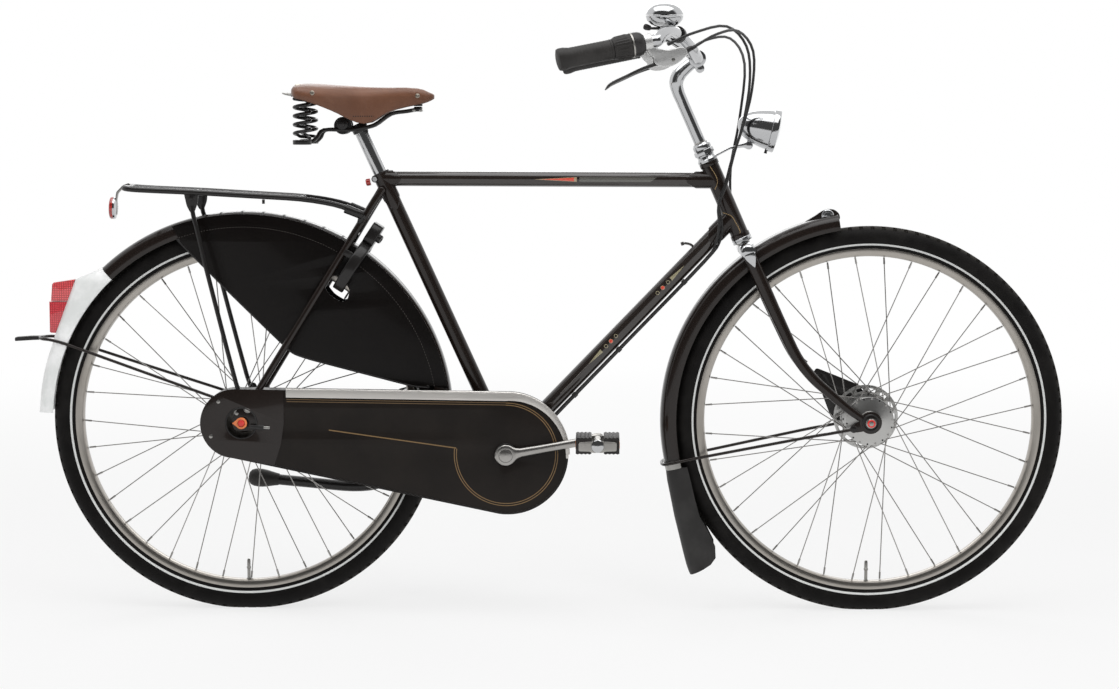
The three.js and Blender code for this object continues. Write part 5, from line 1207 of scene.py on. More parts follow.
def fork_end(side):
    low, high = across_span(side, FORK_END_LOW, FORK_END_HIGH)
    hole = ring_points(5.4, 24)
    shape = plate([ring_points(20.5, 48), hole], low, high, 1.2)
    add(shape, plate([softened(EAR, 5)], low + 0.6, high - 0.6, 0.8))
    return shifted(shape, *front_axle)


def crown_shape():
    """A bar across the top of the blades with rounded shoulders, arched over the mudguard."""
    stations = []
    for y, top, low, depth in [(-51.6, -10, -27, 10), (-50, -6, -30, 12.6), (-44, -2.4, -31, 14.2),
            (-33, -0.6, -27, 14.6), (-28, -0.4, -17, 14.8), (0, -0.4, -16.6, 15.2),
            (28, -0.4, -17, 14.8), (33, -0.6, -27, 14.6), (44, -2.4, -31, 14.2),
            (50, -6, -30, 12.6), (51.6, -10, -27, 10)]:
        middle = at(0, y, (top + low) / 2)
        stations.append((middle, at(depth, 0, 0), at(0, 0, (top - low) / 2)))
    return steered(loft(stations, 28))


TANG = [(-9.5, -20), (9.5, -20), (10.5, -28), (6, -38), (0, -50), (-6, -38), (-10.5, -28)]


def tangs():
    shape = bmesh.new()
    for side in (-1, 1):
        low, high = across_span(side, 49.4, 51.8)
        add(shape, steered(plate([softened(TANG, 4)], low, high, 0.9)))
    return shape


keep("fork_blades", add(fork_blade(-1), fork_blade(1), fork_end(-1), fork_end(1)),
    lacquer("fork_lacquer"), "steering", ["fork"])
keep("fork_crown", add(crown_shape(), tangs()), chrome, "steering", sharp=40)
keep("fork_steerer", rod(steer(0, 0, -2), steer(0, 0, 195), 12.7, sides=36), zinc, "steering")


# %% Front axle, brake arm and the coloured hub caps
FRONT_ARM = [(-97, 84), (-92, 91), (-54, 76), (-14, 60), (12, 28), (20, -6), (0, -22), (-30, -16),
    (-64, -2), (-80, 40)]
axle_set("front_axle_and_arm", front_axle, 50, 59.7, "front_axle", FRONT_ARM, 41.3, "steering",
    black_coat)


def fork_end_trim():
    """A black-coated ring and a red cap on each fork end, and the bolt in its ear."""
    rings, caps = bmesh.new(), bmesh.new()
    for side in (-1, 1):
        face = front_axle + across * side * (FORK_END_HIGH - 0.4) * MM
        out = face + across * side * MM
        add(rings, turned([(12.6, 0), (16.4, 0), (16.4, 1.8), (15.4, 2.6), (13.4, 2.6),
            (12.6, 1.8)], 48, face, out))
        ear = front_axle + at(-31.3, side * 56, -11.1)
        add(rings, rod(ear, ear + across * side * 6.2 * MM, 5.2, sides=6, rounding=0.6))
        top = front_axle + across * side * 67.6 * MM
        add(caps, turned([(0.01, 0), (7.4, 0), (7.4, 0.4), (6.2, 0.9), (0.01, 1)], 32,
            top - across * side * MM * 0.3, top + across * side * MM))
    keep("fork_end_rings", rings, black_coat, "steering")
    keep("front_hub_caps", caps, lens_red, "steering")


fork_end_trim()

# %% [markdown]
# ## Headset, stem and handlebar
# Everything above the head tube is chrome: the bearing cup, the lock nut with its flats, the
# thin lamp bracket under it and the swan-neck stem. The handlebar sweeps out and back to the
# rider, and follows the same route as the skeleton's bar.

# %% Headset and lamp bracket
BRACKET_OUTLINE = [(14, 163), (46, 165.5), (70, 158.5), (74.5, 152), (86, 152), (86, 163),
    (74, 165), (47, 169), (14, 166.5)]


def headset():
    profile = [(13.6, 160.2), (17.6, 160.2), (18.5, 161), (18.5, 165), (17.4, 166.4), (15.6, 170),
        (15.2, 171.6), (16.2, 172.2), (16.2, 174.2), (15.2, 174.8)]
    upper = [(13.6, 184.4), (14.6, 184.6), (16.4, 185.4), (16.8, 187), (16.8, 192), (16, 193.6),
        (14.5, 195.2), (13.6, 197)]
    shape = add(
        turned(profile + [(13.6, 174.8)], 48, up_head(0), up_head(1)),
        turned([(13.6, 174.8), (17.6, 174.8), (18.4, 175.6), (18.4, 182.8), (17.6, 184.2),
        (13.6, 184.2)], 8, up_head(0), up_head(1)), turned(upper, 48, up_head(0), up_head(1)),
    )
    local = plate([softened(BRACKET_OUTLINE, 4)], -7.5, 7.5, 0.5)
    add(shape, steered(local))
    pin = [steer(79.7, -7.6, 157.8), steer(79.7, 7.6, 157.8)]
    add(shape, rod(*pin, 4.6, sides=6, rounding=0.5))
    keep("headset_and_lamp_bracket", shape, chrome, "steering", ["upper_headset"])


headset()

# %% Stem
CLAMP = Vector((56, 0, 341))


def stem():
    neck = pipe(steers([(0, 0, 190), (0, 0, 240), (0, 0, 280), (0.5, 0, 302), (4, 0, 316),
        (14, 0, 327), (28, 0, 333), (46, 0, 338)]), 1, [10.8, 10.8, 10.9, 11.6, 12.8, 13, 12, 11],
        sides=8)
    cap = turned([(0.01, 30), (4, 30), (6.5, 29), (8.6, 26), (9.9, 20), (10.6, 10), (10.8, 0),
        (0.01, 0)], 40, steer(0, 0, 291), steer(0, 0, 292))
    clamp = rod(steer(56, -14, 341), steer(56, 14, 341), 16, sides=48, rounding=1.4)
    ears = plate([softened([(45, 332), (46, 318), (51, 314), (58, 315), (62, 320), (61, 334)], 4)],
        -8, 8, 1.2)
    bolt = [steer(52, -10.4, 321), steer(52, 10.4, 321)]
    shape = add(neck, cap, clamp, steered(ears), rod(*bolt, 4.2, sides=6, rounding=0.5))
    socket = rod(steer(0, 0, 320.6), steer(0, 0, 322.6), 4.4, sides=6)
    keep("stem_polished", add(shape, socket), chrome, "steering", ["stem"], 38)
    quill = rod(steer(0, 0, 50), steer(0, 0, 200), 10.8, sides=36)
    keep("stem_quill", quill, satin_alloy, "steering")


stem()

# %% Handlebar
GRIP_START, GRIP_END = Vector((-49, 263, 407)), Vector((-171.5, 290, 434))
GRIP_LENGTH = (GRIP_START - GRIP_END).length
BAR_AXIS = at(0, 0, 0), at(1, 0, 0)
grip_line = (GRIP_START - GRIP_END).normalized()
BAR_OFFSETS = [(0, 20, 0), (-3, 50, 10), (-9, 110, 31), (-22, 165, 54), (-34, 203, 63),
    (-49, 235, 62)]


def half_bar():
    """The bar's route from the clamp to the left end, in the steering frame."""
    route = [CLAMP + Vector(offset) for offset in BAR_OFFSETS]
    route += [GRIP_START + grip_line * 46, GRIP_START + grip_line * 34]
    return route + [GRIP_START.lerp(GRIP_END, 0.3), GRIP_END]


def handlebar():
    left = half_bar()
    places = through([*mirrored(reversed(left)), CLAMP, *left], 6)
    shape = pipe([steer(*p) for p in places], 11.1, sides=8, steps=1)
    sleeve = rod(steer(56, -17.5, 341), steer(56, 17.5, 341), 12.4, sides=40, rounding=1)
    keep("handlebar_polished", add(shape, sleeve), chrome, "steering", ["handlebar"])


handlebar()

# %% [markdown]
# ## Grips, gear shifter and brake levers
# Both grips lie in frames of their own whose X axis runs forward along the bar. The grips are
# soft rubber with fine rings. The right one is shorter, because the ribbed shifter turns in front
# of it. The lever bodies are silver castings clamped to the bar, with a black-coated blade.

# %% Frames of the two grips
def grip_frame(side):
    forward = Vector((grip_line.x, side * grip_line.y, grip_line.z))
    left = Vector((0, 0, 1)).cross(forward).normalized()
    up = forward.cross(left)
    start = at(GRIP_START.x, side * GRIP_START.y, GRIP_START.z)
    return STEERING @ frame_of(start, forward, left, up)


def in_grip(side, shape):
    return moved(shape, grip_frame(side))


def along_bar(profile, steps, side):
    """A turned piece on the bar, from (radius, x) points in the grip's frame."""
    return in_grip(side, turned(profile, steps, *BAR_AXIS))


def ringed(first, last, radius, pitch, depth):
    """A run of shallow rounded rings, as profile points from first to last."""
    points = []
    count = int(abs(last - first) / pitch)
    for number in range(count):
        place = first + (last - first) * number / count
        step = (last - first) / count
        points += [(radius - depth, place), (radius, place + step * 0.3),
            (radius, place + step * 0.75)]
    return points


def grip(side, start, node):
    end = -GRIP_LENGTH
    body = ringed(start - 4, end + 22, 17.4, 5.2, 0.4)
    outline = [
        (11.8, start), (17.6, start), (17.8, start - 3), *body, (17.4, end + 18), (18.6, end + 12),
        (19.5, end + 8), (19.6, end), (18.4, end - 3.4), (13, end - 5), (5, end - 5.4),
        (0.01, end - 5.5),
    ]
    keep(node + "_rubber", along_bar(outline + [(0.01, end - 1.5), (11.8, end - 1.5)], 48, side),
        rubber, "steering", [node])


grip(-1, -35, "right_grip")
grip(1, 20, "left_grip")


def twist_shifter():
    """The turning sleeve: its ribs are rows of faces, pushed out by scaling round the bar."""
    outline = [(11.8, -34), (17.6, -34), (18.6, -32), (19.6, -28), (20.6, -9), (21, -6), (21, -2),
        (11.8, -2)]
    shape = turned(outline, 96, *BAR_AXIS)
    for vert in shape.verts:
        angle = math.atan2(vert.co.z, vert.co.y)
        middle = -31 * MM < vert.co.x < -8 * MM
        if middle and math.hypot(vert.co.y, vert.co.z) > 0.014 and cos(angle * 24) > 0:
            vert.co.y *= 1.05
            vert.co.z *= 1.05
    keep("shifter_sleeve", in_grip(-1, shape), rubber, "shifter", ["twist_shifter"])


def shifter_housing():
    """The fixed housing with the gear window, a silver band and the cable's exit."""
    house = along_bar([(11.6, -1.4), (20.6, -1.4), (21.4, 0), (21.6, 4), (21.2, 12), (19.6, 17),
        (16.4, 20.4), (11.6, 20.4)], 48, -1)
    keep("shifter_housing", house, black_plastic, "steering")
    strip = along_bar([(20, -1.3), (21.7, -1.3), (21.9, -0.9), (21.9, 1.1), (21.7, 1.5),
        (20, 1.5)], 48, -1)
    keep("shifter_band", strip, satin_alloy, "steering")


twist_shifter()
shifter_housing()

# %% Lever bodies and blades
LEVER_BODY = [(22, -8), (34, -9), (42, -15), (62, -21), (84, -19), (92, -24), (93, -33), (82, -41),
    (66, -48), (50, -48), (38, -44), (31, -38), (34, -30), (27, -22)]
BOW = [(65, 0, -38.5), (40, 0, -39), (10, 0, -43), (-20, 0, -50), (-48, 0, -57), (-60, 0, -64)]
lever_alloy = polished("lever_alloy", (0.74, 0.74, 0.73, 1), 0.42)


def lever_body(side, node):
    clamp = [(11.8, 20.8), (14.2, 20.8), (15.4, 22), (15.6, 33), (14.6, 35), (11.8, 35)]
    shape = turned(clamp, 48, *BAR_AXIS)
    for low in (5.6, -9):
        add(shape, plate([softened(LEVER_BODY, 6, 4)], low, low + 3.4, 1.2))
    add(shape, plate([softened([(26, -10), (38, -12), (58, -20), (80, -19), (90, -25), (90, -31),
        (80, -31), (62, -29), (44, -24), (30, -20)], 3)], -6.4, 6.4, 0.4))
    keep(node + "_casting", in_grip(side, shape), lever_alloy, "steering", [node], 36)
    pin = rod(at(65, -9.6, -38.5), at(65, 9.6, -38.5), 3.4, sides=20, rounding=0.4)
    add(pin, rod(at(28, -6, -15), at(28, 6, -15), 2.6, sides=6))
    keep(node + "_pivot", in_grip(side, pin), zinc, "steering")
    boot = turned([(0.01, 0), (5.6, 0), (5.8, 2), (5.2, 4), (5.5, 6), (4.9, 8), (4.4, 15),
        (3.2, 19), (0.01, 19)], 24, at(87, 0, -29), at(103, 0, -24))
    keep(node + "_boot", in_grip(side, boot), black_plastic, "steering")


def lever_blade(side, node, body):
    places = through([Vector(p) for p in BOW], 5)
    stations = []
    for number, place in enumerate(places):
        share = number / (len(places) - 1)
        ahead = places[min(number + 1, len(places) - 1)] - places[max(number - 1, 0)]
        up = ahead.cross(across).normalized()
        wide = 4.8 + 3.2 * min(1, max(0, (share - 0.2) / 0.25))
        tip = 1 if share < 0.9 else max(0.35, 1 - (share - 0.9) * 6)
        thick = (3.6 - share) * (1 if share > 0.05 else 0.8)
        stations.append((place * MM, up * thick * tip * MM, across * wide * tip * MM))
    shape = loft(stations, 20)
    add(shape, rod(at(65, -4.6, -38.5), at(65, 4.6, -38.5), 7, sides=28, rounding=0.8))
    keep(node + "_blade", in_grip(side, shape), black_coat, body, [node], 45)


lever_body(-1, "right_lever_body")
lever_body(1, "left_lever_body")
lever_blade(-1, "right_brake_lever", "brake_lever_right")
lever_blade(1, "left_brake_lever", "brake_lever_left")

# %% [markdown]
# ## Bell and headlamp
# The bell is two polished domes on a post, with a thumb lever between its foot and the lower one.
# The lamp is a bullet of chromed steel with a beaded rim and a glass whose ribs spread the light.
# Both are turned parts, so each is one profile and one spin.

# %% Bell
bell_foot = Vector(joints["bell_ring"]["pos_m"])


def bell():
    low = bell_foot + Vector((0, 0, -0.011))
    centre = low.z + 0.034
    dome = [(0.01, 21.4), (6, 21.2), (12, 20.5), (18, 19), (23.6, 16.4), (28, 12.6), (31, 8.4),
        (32.6, 4.4), (33, 1.8), (33, 0.7), (31.6, 0.6), (8.2, 0.6), (8, 0)]
    lower = [(radius, -y) for radius, y in reversed(dome)]
    base = Vector((low.x, low.y, centre))
    shape = turned(dome + lower, 72, base, base + Vector((0, 0, MM)))
    add(shape, rod(base + Vector((0, 0, -0.031)), base + Vector((0, 0, -0.018)), 4.4, sides=24,
        rounding=0.5))
    add(shape, turned([(0.01, 2.6), (2.4, 2.4), (4, 1.2), (4.3, 0), (0.01, 0)], 24,
        base + Vector((0, 0, 0.0204)), base + Vector((0, 0, 0.0214))))
    keep("bell_domes", shape, chrome, "steering", ["bell"], 50)
    grip_place = low + Vector((0.024, 0, 0))
    route = through(steers(mirrored(half_bar()[:7])), 10)
    near = min(range(len(route)), key=lambda i: (route[i] - grip_place).length)
    line = (route[near + 1] - route[near - 1]).normalized() * MM
    clip = turned([(11.3, -5), (14, -5), (14.6, -4.2), (14.6, 4.2), (14, 5), (11.3, 5)], 40,
        grip_place, grip_place + line)
    add(clip, rod(grip_place + Vector((-0.012, 0, 0.003)), low + Vector((-0.004, 0, 0.003)), 4,
        sides=20, rounding=0.6))
    keep("bell_clip", clip, black_plastic, "steering")


def bell_thumb():
    collar = turned([(5.4, -1.3), (8.6, -1.3), (9.1, -0.8), (9.1, 0.8), (8.6, 1.3), (5.4, 1.3)],
        36, bell_foot, bell_foot + Vector((0, 0, MM)))
    tip = bell_foot + Vector((-0.025, 0, 0))
    add(collar, rod(bell_foot + Vector((-0.0075, 0, 0)), tip, 2.6, 2.2, 16))
    knob = turned([(0.01, 0), (3.2, 0), (4.6, 2), (5.2, 5), (5.6, 9), (4.6, 12.4), (2.6, 13.6),
        (0.01, 13.9)], 28, tip + Vector((0.001, 0, 0)), tip + Vector((-0.013, 0, 0.004)))
    keep("bell_thumb_lever", add(collar, knob), black_plastic, "bell_thumb", ["bell_lever"])


bell()
bell_thumb()

# %% Headlamp
LAMP_RIM, LAMP_LINE = Vector((0.9782, 0, 0.5305)), Vector((0.9763, 0, -0.2164))


def lamp_glass():
    """Clear glass over a bright reflector, with upright ribs that spread the beam; the ribs'
    light and dark stripes are painted reflection.
    """
    glass = Finish("lamp_glass")
    ribs = (glass.y * 1900).math("SINE")
    cells = glass.noise(240, 2)
    # Painted reflection: each rib goes from dark to bright across its width.
    shade = glass.mix(ribs.step(-1, 1), (0.5, 0.53, 0.55, 1), (0.86, 0.88, 0.88, 1))
    return glass.surface(Base_Color=shade, Metallic=0.75, Roughness=0.16 + cells * 0.1,
        Normal=glass.bump(ribs, 0.0008, 0.6), Coat_Weight=1, Coat_Roughness=0.02)


def headlamp():
    base, line = LAMP_RIM, LAMP_RIM + LAMP_LINE * MM
    shell = [
        (0.01, -73), (4, -72.8), (8, -71.8), (13, -69), (18, -64.6), (22.4, -59), (26.4, -52),
        (29.8, -44), (32.6, -35), (34.8, -26), (36.2, -18), (36.9, -12.5), (38.6, -12),
        (39.4, -10.8), (39.6, -6), (39.9, -1.2), (39.2, 0), (37.2, 0.4), (36.2, -0.4),
        (35.6, -2.6), (0.01, -2.6),
    ]
    body = turned(shell, 72, base, line)
    foot = rod(LAMP_RIM + LAMP_LINE * -0.05 + Vector((0, 0, -0.02)), steer(79.7, 0, 157.8), 5.4,
        4.2, sides=24)
    eye = rod(steer(79.7, -4.2, 157.8), steer(79.7, 4.2, 157.8), 7.4, sides=32, rounding=0.6)
    downward = Vector((LAMP_LINE.z, 0, -LAMP_LINE.x))
    peg_top = LAMP_RIM + LAMP_LINE * -0.012 + downward * 0.036
    keep("headlamp_shell", add(body, foot, eye), chrome, "lamp", ["headlamp"], 40)
    keep("headlamp_switch", rod(peg_top, peg_top + downward * 0.008, 2, 2.9, 20), black_plastic,
        "lamp")
    front = turned([(35.8, -2.4), (35.6, -0.6), (30, 1.2), (21, 3.4), (10, 4.7), (0.01, 5),
        (0.01, -2.4)], 60, base, line)
    keep("headlamp_glass", front, lamp_glass(), "lamp")


headlamp()

# %% [markdown]
# ## Cables
# Three outer casings run from the levers and the shifter. The front one stays with the fork. The
# other two loop in front of the head tube and go under the down tube, and hang on no body.

# %% Cable routes
CABLE_RADIUS = 2.5
CABLE_REACH = 21.6
REAR_BRAKE_HIGH = [(46, -242, 361), (95, -208, 366), (136, -140, 356), (150, -78, 312),
    (122, -42, 248), (78, -30, 190), (42, -26, 150), (12, -26, 112), (-14, -25, 84)]
REAR_BRAKE_LOW = [(525.5, -4, -46), (510, 1, -75), (483, 6, -86), (452, 16, -78), (400, 30, -65),
    (280, 33.2, -49), (238, 33.2, -46), (180, 45, -43), (140, 54, -41), (124, 57.3, -40)]
SHIFT_HIGH = [(12, -252, 384), (60, -226, 384), (120, -150, 372), (142, -88, 326), (126, -55, 268),
    (88, -38, 205), (48, -32, 156), (14, -32, 112), (-16, -31, 80)]
SHIFT_LOW = [(529, -12, -48), (511, -13, -76), (482, -15, -86), (452, -18, -79), (400, -26, -66),
    (250, -36, -50), (150, -48, -38), (100, -54, -31), (62, -57, -20)]
FRONT_BRAKE = [
    (46, 242, 361), (95, 208, 366), (134, 140, 350), (136, 80, 296), (84, 48, 205), (34, 44, 130),
    (4, 48, 50), (-3, 58, -40), (-2, 61, -140), (6, 59, -210), (15, 52, -244), (21, 47, -258),
]


def under_down_tube(share, y):
    """A place where a cable lies against the underside of the down tube."""
    line = (down_high - bracket).normalized()
    reach = math.sqrt(CABLE_REACH**2 - y**2) * MM
    place = bracket.lerp(down_high, share)
    return place + Vector((line.z * reach, y * MM, -line.x * reach))


def casing_run(name, places, node, body=None):
    run = through(places, 4)
    print(name, "is", round(sum((b - a).length for a, b in zip(run, run[1:])), 3), "m long")
    shape = pipe(run, CABLE_RADIUS, sides=4, steps=1)
    first, second = places[0], places[1]
    ferrule = turned([(0.01, -3), (3.1, -3), (3.4, -2), (3.4, 7), (2.7, 8), (0.01, 8)], 20, first,
        first + (second - first).normalized() * MM)
    mesh = add(shape, ferrule)
    if body:
        keep(name, mesh, casing, body, [node])
    else:
        made = keep(name, mesh, casing, None, [node])
        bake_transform(made)


def frame_cable(name, node, high, joints_at, y, low):
    places = steers(high) + metres(joints_at)
    places += [under_down_tube(share, y) for share in (0.84, 0.5, 0.15)] + metres(low)
    casing_run(name, places, node, None)


frame_cable("rear_brake_casing", "rear_brake_cable", REAR_BRAKE_HIGH,
    [(877, -26, 364), (874, -22, 331)], -5, REAR_BRAKE_LOW)
frame_cable("shift_casing", "shift_cable", SHIFT_HIGH, [(872, -31, 360), (866, -26, 326)], -11,
    SHIFT_LOW)
casing_run("front_brake_casing", steers(FRONT_BRAKE), "front_brake_cable", "steering")

# %% [markdown]
# ## Mudguards
# The guards are rolled steel with a flat crown and turned-in edges, spun part of the way round
# each wheel. The rear one ends in a white plastic tail whose hump holds the rear lamp, and the
# front one carries a slim dark fin on its nose and a rubber flap at its lower end.

# %% Guard section and arcs
GUARD_OUTER = [(355.4, 28.8), (354.8, 29.4), (355.8, 30.2), (362, 30.6), (369, 30), (374.6, 27.6),
    (378.8, 23.6), (382, 17.6), (383.6, 10.6), (384, 3.6)]
STRAPS = (61.4, 67.2, 72.8, 78.6, 84.4, 90.2, 96, 100.6)


def guard_profile(rise=0):
    raised = [(radius + rise, y + rise) for radius, y in GUARD_OUTER]
    outer = both_sides(raised)
    inner = [(radius - 1.4, y * 0.955) for radius, y in raised[3:]]
    return outer + [(radius, -y) for radius, y in inner] + list(reversed(inner))


def guard_arc(start, end, centre, rise=0):
    shape = spun(guard_profile(rise), max(2, int((end - start) * 1.2)), end - start, start)
    return shifted(shape, *centre)


def skinned(rings, closed_ends=True):
    """A skin over rings of places in metres, bridged one to the next."""
    shape = bmesh.new()
    loops = []
    for ring in rings:
        corners = [shape.verts.new(place) for place in ring]
        loops.append([shape.edges.new(pair) for pair in zip(corners, corners[1:] + corners[:1])])
    for first, second in zip(loops, loops[1:]):
        bmesh.ops.bridge_loops(shape, edges=first + second)
    if closed_ends:
        bmesh.ops.contextual_create(shape, geom=loops[0])
        bmesh.ops.contextual_create(shape, geom=loops[-1])
    bmesh.ops.recalc_face_normals(shape, faces=shape.faces)
    return shape


def round_wheel(angle, radius, y, centre=rear_axle):
    aim = radians(angle)
    return centre + at(radius * cos(aim), y, radius * sin(aim))


guard_paint = lacquer("guard_lacquer")
keep("rear_guard", guard_arc(8, 133, rear_axle), guard_paint, "frame", ["rear_mudguard"], 40)
keep("front_guard", guard_arc(99, 193.5, front_axle), guard_paint, "steering", ["front_mudguard"],
    40)
straps = bmesh.new()
for angle in STRAPS:
    add(straps, guard_arc(angle, angle + 0.6, rear_axle, 0.4))
keep("skirt_straps", straps, black_plastic)
keep("front_guard_band", guard_arc(191.7, 194.2, front_axle, 1), zinc, "steering")

# %% White tail, its hump and the lamp
HUMP = [(133.1, 0.4), (135, 4), (137, 10), (139, 17), (140.5, 22.4), (142.5, 18), (145, 13),
    (147.8, 8.6), (151, 4.5), (155.6, 1.5), (158, 0.4), (178, 0.4)]
LAMP_BLOCKS = [([(-313.5, 258.6), (-352.4, 252.8), (-355.4, 249.6), (-358, 218.6), (-322, 218.6)],
    16.5), ([(-322, 217.4), (-361, 217.4), (-361, 162), (-359, 159.8), (-349.6, 159.6)], 17.5)]
OVAL_SHARES = [(0, 1), (0.22, 1), (0.52, 0.95), (0.76, 0.84), (0.94, 0.6), (1, 0.25), (1, -0.25),
    (0.94, -0.6), (0.76, -0.84), (0.52, -0.95), (0.22, -1), (0, -1)]


tail_red = prism_lens("tail_reflector_lens", (0.74, 0.05, 0.07, 1), 0.0034)


def tail():
    rings = []
    for angle, rise in HUMP:
        rings.append([round_wheel(angle, 364 + share * (20 + rise), side * 30.4) for share,
            side in OVAL_SHARES])
    shape = add(guard_arc(133.1, 178, rear_axle), skinned(rings))
    keep("white_tail", shape, white_plastic, "frame", ["rear_mudguard_tail"], 44)
    blocks = [plate([outline], -half, half, 1.6) for outline, half in LAMP_BLOCKS]
    keep("tail_lamp_lens", blocks[0], red_lens, "frame", ["tail_lamp"], 50)
    keep("tail_reflector", blocks[1], tail_red, sharp=50)


tail()


def rear_stay():
    """One wire from dropout to dropout round the guard, flattened to an eye at each end."""
    half = [(-8, 63.4, 31), (-40, 61, 41.5), (-72, 58, 52.3), (-276, 34.6, 122), (-330, 33.6, 141),
        (-356, 33.4, 148), (-374, 25.6, 149.5)]
    route = metres(half + [(-383, 0, 150)] + [(x, -y, z) for x, y, z in reversed(half)])
    shape = pipe(through(route, 4), 2.9, sides=4, steps=1)
    tab = [(18.5, 21), (18.5, 31), (-8.5, 37), (-10.5, 29), (8.5, 18)]
    for side in (-1, 1):
        low, high = across_span(side, 62.2, 64.7)
        add(shape, plate([softened(tab, 4)], low, high, 0.4))
    keep("rear_guard_stay", shape, guard_paint, "frame", ["rear_mudguard_stay"])
    blade = [(-428, 143.4), (-428, 150.4), (-398, 152.6), (-376, 152.6), (-376, 146.2),
        (-396, 145.4)]
    keep("tail_tab", plate([softened(blade, 2)], -8.6, 8.6, 0.8), black_plastic)


def dropout_bolts():
    """The bright bolts that hold the stays and the stand at the dropouts."""
    shape = bmesh.new()
    for x, z, out, radius in [(11.5, 26, 77.6, 5.4), (-9, 17, 71.6, 3.6), (262, -106, 69.6, 4.6)]:
        for side in (-1, 1) if x < 100 else (1,):
            inner = at(x, side * (out - 9), z)
            outer = at(x, side * out, z)
            add(shape, rod(inner, outer, radius, sides=6, rounding=0.6))
            add(shape, rod(outer - across * side * 5.2 * MM, outer - across * side * 4.4 * MM,
                radius + 2.2, sides=28))
    keep("dropout_bolts", shape, zinc)


rear_stay()
dropout_bolts()

# %% Fin on the front guard
FIN = [(1003, 347), (1030, 365), (1050, 377), (1061, 385), (1072, 389), (1084, 388), (1093, 381),
    (1095.4, 371), (1090, 365), (1086, 366), (1086, 372), (1060, 369), (1030, 357)]
FIN_EYE = (1072, 376)


def fin():
    keep("guard_fin", plate([softened(FIN, 4)], -5, 5, 1.4, steps=3), guard_paint, "steering",
        sharp=60)
    x, z = FIN_EYE
    eye = [(0.01, 0), (11.4, 0), (11.8, 1), (10.4, 2.4), (7.6, 2.6), (6.6, 1.2), (4, 2.2),
        (0.01, 2.8)]
    studs = bmesh.new()
    for side in (-1, 1):
        foot = at(x, side * 4.4, z)
        add(studs, turned(eye, 40, foot, foot + across * side * MM))
    keep("guard_fin_studs", studs, chrome, "steering")


fin()


# %% Flap and front stay
FLAP_RUN = [
    (-373.4, -89.6, -334, -86, 31.8), (-370, -116, -327, -114, 32.2),
    (-363, -150, -319, -148, 33.4), (-357, -180, -311, -177, 34.8), (-349, -212, -296, -204, 36),
    (-341, -245, -282, -232, 37), (-334.5, -270, -281, -254, 37.6), (-330, -283, -290, -267, 37),
    (-327, -289.4, -303, -276, 36),
]
FLAP_SHARES = [(1, 1), (0.8, 0.985), (0.6, 0.95), (0.35, 0.84), (0.15, 0.68), (0.04, 0.48),
    (0, 0.25)]


def flap():
    """A rubber flap, hollow on the wheel's side, that widens downwards and ends in a point."""
    outer = both_sides(FLAP_SHARES)
    inner = [(0.07 + share * 0.93, side * 0.93) for share, side in FLAP_SHARES]
    section = outer + [(share, -side) for share, side in inner] + list(reversed(inner))
    rings = []
    for back_x, back_z, fore_x, fore_z, half in FLAP_RUN:
        rings.append([front_axle
            + at(back_x + (fore_x - back_x) * share, side * half,
            back_z + (fore_z - back_z) * share) for share, side in section])
    keep("front_flap", skinned(rings), moulded("flap_rubber", (0.015, 0.014, 0.0135, 1), 0.42),
        "steering", ["mudguard_flap"], 46)


def front_stay():
    half = [(-34, 59, -12), (-76, 57, -20), (-120, 54, -28)]
    half = [front_axle + Vector(p) * MM for p in half]
    half += [round_wheel(192.2, radius, y, front_axle) for y,
        radius in [(37, 318), (36, 350), (34.5, 371), (31, 383.9), (16, 388.8)]]
    route = half + [round_wheel(192.2, 389.2, 0, front_axle)] + list(reversed(mirrored(half)))
    shape = pipe(through(route, 4), 2.9, sides=4, steps=1)
    for side in (-1, 1):
        low, high = across_span(side, 56.7, 59.2)
        eye = front_axle + at(-31.3, 0, -11.1)
        add(shape, turned([(0.01, low), (6.9, low), (6.9, high), (0.01, high)], 28, eye,
            eye + across * MM))
    keep("front_guard_stay", shape, guard_paint, "steering", ["front_mudguard_stay"])


flap()
front_stay()

# %% [markdown]
# ## Skirt guards and carrier
# The skirt guards are lacquered cloth, stiff and shiny, sewn round their edge. They are thin
# plates with one cut-out. The carrier is one bent tube with a strut and a bracket on each side.

# %% Skirt guards
def coated_cloth(name, colour, edges=None, rough=0.13):
    """Lacquered cloth: a fine weave under a thick gloss coat."""
    cloth = Finish(name)
    warp = (cloth.x * 5200).math("SINE")
    weft = (cloth.z * 5200).math("SINE")
    weave = warp * weft
    sag = cloth.noise(7, 3)
    lighter = tinted(colour, 1.35, 1.33, 1.3)
    tint = cloth.mix(cloth.noise(16, 4).step(0.3, 0.75), colour, lighter)
    relief = cloth.bump(weave * 0.35 + sag * 6, 0.00022, 0.5)
    for mask, tone in edges(cloth) if edges else ():
        tint = cloth.mix(mask, tint, tone)
    return cloth.surface(Base_Color=tint, Roughness=rough + weave * 0.03 + sag * 0.12,
        Normal=relief, Coat_Weight=0.08, Coat_Roughness=0.08, Specular_IOR_Level=0.12)


def seam_marks(cloth):
    """Stitches that follow the guard's curve near the rim of the skirt."""
    radius = radius_from(cloth, rear_axle)
    angle = cloth.z.math("ARCTAN2", cloth.x)
    line = 1 - abs(radius - 0.356).step(0.0004, 0.0007)
    yield line * (angle * 420).math("SINE").step(0, 0.3), (0.06, 0.055, 0.05, 1)


skirt_cloth = coated_cloth("skirt_cloth", (0.0032, 0.0024, 0.0021, 1), seam_marks)
SKIRT_EDGE = 380
SKIRT_LOW = [(-124, 336), (-30, 240), (40, 171), (89.9, 123.1), (120, 113), (200, 92), (312, 63),
    (345, 60)]
SKIRT_SLOT = [(151, 256), (150, 244), (162, 229), (180, 218), (191, 222), (196, 240), (184, 262),
    (168, 268)]
LOCK_NOTCH = [(226.8, 306.1), (223.3, 300.7), (206.4, 311.5), (210.5, 317.8)]


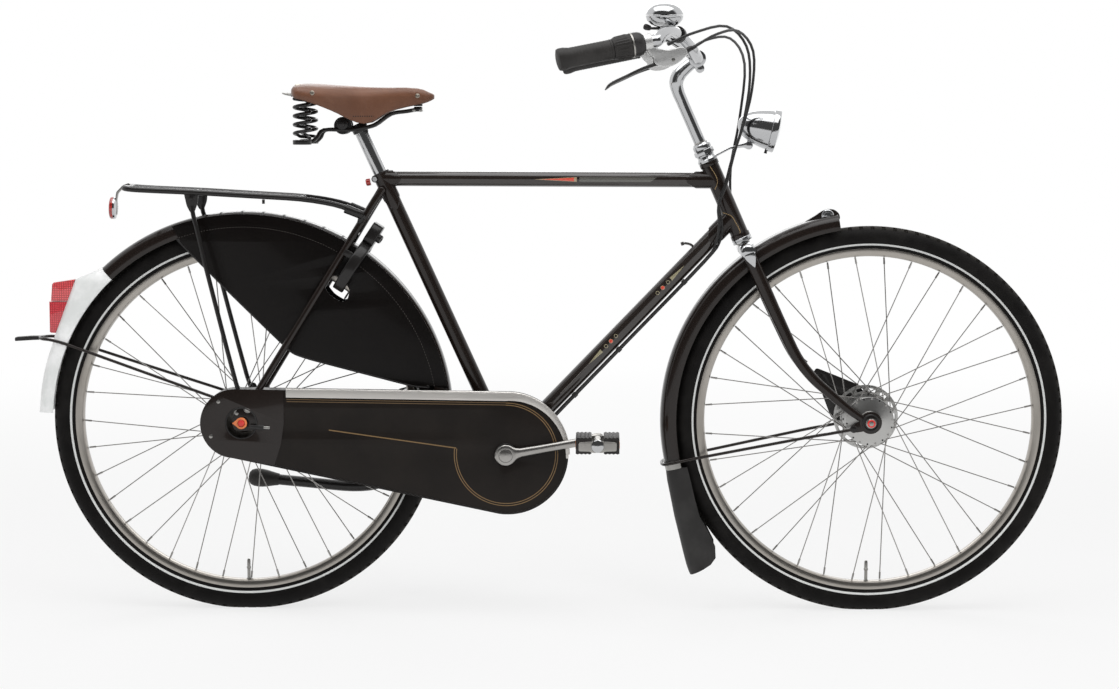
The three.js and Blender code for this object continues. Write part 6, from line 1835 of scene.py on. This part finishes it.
def skirt(side, node):
    arc = [(SKIRT_EDGE * cos(radians(d)), SKIRT_EDGE * sin(radians(d))) for d in range(9, 111)]
    notched = [p for p in arc if p[0] > 229] + LOCK_NOTCH + [p for p in arc if p[0] < 209]
    low, high = across_span(side, 30.5, 31.9)
    shape = plate([notched + softened(SKIRT_LOW, 10), softened(SKIRT_SLOT, 5)], low, high, 0.3)
    keep(node + "_cloth", shape, skirt_cloth, "frame", [node])
    edge = [(x, side * 31.4, z) for x, z in softened(SKIRT_LOW, 10)]
    keep(node + "_piping", pipe(metres(edge), 1.5, sides=3, steps=2), black_plastic)


skirt(-1, "right_skirt_guard")
skirt(1, "left_skirt_guard")


# %% Carrier
def carrier():
    loop = [(-212, 20, 432), (-214, 44, 432), (-196, 55, 430), (-150, 55, 427.6), (-90, 55, 425),
        (20, 54.5, 418.6), (109, 54, 413), (170, 50, 403), (205, 46, 391), (222, 44.4, 385)]
    shape = bmesh.new()
    loop = [(x, y, z - 4.5) for x, y, z in loop]
    for side in (-1, 1):
        add(shape, pipe(through([(x * MM, side * y * MM, z * MM) for x, y, z in loop], 3), 4.9,
            sides=5, steps=1))
        strut = [(-88, 56, 395), (-86, 58, 380), (-80, 62, 358), (-60, 64.6, 272), (-10, 70.3, 74),
            (0, 70.3, 50)]
        add(shape, pipe(through([(x * MM, side * y * MM, z * MM) for x, y, z in strut], 3), 4.2,
            sides=4, steps=1))
        low, high = across_span(side, 53.5, 56.5)
        add(shape, plate([softened([(-104, 424), (-76, 422), (-78, 400), (-84, 384), (-92, 384),
            (-98, 396)], 4)], low, high, 0.6))
        low, high = across_span(side, 72.4, 74.9)
        add(shape, plate([softened([(-6, 58), (4, 24), (11, 19), (18, 24), (17, 32), (6, 58)], 4)],
            low, high, 0.5))
        clamp = metres([(221, side * 44.4, 378), (216, side * 37, 364)])
        add(shape, rod(*clamp, 6.6, 5.6, 20, 0.8))
        sleeve = metres([(190, side * 47.6, 391), (222, side * 44.5, 378)])
        add(shape, rod(*sleeve, 8.4, 8, 24, 1.4))
    add(shape, rod(*metres([(-212, 21, 427.5), (-212, -21, 427.5)]), 4.9, sides=24))
    for y in (-18, 18):
        add(shape, rod(*metres([(-213, y, 427.5), (109, y, 409.5)]), 3.5, sides=16))
    for x in (-88, 105):
        z = 425.5 - (x + 200) * 0.055
        add(shape, rod(*metres([(x, -54, z), (x, 54, z)]), 4, sides=16))
    bracket_plate = [(-212, 436), (-224, 431.5), (-236, 419), (-238.5, 404), (-238.5, 377),
        (-235.5, 377), (-235.5, 403), (-233, 416.5), (-222.5, 427.5), (-210, 432)]
    keep("reflector_bracket", plate([softened(bracket_plate, 3)], -5, 5, 0.5), zinc)
    keep("carrier_tubes", shape, black_coat, "frame", ["carrier"])
    bolts = bmesh.new()
    for side in (-1, 1):
        for x, z in ((-90, 414), (-88, 391)):
            add(bolts, rod(*metres([(x, side * 56, z), (x, side * 59, z)]), 4.4, sides=6,
                rounding=0.5))
    add(bolts, rod(*metres([(42.1, -54.8, 412), (42.1, -54.8, 404)]), 2.6, sides=16, rounding=0.8))
    keep("carrier_bolts", shifted(bolts, z=-4.5 * MM), black_coat)


def rear_reflector():
    line = Vector((-1, 0, 0.03)).normalized()
    place = Vector((-0.2392, 0, 0.3895))
    lens = turned([(0.01, 9.6), (15.8, 9.2), (19.6, 8), (20.4, 6.4), (20.4, 2.2), (0.01, 2.2)], 48,
        place, place + line * MM)
    keep("rear_reflector_lens", lens, red_reflector, "frame", ["rear_reflector"], 50)
    rim_ring = turned([(0.01, -3.4), (14, -3), (19.6, -1.2), (20.2, 0.2), (20.2, 2.1),
        (0.01, 2.1)], 48, place, place + line * MM)
    keep("rear_reflector_rim", rim_ring, chrome)
    low = up_seat(SEAT_TUBE_LENGTH - 14) + Vector((-0.0235, 0, -0.004))
    back = Vector((-MM, 0, -0.0002))
    small = turned([(0.01, 0), (6.4, 0), (6.8, 2), (6.8, 7), (5.6, 8.6), (0.01, 9.4)], 36, low,
        low + back)
    keep("seat_lug_reflector", small, red_reflector)


carrier()
rear_reflector()

# %% [markdown]
# ## Chain case
# The case keeps the chain clean: lacquered cloth stretched over a steel frame, with a polished
# strip along its top, two gold lines and a rigid glossy cap at its rear end. It is open towards
# the wheel. The lines are painted by the material, from the distance to the bracket.

# %% Chain case
CASE_FACE, CASE_BACK = -76.6, -38.2
CASE_REAR, CASE_FRONT = (-12, -1, 63.8), (486, -56, 111.8)


def case_outline(inset=0):
    points = []
    for (x, z, radius), low, high, steps in ((CASE_REAR, 84, 262, 30), (CASE_FRONT, -98, 92, 48)):
        for number in range(steps + 1):
            aim = radians(low + (high - low) * number / steps)
            points.append((x + (radius - inset) * cos(aim), z + (radius - inset) * sin(aim)))
    return points


def case_marks(cloth):
    """A double gold arc round the bracket and a line that runs back from it."""
    across_x, across_z = cloth.x - bracket.x, cloth.z - bracket.z
    radius = radius_from(cloth, bracket)
    gold = (0.21, 0.135, 0.065, 1)
    slope = (cloth.x - 0.166) * -0.1403 - 0.0132
    line = 1 - abs(cloth.z - slope).step(0.0008, 0.0012)
    yield line * (cloth.x > 0.16) * (cloth.x < 0.3925), gold
    rear_top = (across_x < 0) * (across_z > 0.0105)
    for reach, shift in ((0.0905, 0.0215), (0.0945, 0.0175)):
        arc = 1 - abs(radius - reach).step(0.0005, 0.0009)
        yield arc * (1 - rear_top), gold
        top = (cloth.x + 0.0053) * -0.01375 + 0.0626 - shift
        edge = 1 - abs(cloth.z - top).step(0.0004, 0.0008)
        yield edge * (cloth.x > 0.083) * (cloth.x < 0.4835), (0.15, 0.1, 0.055, 1)


case_cloth = coated_cloth("case_cloth", (0.0105, 0.0084, 0.0072, 1), case_marks, 0.26)


def chain_case():
    window = ring_points(27, 40)
    hole = ring_points(17, 40, bracket.x / MM, bracket.z / MM)
    face = plate([case_outline(0.6), window, hole], CASE_FACE, CASE_FACE + 1.5, 0.6)
    front = [at(x, CASE_FACE + 1, z) for x, z in case_outline(0.3)]
    back = [at(x, CASE_BACK, z) for x, z in case_outline(0.3)]
    inner_back = [at(x, CASE_BACK, z) for x, z in case_outline(1.7)]
    inner_front = [at(x, CASE_FACE + 1.2, z) for x, z in case_outline(1.7)]
    wall = skinned([front, back, inner_back, inner_front], False)
    keep("chain_case_cloth", add(face, wall), case_cloth, "frame", ["chain_case"], 40)
    rims = add(
        turned([(27, 0), (29.4, 0), (29.4, 0.9), (28.4, 1.5), (27, 1.2)], 48,
        Vector((0, -0.0765, 0)), Vector((0, -0.0775, 0))),
        turned([(17, 0), (20.4, 0), (20.4, 0.9), (19.4, 1.5), (17, 1.2)], 48,
        bracket + Vector((0, -0.0765, 0)), bracket + Vector((0, -0.0775, 0))),
    )
    keep("chain_case_rims", rims, black_plastic)


def case_trim():
    """The polished strip along the top edge, and the cord that laces the lower edge."""
    outer = [(82, 61.4), (482, 55.9)]
    inner = [(82, 47.4), (482, 41.9)]
    for number in range(1, 25):
        share = number / 24
        aim = radians(92 - 96 * share)
        for run, inset in ((outer, -0.2), (inner, 14 - 9.5 * share)):
            reach = CASE_FRONT[2] - inset
            run.append((CASE_FRONT[0] + reach * cos(aim), CASE_FRONT[1] + reach * sin(aim)))
    strip = plate([outer + list(reversed(inner))], -78.6, -76.7, 0.8)
    top_edge = [at(x, -76.2, z) for x, z in outer[::2]]
    add(strip, pipe(top_edge, 2.4, sides=4, steps=3))
    keep("chain_case_strip", strip, polished("case_strip_steel", (0.8, 0.775, 0.735, 1), 0.46))
    low = [p for p in case_outline(3) if p[1] < -52]
    lace = []
    length = 0
    for first, second in zip(low, low[1:]):
        a, b = Vector(first), Vector(second)
        count = max(1, round((b - a).length / 5))
        for number in range(count):
            place = a.lerp(b, number / count)
            wave = 1.3 if len(lace) % 2 else -1.3
            lace.append(at(place.x, -76.9, place.y + wave))
        length += (b - a).length
    keep("chain_case_lacing", pipe(lace, 0.7, sides=2, steps=2), black_plastic)
    print("lacing", round(length), "mm long")


def case_end():
    """The rigid cap at the rear of the case, with its two screws."""
    cap = [(78, 61.2)]
    for number in range(31):
        aim = radians(88 + 168 * number / 30)
        cap.append((CASE_REAR[0] + 63.6 * cos(aim), CASE_REAR[1] + 63.6 * sin(aim)))
    cap += [(60, -77.5), (72, -40), (78, 0)]
    keep("chain_case_cap", plate([cap, ring_points(29.6, 40)], -77.7, -76.7, 0.4), frame_paint,
        sharp=50)
    screws = bmesh.new()
    for degrees in (126, 208):
        aim = radians(degrees)
        place = at(CASE_REAR[0] + 50 * cos(aim), -77.4, CASE_REAR[1] + 50 * sin(aim))
        add(screws, turned([(0.01, 1.6), (2, 1.5), (3.4, 0.9), (3.9, 0), (0.01, 0)], 20, place,
            place - across * MM))
    keep("chain_case_screws", screws, zinc)


chain_case()
case_trim()
case_end()

# %% [markdown]
# ## Cranks and pedals
# The cranks are polished alloy, broad at the bracket and at the pedal. Each pedal has two ribbed
# rubber blocks on a steel frame, with an amber reflector in the face of each block.

# %% Cranks
CRANK_ANGLE = 10.2
CRANKS = Matrix.Translation(bracket) @ Matrix.Rotation(-radians(CRANK_ANGLE), 4, "Y")
CRANK_WIDTHS = [
    (-20.4, 2), (-18, 9.8), (-11, 16.8), (0, 19.8), (9, 17.6), (15, 13.4), (20, 10.2), (28, 8.4),
    (60, 7.8), (90, 7.7), (135, 7.8), (152, 8.6), (162, 10.6), (170, 11.4), (177, 9.6),
    (180.6, 6.2), (182, 2),
]


def crank_arm(side, inner, outer):
    low, high = across_span(side, inner, outer)
    stations = []
    for x, half in CRANK_WIDTHS:
        thick = (high - low) / 2 * (1 if 0 <= x <= 172 else max(0.5, half / 17))
        middle = at(x, (low + high) / 2, 0)
        stations.append((middle, at(0, 0, half), at(0, thick, 0)))
    arm = loft(stations, 28)
    if side > 0:
        bmesh.ops.rotate(arm, verts=arm.verts, cent=(0, 0, 0),
            matrix=Matrix.Rotation(math.pi, 3, "Y"))
    return arm


crank_alloy = alloy("crank_alloy", (0.42, 0.41, 0.395, 1), 0.22)


def crank_set():
    right = crank_arm(-1, 79.6, 92.4)
    face = [(0.01, 0), (17.6, 0), (18, 1.6), (15, 2.6), (12.9, 2.7), (12.6, 0.9), (11.8, 0.9),
        (11.5, 2.8), (10.2, 3.6), (0.01, 3.9)]
    cap = turned(face, 40, Vector((0, -0.0915, 0)), Vector((0, -0.0925, 0)))
    add(right, cap, rod((0, -0.0795, 0), (0, -0.036, 0), 15, sides=36, rounding=1))
    add(right, rod((0, -0.0795, 0), (0, 0.0895, 0), 8.2, sides=28))
    teeth = []
    for number in range(42):
        for share, rise in ((0, -3.2), (0.18, -2.2), (0.42, 3.2), (0.58, 3.2), (0.82, -2.2)):
            angle = tau * (number + share) / 42
            teeth.append(((85 + rise) * cos(angle), (85 + rise) * sin(angle)))
    windows = [ring_points(16.5, 16, 49 * cos(tau * i / 5), 49 * sin(tau * i / 5))
        for i in range(5)]
    add(right, plate([teeth, *windows], -47.1, -44.9, 0.2))
    keep("right_crank_forged", moved(right, CRANKS), crank_alloy, "cranks", ["right_crank"], 36)
    left = crank_arm(1, 79.6, 92.4)
    add(left, turned(face, 40, Vector((0, 0.0915, 0)), Vector((0, 0.0925, 0))))
    keep("left_crank_forged", moved(left, CRANKS), crank_alloy, "cranks", ["left_crank"], 36)


crank_set()

# %% Pedals
amber = prism_lens("amber_reflector", (0.75, 0.22, 0.02, 1), 0.003)
PEDAL_START, PEDAL_WIDTH, BLOCK_SHIFT = 98.5, 86, 25


def pedal(side, node):
    centre = Vector(joints[node + "_spin"]["pos_m"])
    centre.y = 0
    place = Matrix.Translation(centre)
    body = "pedal_" + node.split("_")[0]
    low, high = across_span(side, PEDAL_START, PEDAL_START + PEDAL_WIDTH)
    blocks, frame_parts, lenses = bmesh.new(), bmesh.new(), bmesh.new()
    for x in (-BLOCK_SHIFT, BLOCK_SHIFT):
        outline = []
        for sign in (1, -1):
            for number in range(9):
                step = x + sign * (-14 + number * 3.5)
                ridge = 15.4 if number % 2 else 13.9
                outline.append((step, sign * ridge))
        add(blocks, plate([outline], low + 3.4, high - 3.4, 0.8))
        face = x + math.copysign(14, x)
        middle, half = (low + high) / 2, (high - low) / 2 - 14
        lens = block((1.2, half * 2, 13), 0.0005, 2)
        add(lenses, shifted(lens, face * MM, middle * MM, 0))
    ends = [(-34, -9), (-14, -9.6), (-9, -12), (9, -12), (14, -9.6), (34, -9), (34, 7), (14, 8),
        (-14, 8), (-34, 7)]
    add(frame_parts, plate([softened(ends, 3)], low, low + 3.2, 0.5),
        plate([softened(ends, 3)], high - 3.2, high, 0.5))
    add(frame_parts, rod((0, low * MM, 0), (0, high * MM, 0), 7.9, sides=32))
    for x in (-BLOCK_SHIFT, BLOCK_SHIFT):
        for y in (low - 0.8, high - 1.6):
            add(frame_parts, rod((x * MM, y * MM, 0), (x * MM, (y + 2.4) * MM, 0), 3.6, sides=6))
    add(frame_parts, rod((0, side * 80.5 * MM, 0), (0, side * 100 * MM, 0), 6, sides=24))
    cap = turned(
        [(0.01, 0), (11.6, 0), (11.8, 2), (10.8, 5), (7.6, 6.6), (0.01, 7)], 36,
        Vector((0, side * (PEDAL_START + PEDAL_WIDTH - 0.4) * MM, 0)),
        Vector((0, side * (PEDAL_START + PEDAL_WIDTH + 0.6) * MM, 0)),
    )
    keep(node + "_blocks", moved(blocks, place), rubber, body, [node])
    keep(node + "_frame", moved(frame_parts, place), satin_alloy, body)
    keep(node + "_cap", moved(cap, place), chrome, body)
    keep(node + "_lenses", moved(lenses, place), amber, body)


pedal(-1, "right_pedal")
pedal(1, "left_pedal")

# %% [markdown]
# The chain and the sprocket hide inside the case. The skeleton's own pieces have the right shape,
# so they stay and only get an oiled steel finish.

# %% Chain and sprocket
def oiled_steel():
    steel = Finish("oiled_steel")
    grime = steel.noise(55, 4)
    tint = steel.mix(grime.step(0.35, 0.7), (0.2, 0.19, 0.175, 1), (0.045, 0.038, 0.032, 1))
    return steel.surface(Base_Color=tint, Metallic=0.9, Roughness=0.3 + grime * 0.3,
        Normal=steel.bump(grime, 0.0002, 0.4))


oiled = oiled_steel()
for name in ("chain", "rear_sprocket"):
    node = frame["nodes"][name]
    node.data.materials.clear()
    node.data.materials.append(oiled)
print("two of the skeleton's own pieces stay")

# %% [markdown]
# ## Stand
# The prop stand folds up along the left stay. It is a plain bent leg with a thick rubber foot,
# which shows just behind the chain case from the right.

# %% Stand
def stand():
    head = turned([(6.6, -7), (12.4, -7), (13, -6.2), (13, 12.2), (12.4, 13), (6.6, 13)], 40,
        Vector((0.262, 0.052, -0.106)), Vector((0.262, 0.053, -0.106)))
    leg = pipe(through(metres([(262, 56, -110), (240, 56.5, -130), (190, 60, -136.5),
        (110, 68, -131), (44, 75, -126)]), 4), 10.2, sides=6, steps=1)
    keep("stand_leg", add(head, leg), black_coat, "stand", ["kickstand_leg"])
    line = (Vector((-8, 80, -122)) - Vector((48, 74, -126))).normalized() * MM
    foot_start = at(48, 74, -126)
    egg = [(0.01, -2), (9.6, -2), (11.2, 0), (12.2, 6), (14, 14), (15.8, 22), (16.9, 30),
        (17.2, 38), (16.4, 46), (14, 52), (10, 55.6), (5, 57), (0.01, 57.2)]
    keep("stand_foot", turned(egg, 40, foot_start, foot_start + line), rubber, "stand")


stand()

# %% [markdown]
# ## Ring lock
# The lock is a horseshoe of black-coated steel over the tyre, with a round bolt that slides out
# of its right arm. Its body at the top holds the cylinder and the key. Lugs bolt it to the stays.

# %% Ring lock
LOCK_X, LOCK_Z = Vector((0.84245, 0, -0.53877)), Vector((0.53877, 0, 0.84245))
LOCK = frame_of(Vector((0.19763, 0, 0.27912)), LOCK_X, across, LOCK_Z)
LOCK_RING, LOCK_OPEN = 53, 42


def lock_place(x, radius, degrees):
    aim = radians(degrees)
    return LOCK @ at(x, radius * cos(aim), radius * sin(aim))


def lock():
    section = softened([(-10.5, -7.2), (10.5, -7.2), (10.5, 7.2), (-10.5, 7.2)], 3.6, 4)
    rings = []
    for number in range(49):
        angle = -90 + LOCK_OPEN + (360 - 2 * LOCK_OPEN) * number / 48
        rings.append([lock_place(x, LOCK_RING + r, angle) for x, r in section])
    ring = skinned(rings)
    body = [(-24, 54), (24, 54), (29, 62), (27, 78), (23, 88), (15, 95.6), (-15, 95.6), (-23, 88),
        (-27, 78), (-29, 62)]
    local = plate([softened(body, 6)], -10.5, 10.5, 2.6, steps=3)
    turn = Matrix.Rotation(radians(90), 4, "Z")
    add(ring, moved(local, LOCK @ turn))
    for side in (-1, 1):
        add(ring, moved(block((19, 10, 12), 0.002, 3),
            LOCK @ Matrix.Translation(at(-17, side * 46, 23))))
    keep("lock_ring", ring, black_coat, "frame", ["lock_housing"], 40)
    boss = LOCK @ at(10, -17.2, 74), LOCK @ at(11, -17.4, 74)
    cylinder = turned([(0.01, 0), (8.2, 0), (8.2, 7), (7.2, 8.6), (4, 8.8), (4, 7.4), (0.01, 7.4)],
        36, *boss)
    keep("lock_cylinder", cylinder, black_coat)
    places = [lock_place(0, LOCK_RING, -90 + LOCK_OPEN + 13.8 * (0.1 + 9 * i / 20))
        for i in range(21)]
    keep("lock_bolt", pipe(places, 4.2, sides=5, steps=1), chrome, "shackle", ["lock_shackle"])
    knob = rod(lock_place(11.3, LOCK_RING + 1, 8), lock_place(20.5, LOCK_RING + 1, 8), 5.4, 7, 28,
        1.4)
    keep("lock_knob", knob, black_plastic, "shackle")


lock()

# %% [markdown]
# ## Saddle
# The top is one thick piece of brown leather, soaked, pressed over a mould and riveted to a steel
# cantle plate at the back and to the nose piece in front. The skirt hangs down at its sides. A
# surface drawn as a grid of half widths and heights, with a rolled lower edge, gives that shape.

# %% Leather top
SADDLE_ROWS = [
    (95, 60, 601, 606.5), (97, 76, 598, 611), (100, 88, 595, 614.4), (105, 97, 591.6, 616),
    (114, 101, 589, 617.2), (124, 101, 586.6, 617.6), (135, 98, 583, 617.2),
    (146, 92, 578.8, 616.5), (157, 84, 574, 615.8), (168, 74, 569, 615), (179, 64, 563.4, 614.2),
    (190, 54, 557, 613.5), (201, 45, 551, 612.7), (212, 38, 546.6, 612), (224, 32.6, 544.4, 611.4),
    (235, 29, 546.4, 611), (247, 26.6, 553, 610.7), (258, 25, 560.5, 610.5),
    (269, 23.4, 566.4, 610.4), (280, 22, 570.4, 610.5), (300, 20, 575.4, 610.5),
    (320, 18.5, 579.4, 609), (330, 17.6, 582, 607), (337, 16.5, 584.4, 604), (343, 14.6, 587, 601),
    (347.6, 11.4, 589.4, 599.4), (350.4, 7.2, 591.4, 597),
]
CROWN_SHARES = [(0, 1), (0.25, 0.995), (0.48, 0.97), (0.68, 0.92), (0.83, 0.83), (0.93, 0.7),
    (0.985, 0.54), (1, 0.36), (1, 0.16), (0.985, 0.02)]


def saddle_ring(x, half, low, top, wall):
    """One cross row of the top, out along the upper face and back along the lower."""
    face = [Vector((x, y * half, low + share * (top - low))) for y, share in CROWN_SHARES]
    under = [Vector((x, max(0, y - wall / half) * half,
        low + share * (top - low) - wall * (1 - y) * 0.9)) for y, share in CROWN_SHARES]
    rolled = [face[-1] + Vector((0, -wall * 0.5, -wall * 0.3))]
    right = face + rolled + list(reversed(under))
    return metres(right + mirrored(reversed(right))[1:-1])


def leather():
    """Veg-tanned leather: fine pores, soft creases, lighter where it is rubbed, darker low down
    the flanks, and vent holes drawn as dots of painted shade.
    """
    hide = Finish("saddle_leather_brown")
    pores = hide.node("ShaderNodeTexVoronoi", {"feature": "DISTANCE_TO_EDGE"},
        {"Vector": hide.place, "Scale": 520, "Randomness": 1})
    cloud = hide.noise(11, 5, 0.6)
    crease = hide.noise(70, 4, 0.6, stretch=(1, 0.35, 1))
    rubbed = hide.noise(26, 3)
    base = hide.mix(cloud.step(0.3, 0.72), (0.112, 0.04, 0.017, 1), (0.172, 0.066, 0.03, 1))
    # Darker below one height, low down the flanks.
    edge = (hide.z - 0.593).step(0.004, 0) * 0.35
    shade = hide.mix(edge, base, (0.075, 0.028, 0.012, 1))
    blended_colour = hide.mix(rubbed.step(0.55, 0.8) * 0.5, shade, (0.21, 0.095, 0.048, 1))
    # The vent holes are painted shade: a row of near-black dots for their dark insides.
    holes = abs(((hide.x - 0.204) * (math.pi / 0.004)).math("SINE")).step(0.62, 0.8)
    vents = holes * (1 - abs(hide.z - 0.558).step(0.0009,
        0.0014)) * (hide.x > 0.2045) * (hide.x < 0.2415)
    blended_colour = hide.mix(vents, blended_colour, (0.004, 0.003, 0.002, 1))
    relief = hide.bump(crease, 0.0008, 0.3)
    grain = hide.bump(pores.step(0, 0.25), 0.00016, 0.45, relief)
    return hide.surface(Base_Color=blended_colour, Roughness=0.4 + cloud * 0.16, Normal=grain,
        Coat_Weight=0.18, Coat_Roughness=0.3)


brown_leather = leather()
brass = alloy("nickel_rivets", (0.6, 0.54, 0.46, 1), 0.25)


def saddle_height(x, y):
    """The height of the leather's upper face over a place, in millimetres."""
    for first, second in zip(SADDLE_ROWS, SADDLE_ROWS[1:]):
        if first[0] <= x <= second[0]:
            share = (x - first[0]) / (second[0] - first[0])
            _, half, low, top = (a + (b - a) * share for a, b in zip(first, second))
            for near, far in zip(CROWN_SHARES, CROWN_SHARES[1:]):
                if near[0] <= abs(y) / half <= far[0]:
                    part = (abs(y) / half - near[0]) / (far[0] - near[0])
                    return low + (near[1] + (far[1] - near[1]) * part) * (top - low)
    return SADDLE_ROWS[0][3]


def saddle_top():
    rings = [saddle_ring(*row, 4.6) for row in SADDLE_ROWS]
    top = skinned(rings)
    keep("saddle_hide", top, brown_leather, "saddle_top", ["saddle_leather"], 50)
    cantle = plate([softened([(96, 0), (128, 0), (128, 88), (112, 94), (96, 80)], 8)], 593.4,
        596.4, 0.6)
    flat = moved(cantle, Matrix.Rotation(radians(90), 4, "X"))
    mirror_cantle = flat.copy()
    bmesh.ops.scale(mirror_cantle, vec=(1, -1, 1), verts=mirror_cantle.verts)
    bmesh.ops.reverse_faces(mirror_cantle, faces=mirror_cantle.faces)
    lug_block = rod(at(321, 0, 576.4), at(321, 0, 604), 8, sides=24)
    keep("cantle_plate", add(flat, mirror_cantle, lug_block), black_coat, "saddle_top")
    rivets = bmesh.new()
    head = [(0.01, 0), (4.2, 0), (4.4, 1.4), (3.6, 2.6), (1.9, 3.1), (0.01, 3.2)]
    for x, y in [(106, 30), (106, 60), (106, 0)]:
        for side in (-1, 1) if y else (1,):
            foot = at(x, side * y, saddle_height(x, y) - 1.8)
            add(rivets, turned(head, 24, foot, foot + Vector((0, 0, MM))))
    for x, y, z in [(137, 95.2, 600), (321, 17, 595)]:
        for side in (-1, 1):
            foot = at(x, side * y, z)
            add(rivets, turned(head, 24, foot, foot + Vector((0, side * MM, 0.0002))))
    keep("saddle_rivets", rivets, brass, "saddle_top")
    loops = bmesh.new()
    for side in (-1, 1):
        route = metres([(98, side * 22, 596), (88, side * 22, 597), (80, side * 24, 599),
            (77, side * 34, 600), (80, side * 44, 599), (88, side * 46, 597),
            (98, side * 46, 596)])
        add(loops, pipe(through(route, 4), 1.6, sides=3, steps=1))
    keep("saddle_bag_loops", loops, zinc, "saddle_top")


def saddle_spring(side, node):
    """A coil of black wire with closed ends."""
    low, high, turns, radius = 519.2, 589.8, 4.5, 14
    route = []
    for number in range(73):
        share = number / 72
        eased = share if 0.08 < share < 0.92 else (share * 0.55 if share <= 0.08 else 1
            - (1 - share) * 0.55)
        aim = tau * turns * share
        route.append(at(114 + radius * cos(aim), side * 57 + radius * sin(aim),
            low + (high - low) * eased))
    coil = pipe(route, 3, sides=3, steps=2)
    made = keep(node + "_coil", coil, black_coat, "frame", [node])
    hinge = joints["saddle_flex"]
    give = (hinge["pos_m"][0] / MM - 114) * sin(radians(hinge["range_deg"][1]))
    tall = high - low + 6
    1 - give / tall
    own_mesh(made)


def saddle_frame():
    shape = bmesh.new()
    for side in (-1, 1):
        rail = [
            (323, side * 8, 571), (300, side * 9, 567), (271, side * 10, 562),
            (241, side * 15, 542), (215, side * 20, 536), (195, side * 22, 533),
            (150, side * 25, 533), (138, side * 36, 519), (128, side * 46, 511.5),
            (114, side * 57, 511),
        ]
        add(shape, pipe(through(metres(rail), 4), 3.6, sides=4, steps=1))
        seat = metres([(114, side * 57, 507), (114, side * 57, 515.6)])
        add(shape, rod(*seat, 17, sides=40, rounding=1))
    add(shape, rod(*metres([(184, -28, 544), (184, 28, 544)]), 10.5, sides=36, rounding=1.2))
    for side in (-1, 1):
        low, high = across_span(side, 12.5, 20.5)
        add(shape, turned([(8, low), (15.5, low), (16, low + 1), (16, high - 1), (15.5, high),
            (8, high)], 40, at(184, 0, 541), at(184, 1, 541)))
    add(shape, shifted(block((15, 21, 9), 0.002, 3), 0.321, 0, 0.571))
    collar = turned([(12.7, 0), (14.6, 0), (15, 0.8), (15, 15), (14.4, 16), (12.7, 16)], 44,
        up_seat(644), up_seat(645))
    add(shape, collar)
    keep("saddle_rails", shape, black_coat, "frame", ["saddle_frame"])
    bolts, nuts = bmesh.new(), bmesh.new()
    for side in (-1, 1):
        add(nuts, rod(*metres([(184, side * 34, 544), (184, side * 27, 544)]), 6, sides=6,
            rounding=0.8))
    keep("saddle_clamp_nuts", nuts, black_coat)
    for x in (314, 326):
        add(bolts, rod(*metres([(x, -12.4, 569), (x, 12.4, 569)]), 3.2, sides=18, rounding=0.8))
    keep("saddle_bolts", bolts, zinc)
    post = turned([(11, 0), (12.6, 0), (12.6, 158), (12, 160), (0.01, 160)], 40, up_seat(492),
        up_seat(493))
    keep("seat_post_chrome", post, chrome, "frame", ["seat_post"])


saddle_top()
saddle_frame()
saddle_spring(-1, "saddle_spring_right")
saddle_spring(1, "saddle_spring_left")

# %% [markdown]
# ## Small things on the frame
# A barrel adjuster sits where the gear cable reaches the hub, and three clips hold the cables
# under the down tube.

# %% Adjuster and cable clips
def adjuster():
    start, end = metres([(52, -76.5, -8.5), (14, -76.5, -6.5)])
    line = (end - start).normalized() * MM
    tip = turned([(0.01, 0), (2.2, 0), (2.8, 1), (2.8, 12), (0.01, 12)], 24, start, start + line)
    keep("gear_adjuster_tip", tip, zinc)
    barrel = turned([(0.01, 11), (4.4, 11), (4.8, 12), (4.8, 22), (4.2, 23), (4.2, 36), (3, 38),
        (0.01, 38)], 24, start, start + line)
    keep("gear_adjuster", barrel, black_plastic)
    clips = bmesh.new()
    line = (down_high - bracket).normalized()
    for distance in (0.16, 0.277, 0.45):
        place = bracket + line * distance
        under = Vector((line.z, 0, -line.x))
        foot = place + under * 0.015 - across * 0.008
        add(clips, rod(foot, place + under * 0.02 - across * 0.008, 4, sides=20, rounding=0.8))
        for y in (-11, -5):
            seat = place + under * math.sqrt(CABLE_REACH**2 - y**2) * MM + across * y * MM
            add(clips, turned([(2.55, -4), (3.7, -4), (3.7, 4), (2.55, 4)], 20, seat,
                seat + line * MM))
    keep("cable_clips", clips, black_plastic)


adjuster()

# %% [markdown]
# ## Floor
# The bike stands on a plain pale floor that keeps its shadow. Away from the wheels the floor
# glows as brightly as the background, so there is no line where it ends.

# %% Floor
FLOOR_SIZE = 60
GLOW_NEAR, GLOW_FAR = 1.2, 4.5


def pale_floor():
    floor = Finish("pale_floor")
    tree = floor.tree
    reach = ((floor.x - 0.55) * (floor.x - 0.55) + floor.y * floor.y).math("SQRT")
    seen = floor.ray("Camera")
    for kind in ("Glossy", "Transmission"):
        seen = seen.math("MAXIMUM", floor.ray(kind))
    glow = (reach.step(GLOW_NEAR, GLOW_FAR) * 0.28 + 0.72) * seen
    plain = floor.node("ShaderNodeBsdfDiffuse", None, {"Color": (0.8, 0.8, 0.8, 1)})
    light = floor.node("ShaderNodeEmission", None, {"Color": (1, 1, 1, 1), "Strength": 1})
    both = floor.node("ShaderNodeMixShader", None, {0: glow, 1: plain, 2: light})
    output = tree.nodes["Material Output"]
    tree.links.new(both.socket, output.inputs["Surface"])
    tree.nodes.remove(floor.shader)
    return floor.material


def make_floor():
    shape = bmesh.new()
    bmesh.ops.create_grid(shape, x_segments=1, y_segments=1, size=FLOOR_SIZE / 2)
    mesh = bpy.data.meshes.new("floor")
    shifted(shape, 0.55, 0, ground).to_mesh(mesh)
    shape.free()
    mesh.materials.append(pale_floor())
    floor = bpy.data.objects.new("floor", mesh)
    scene.collection.objects.link(floor)


make_floor()

# %% The end
bpy.context.view_layer.update()
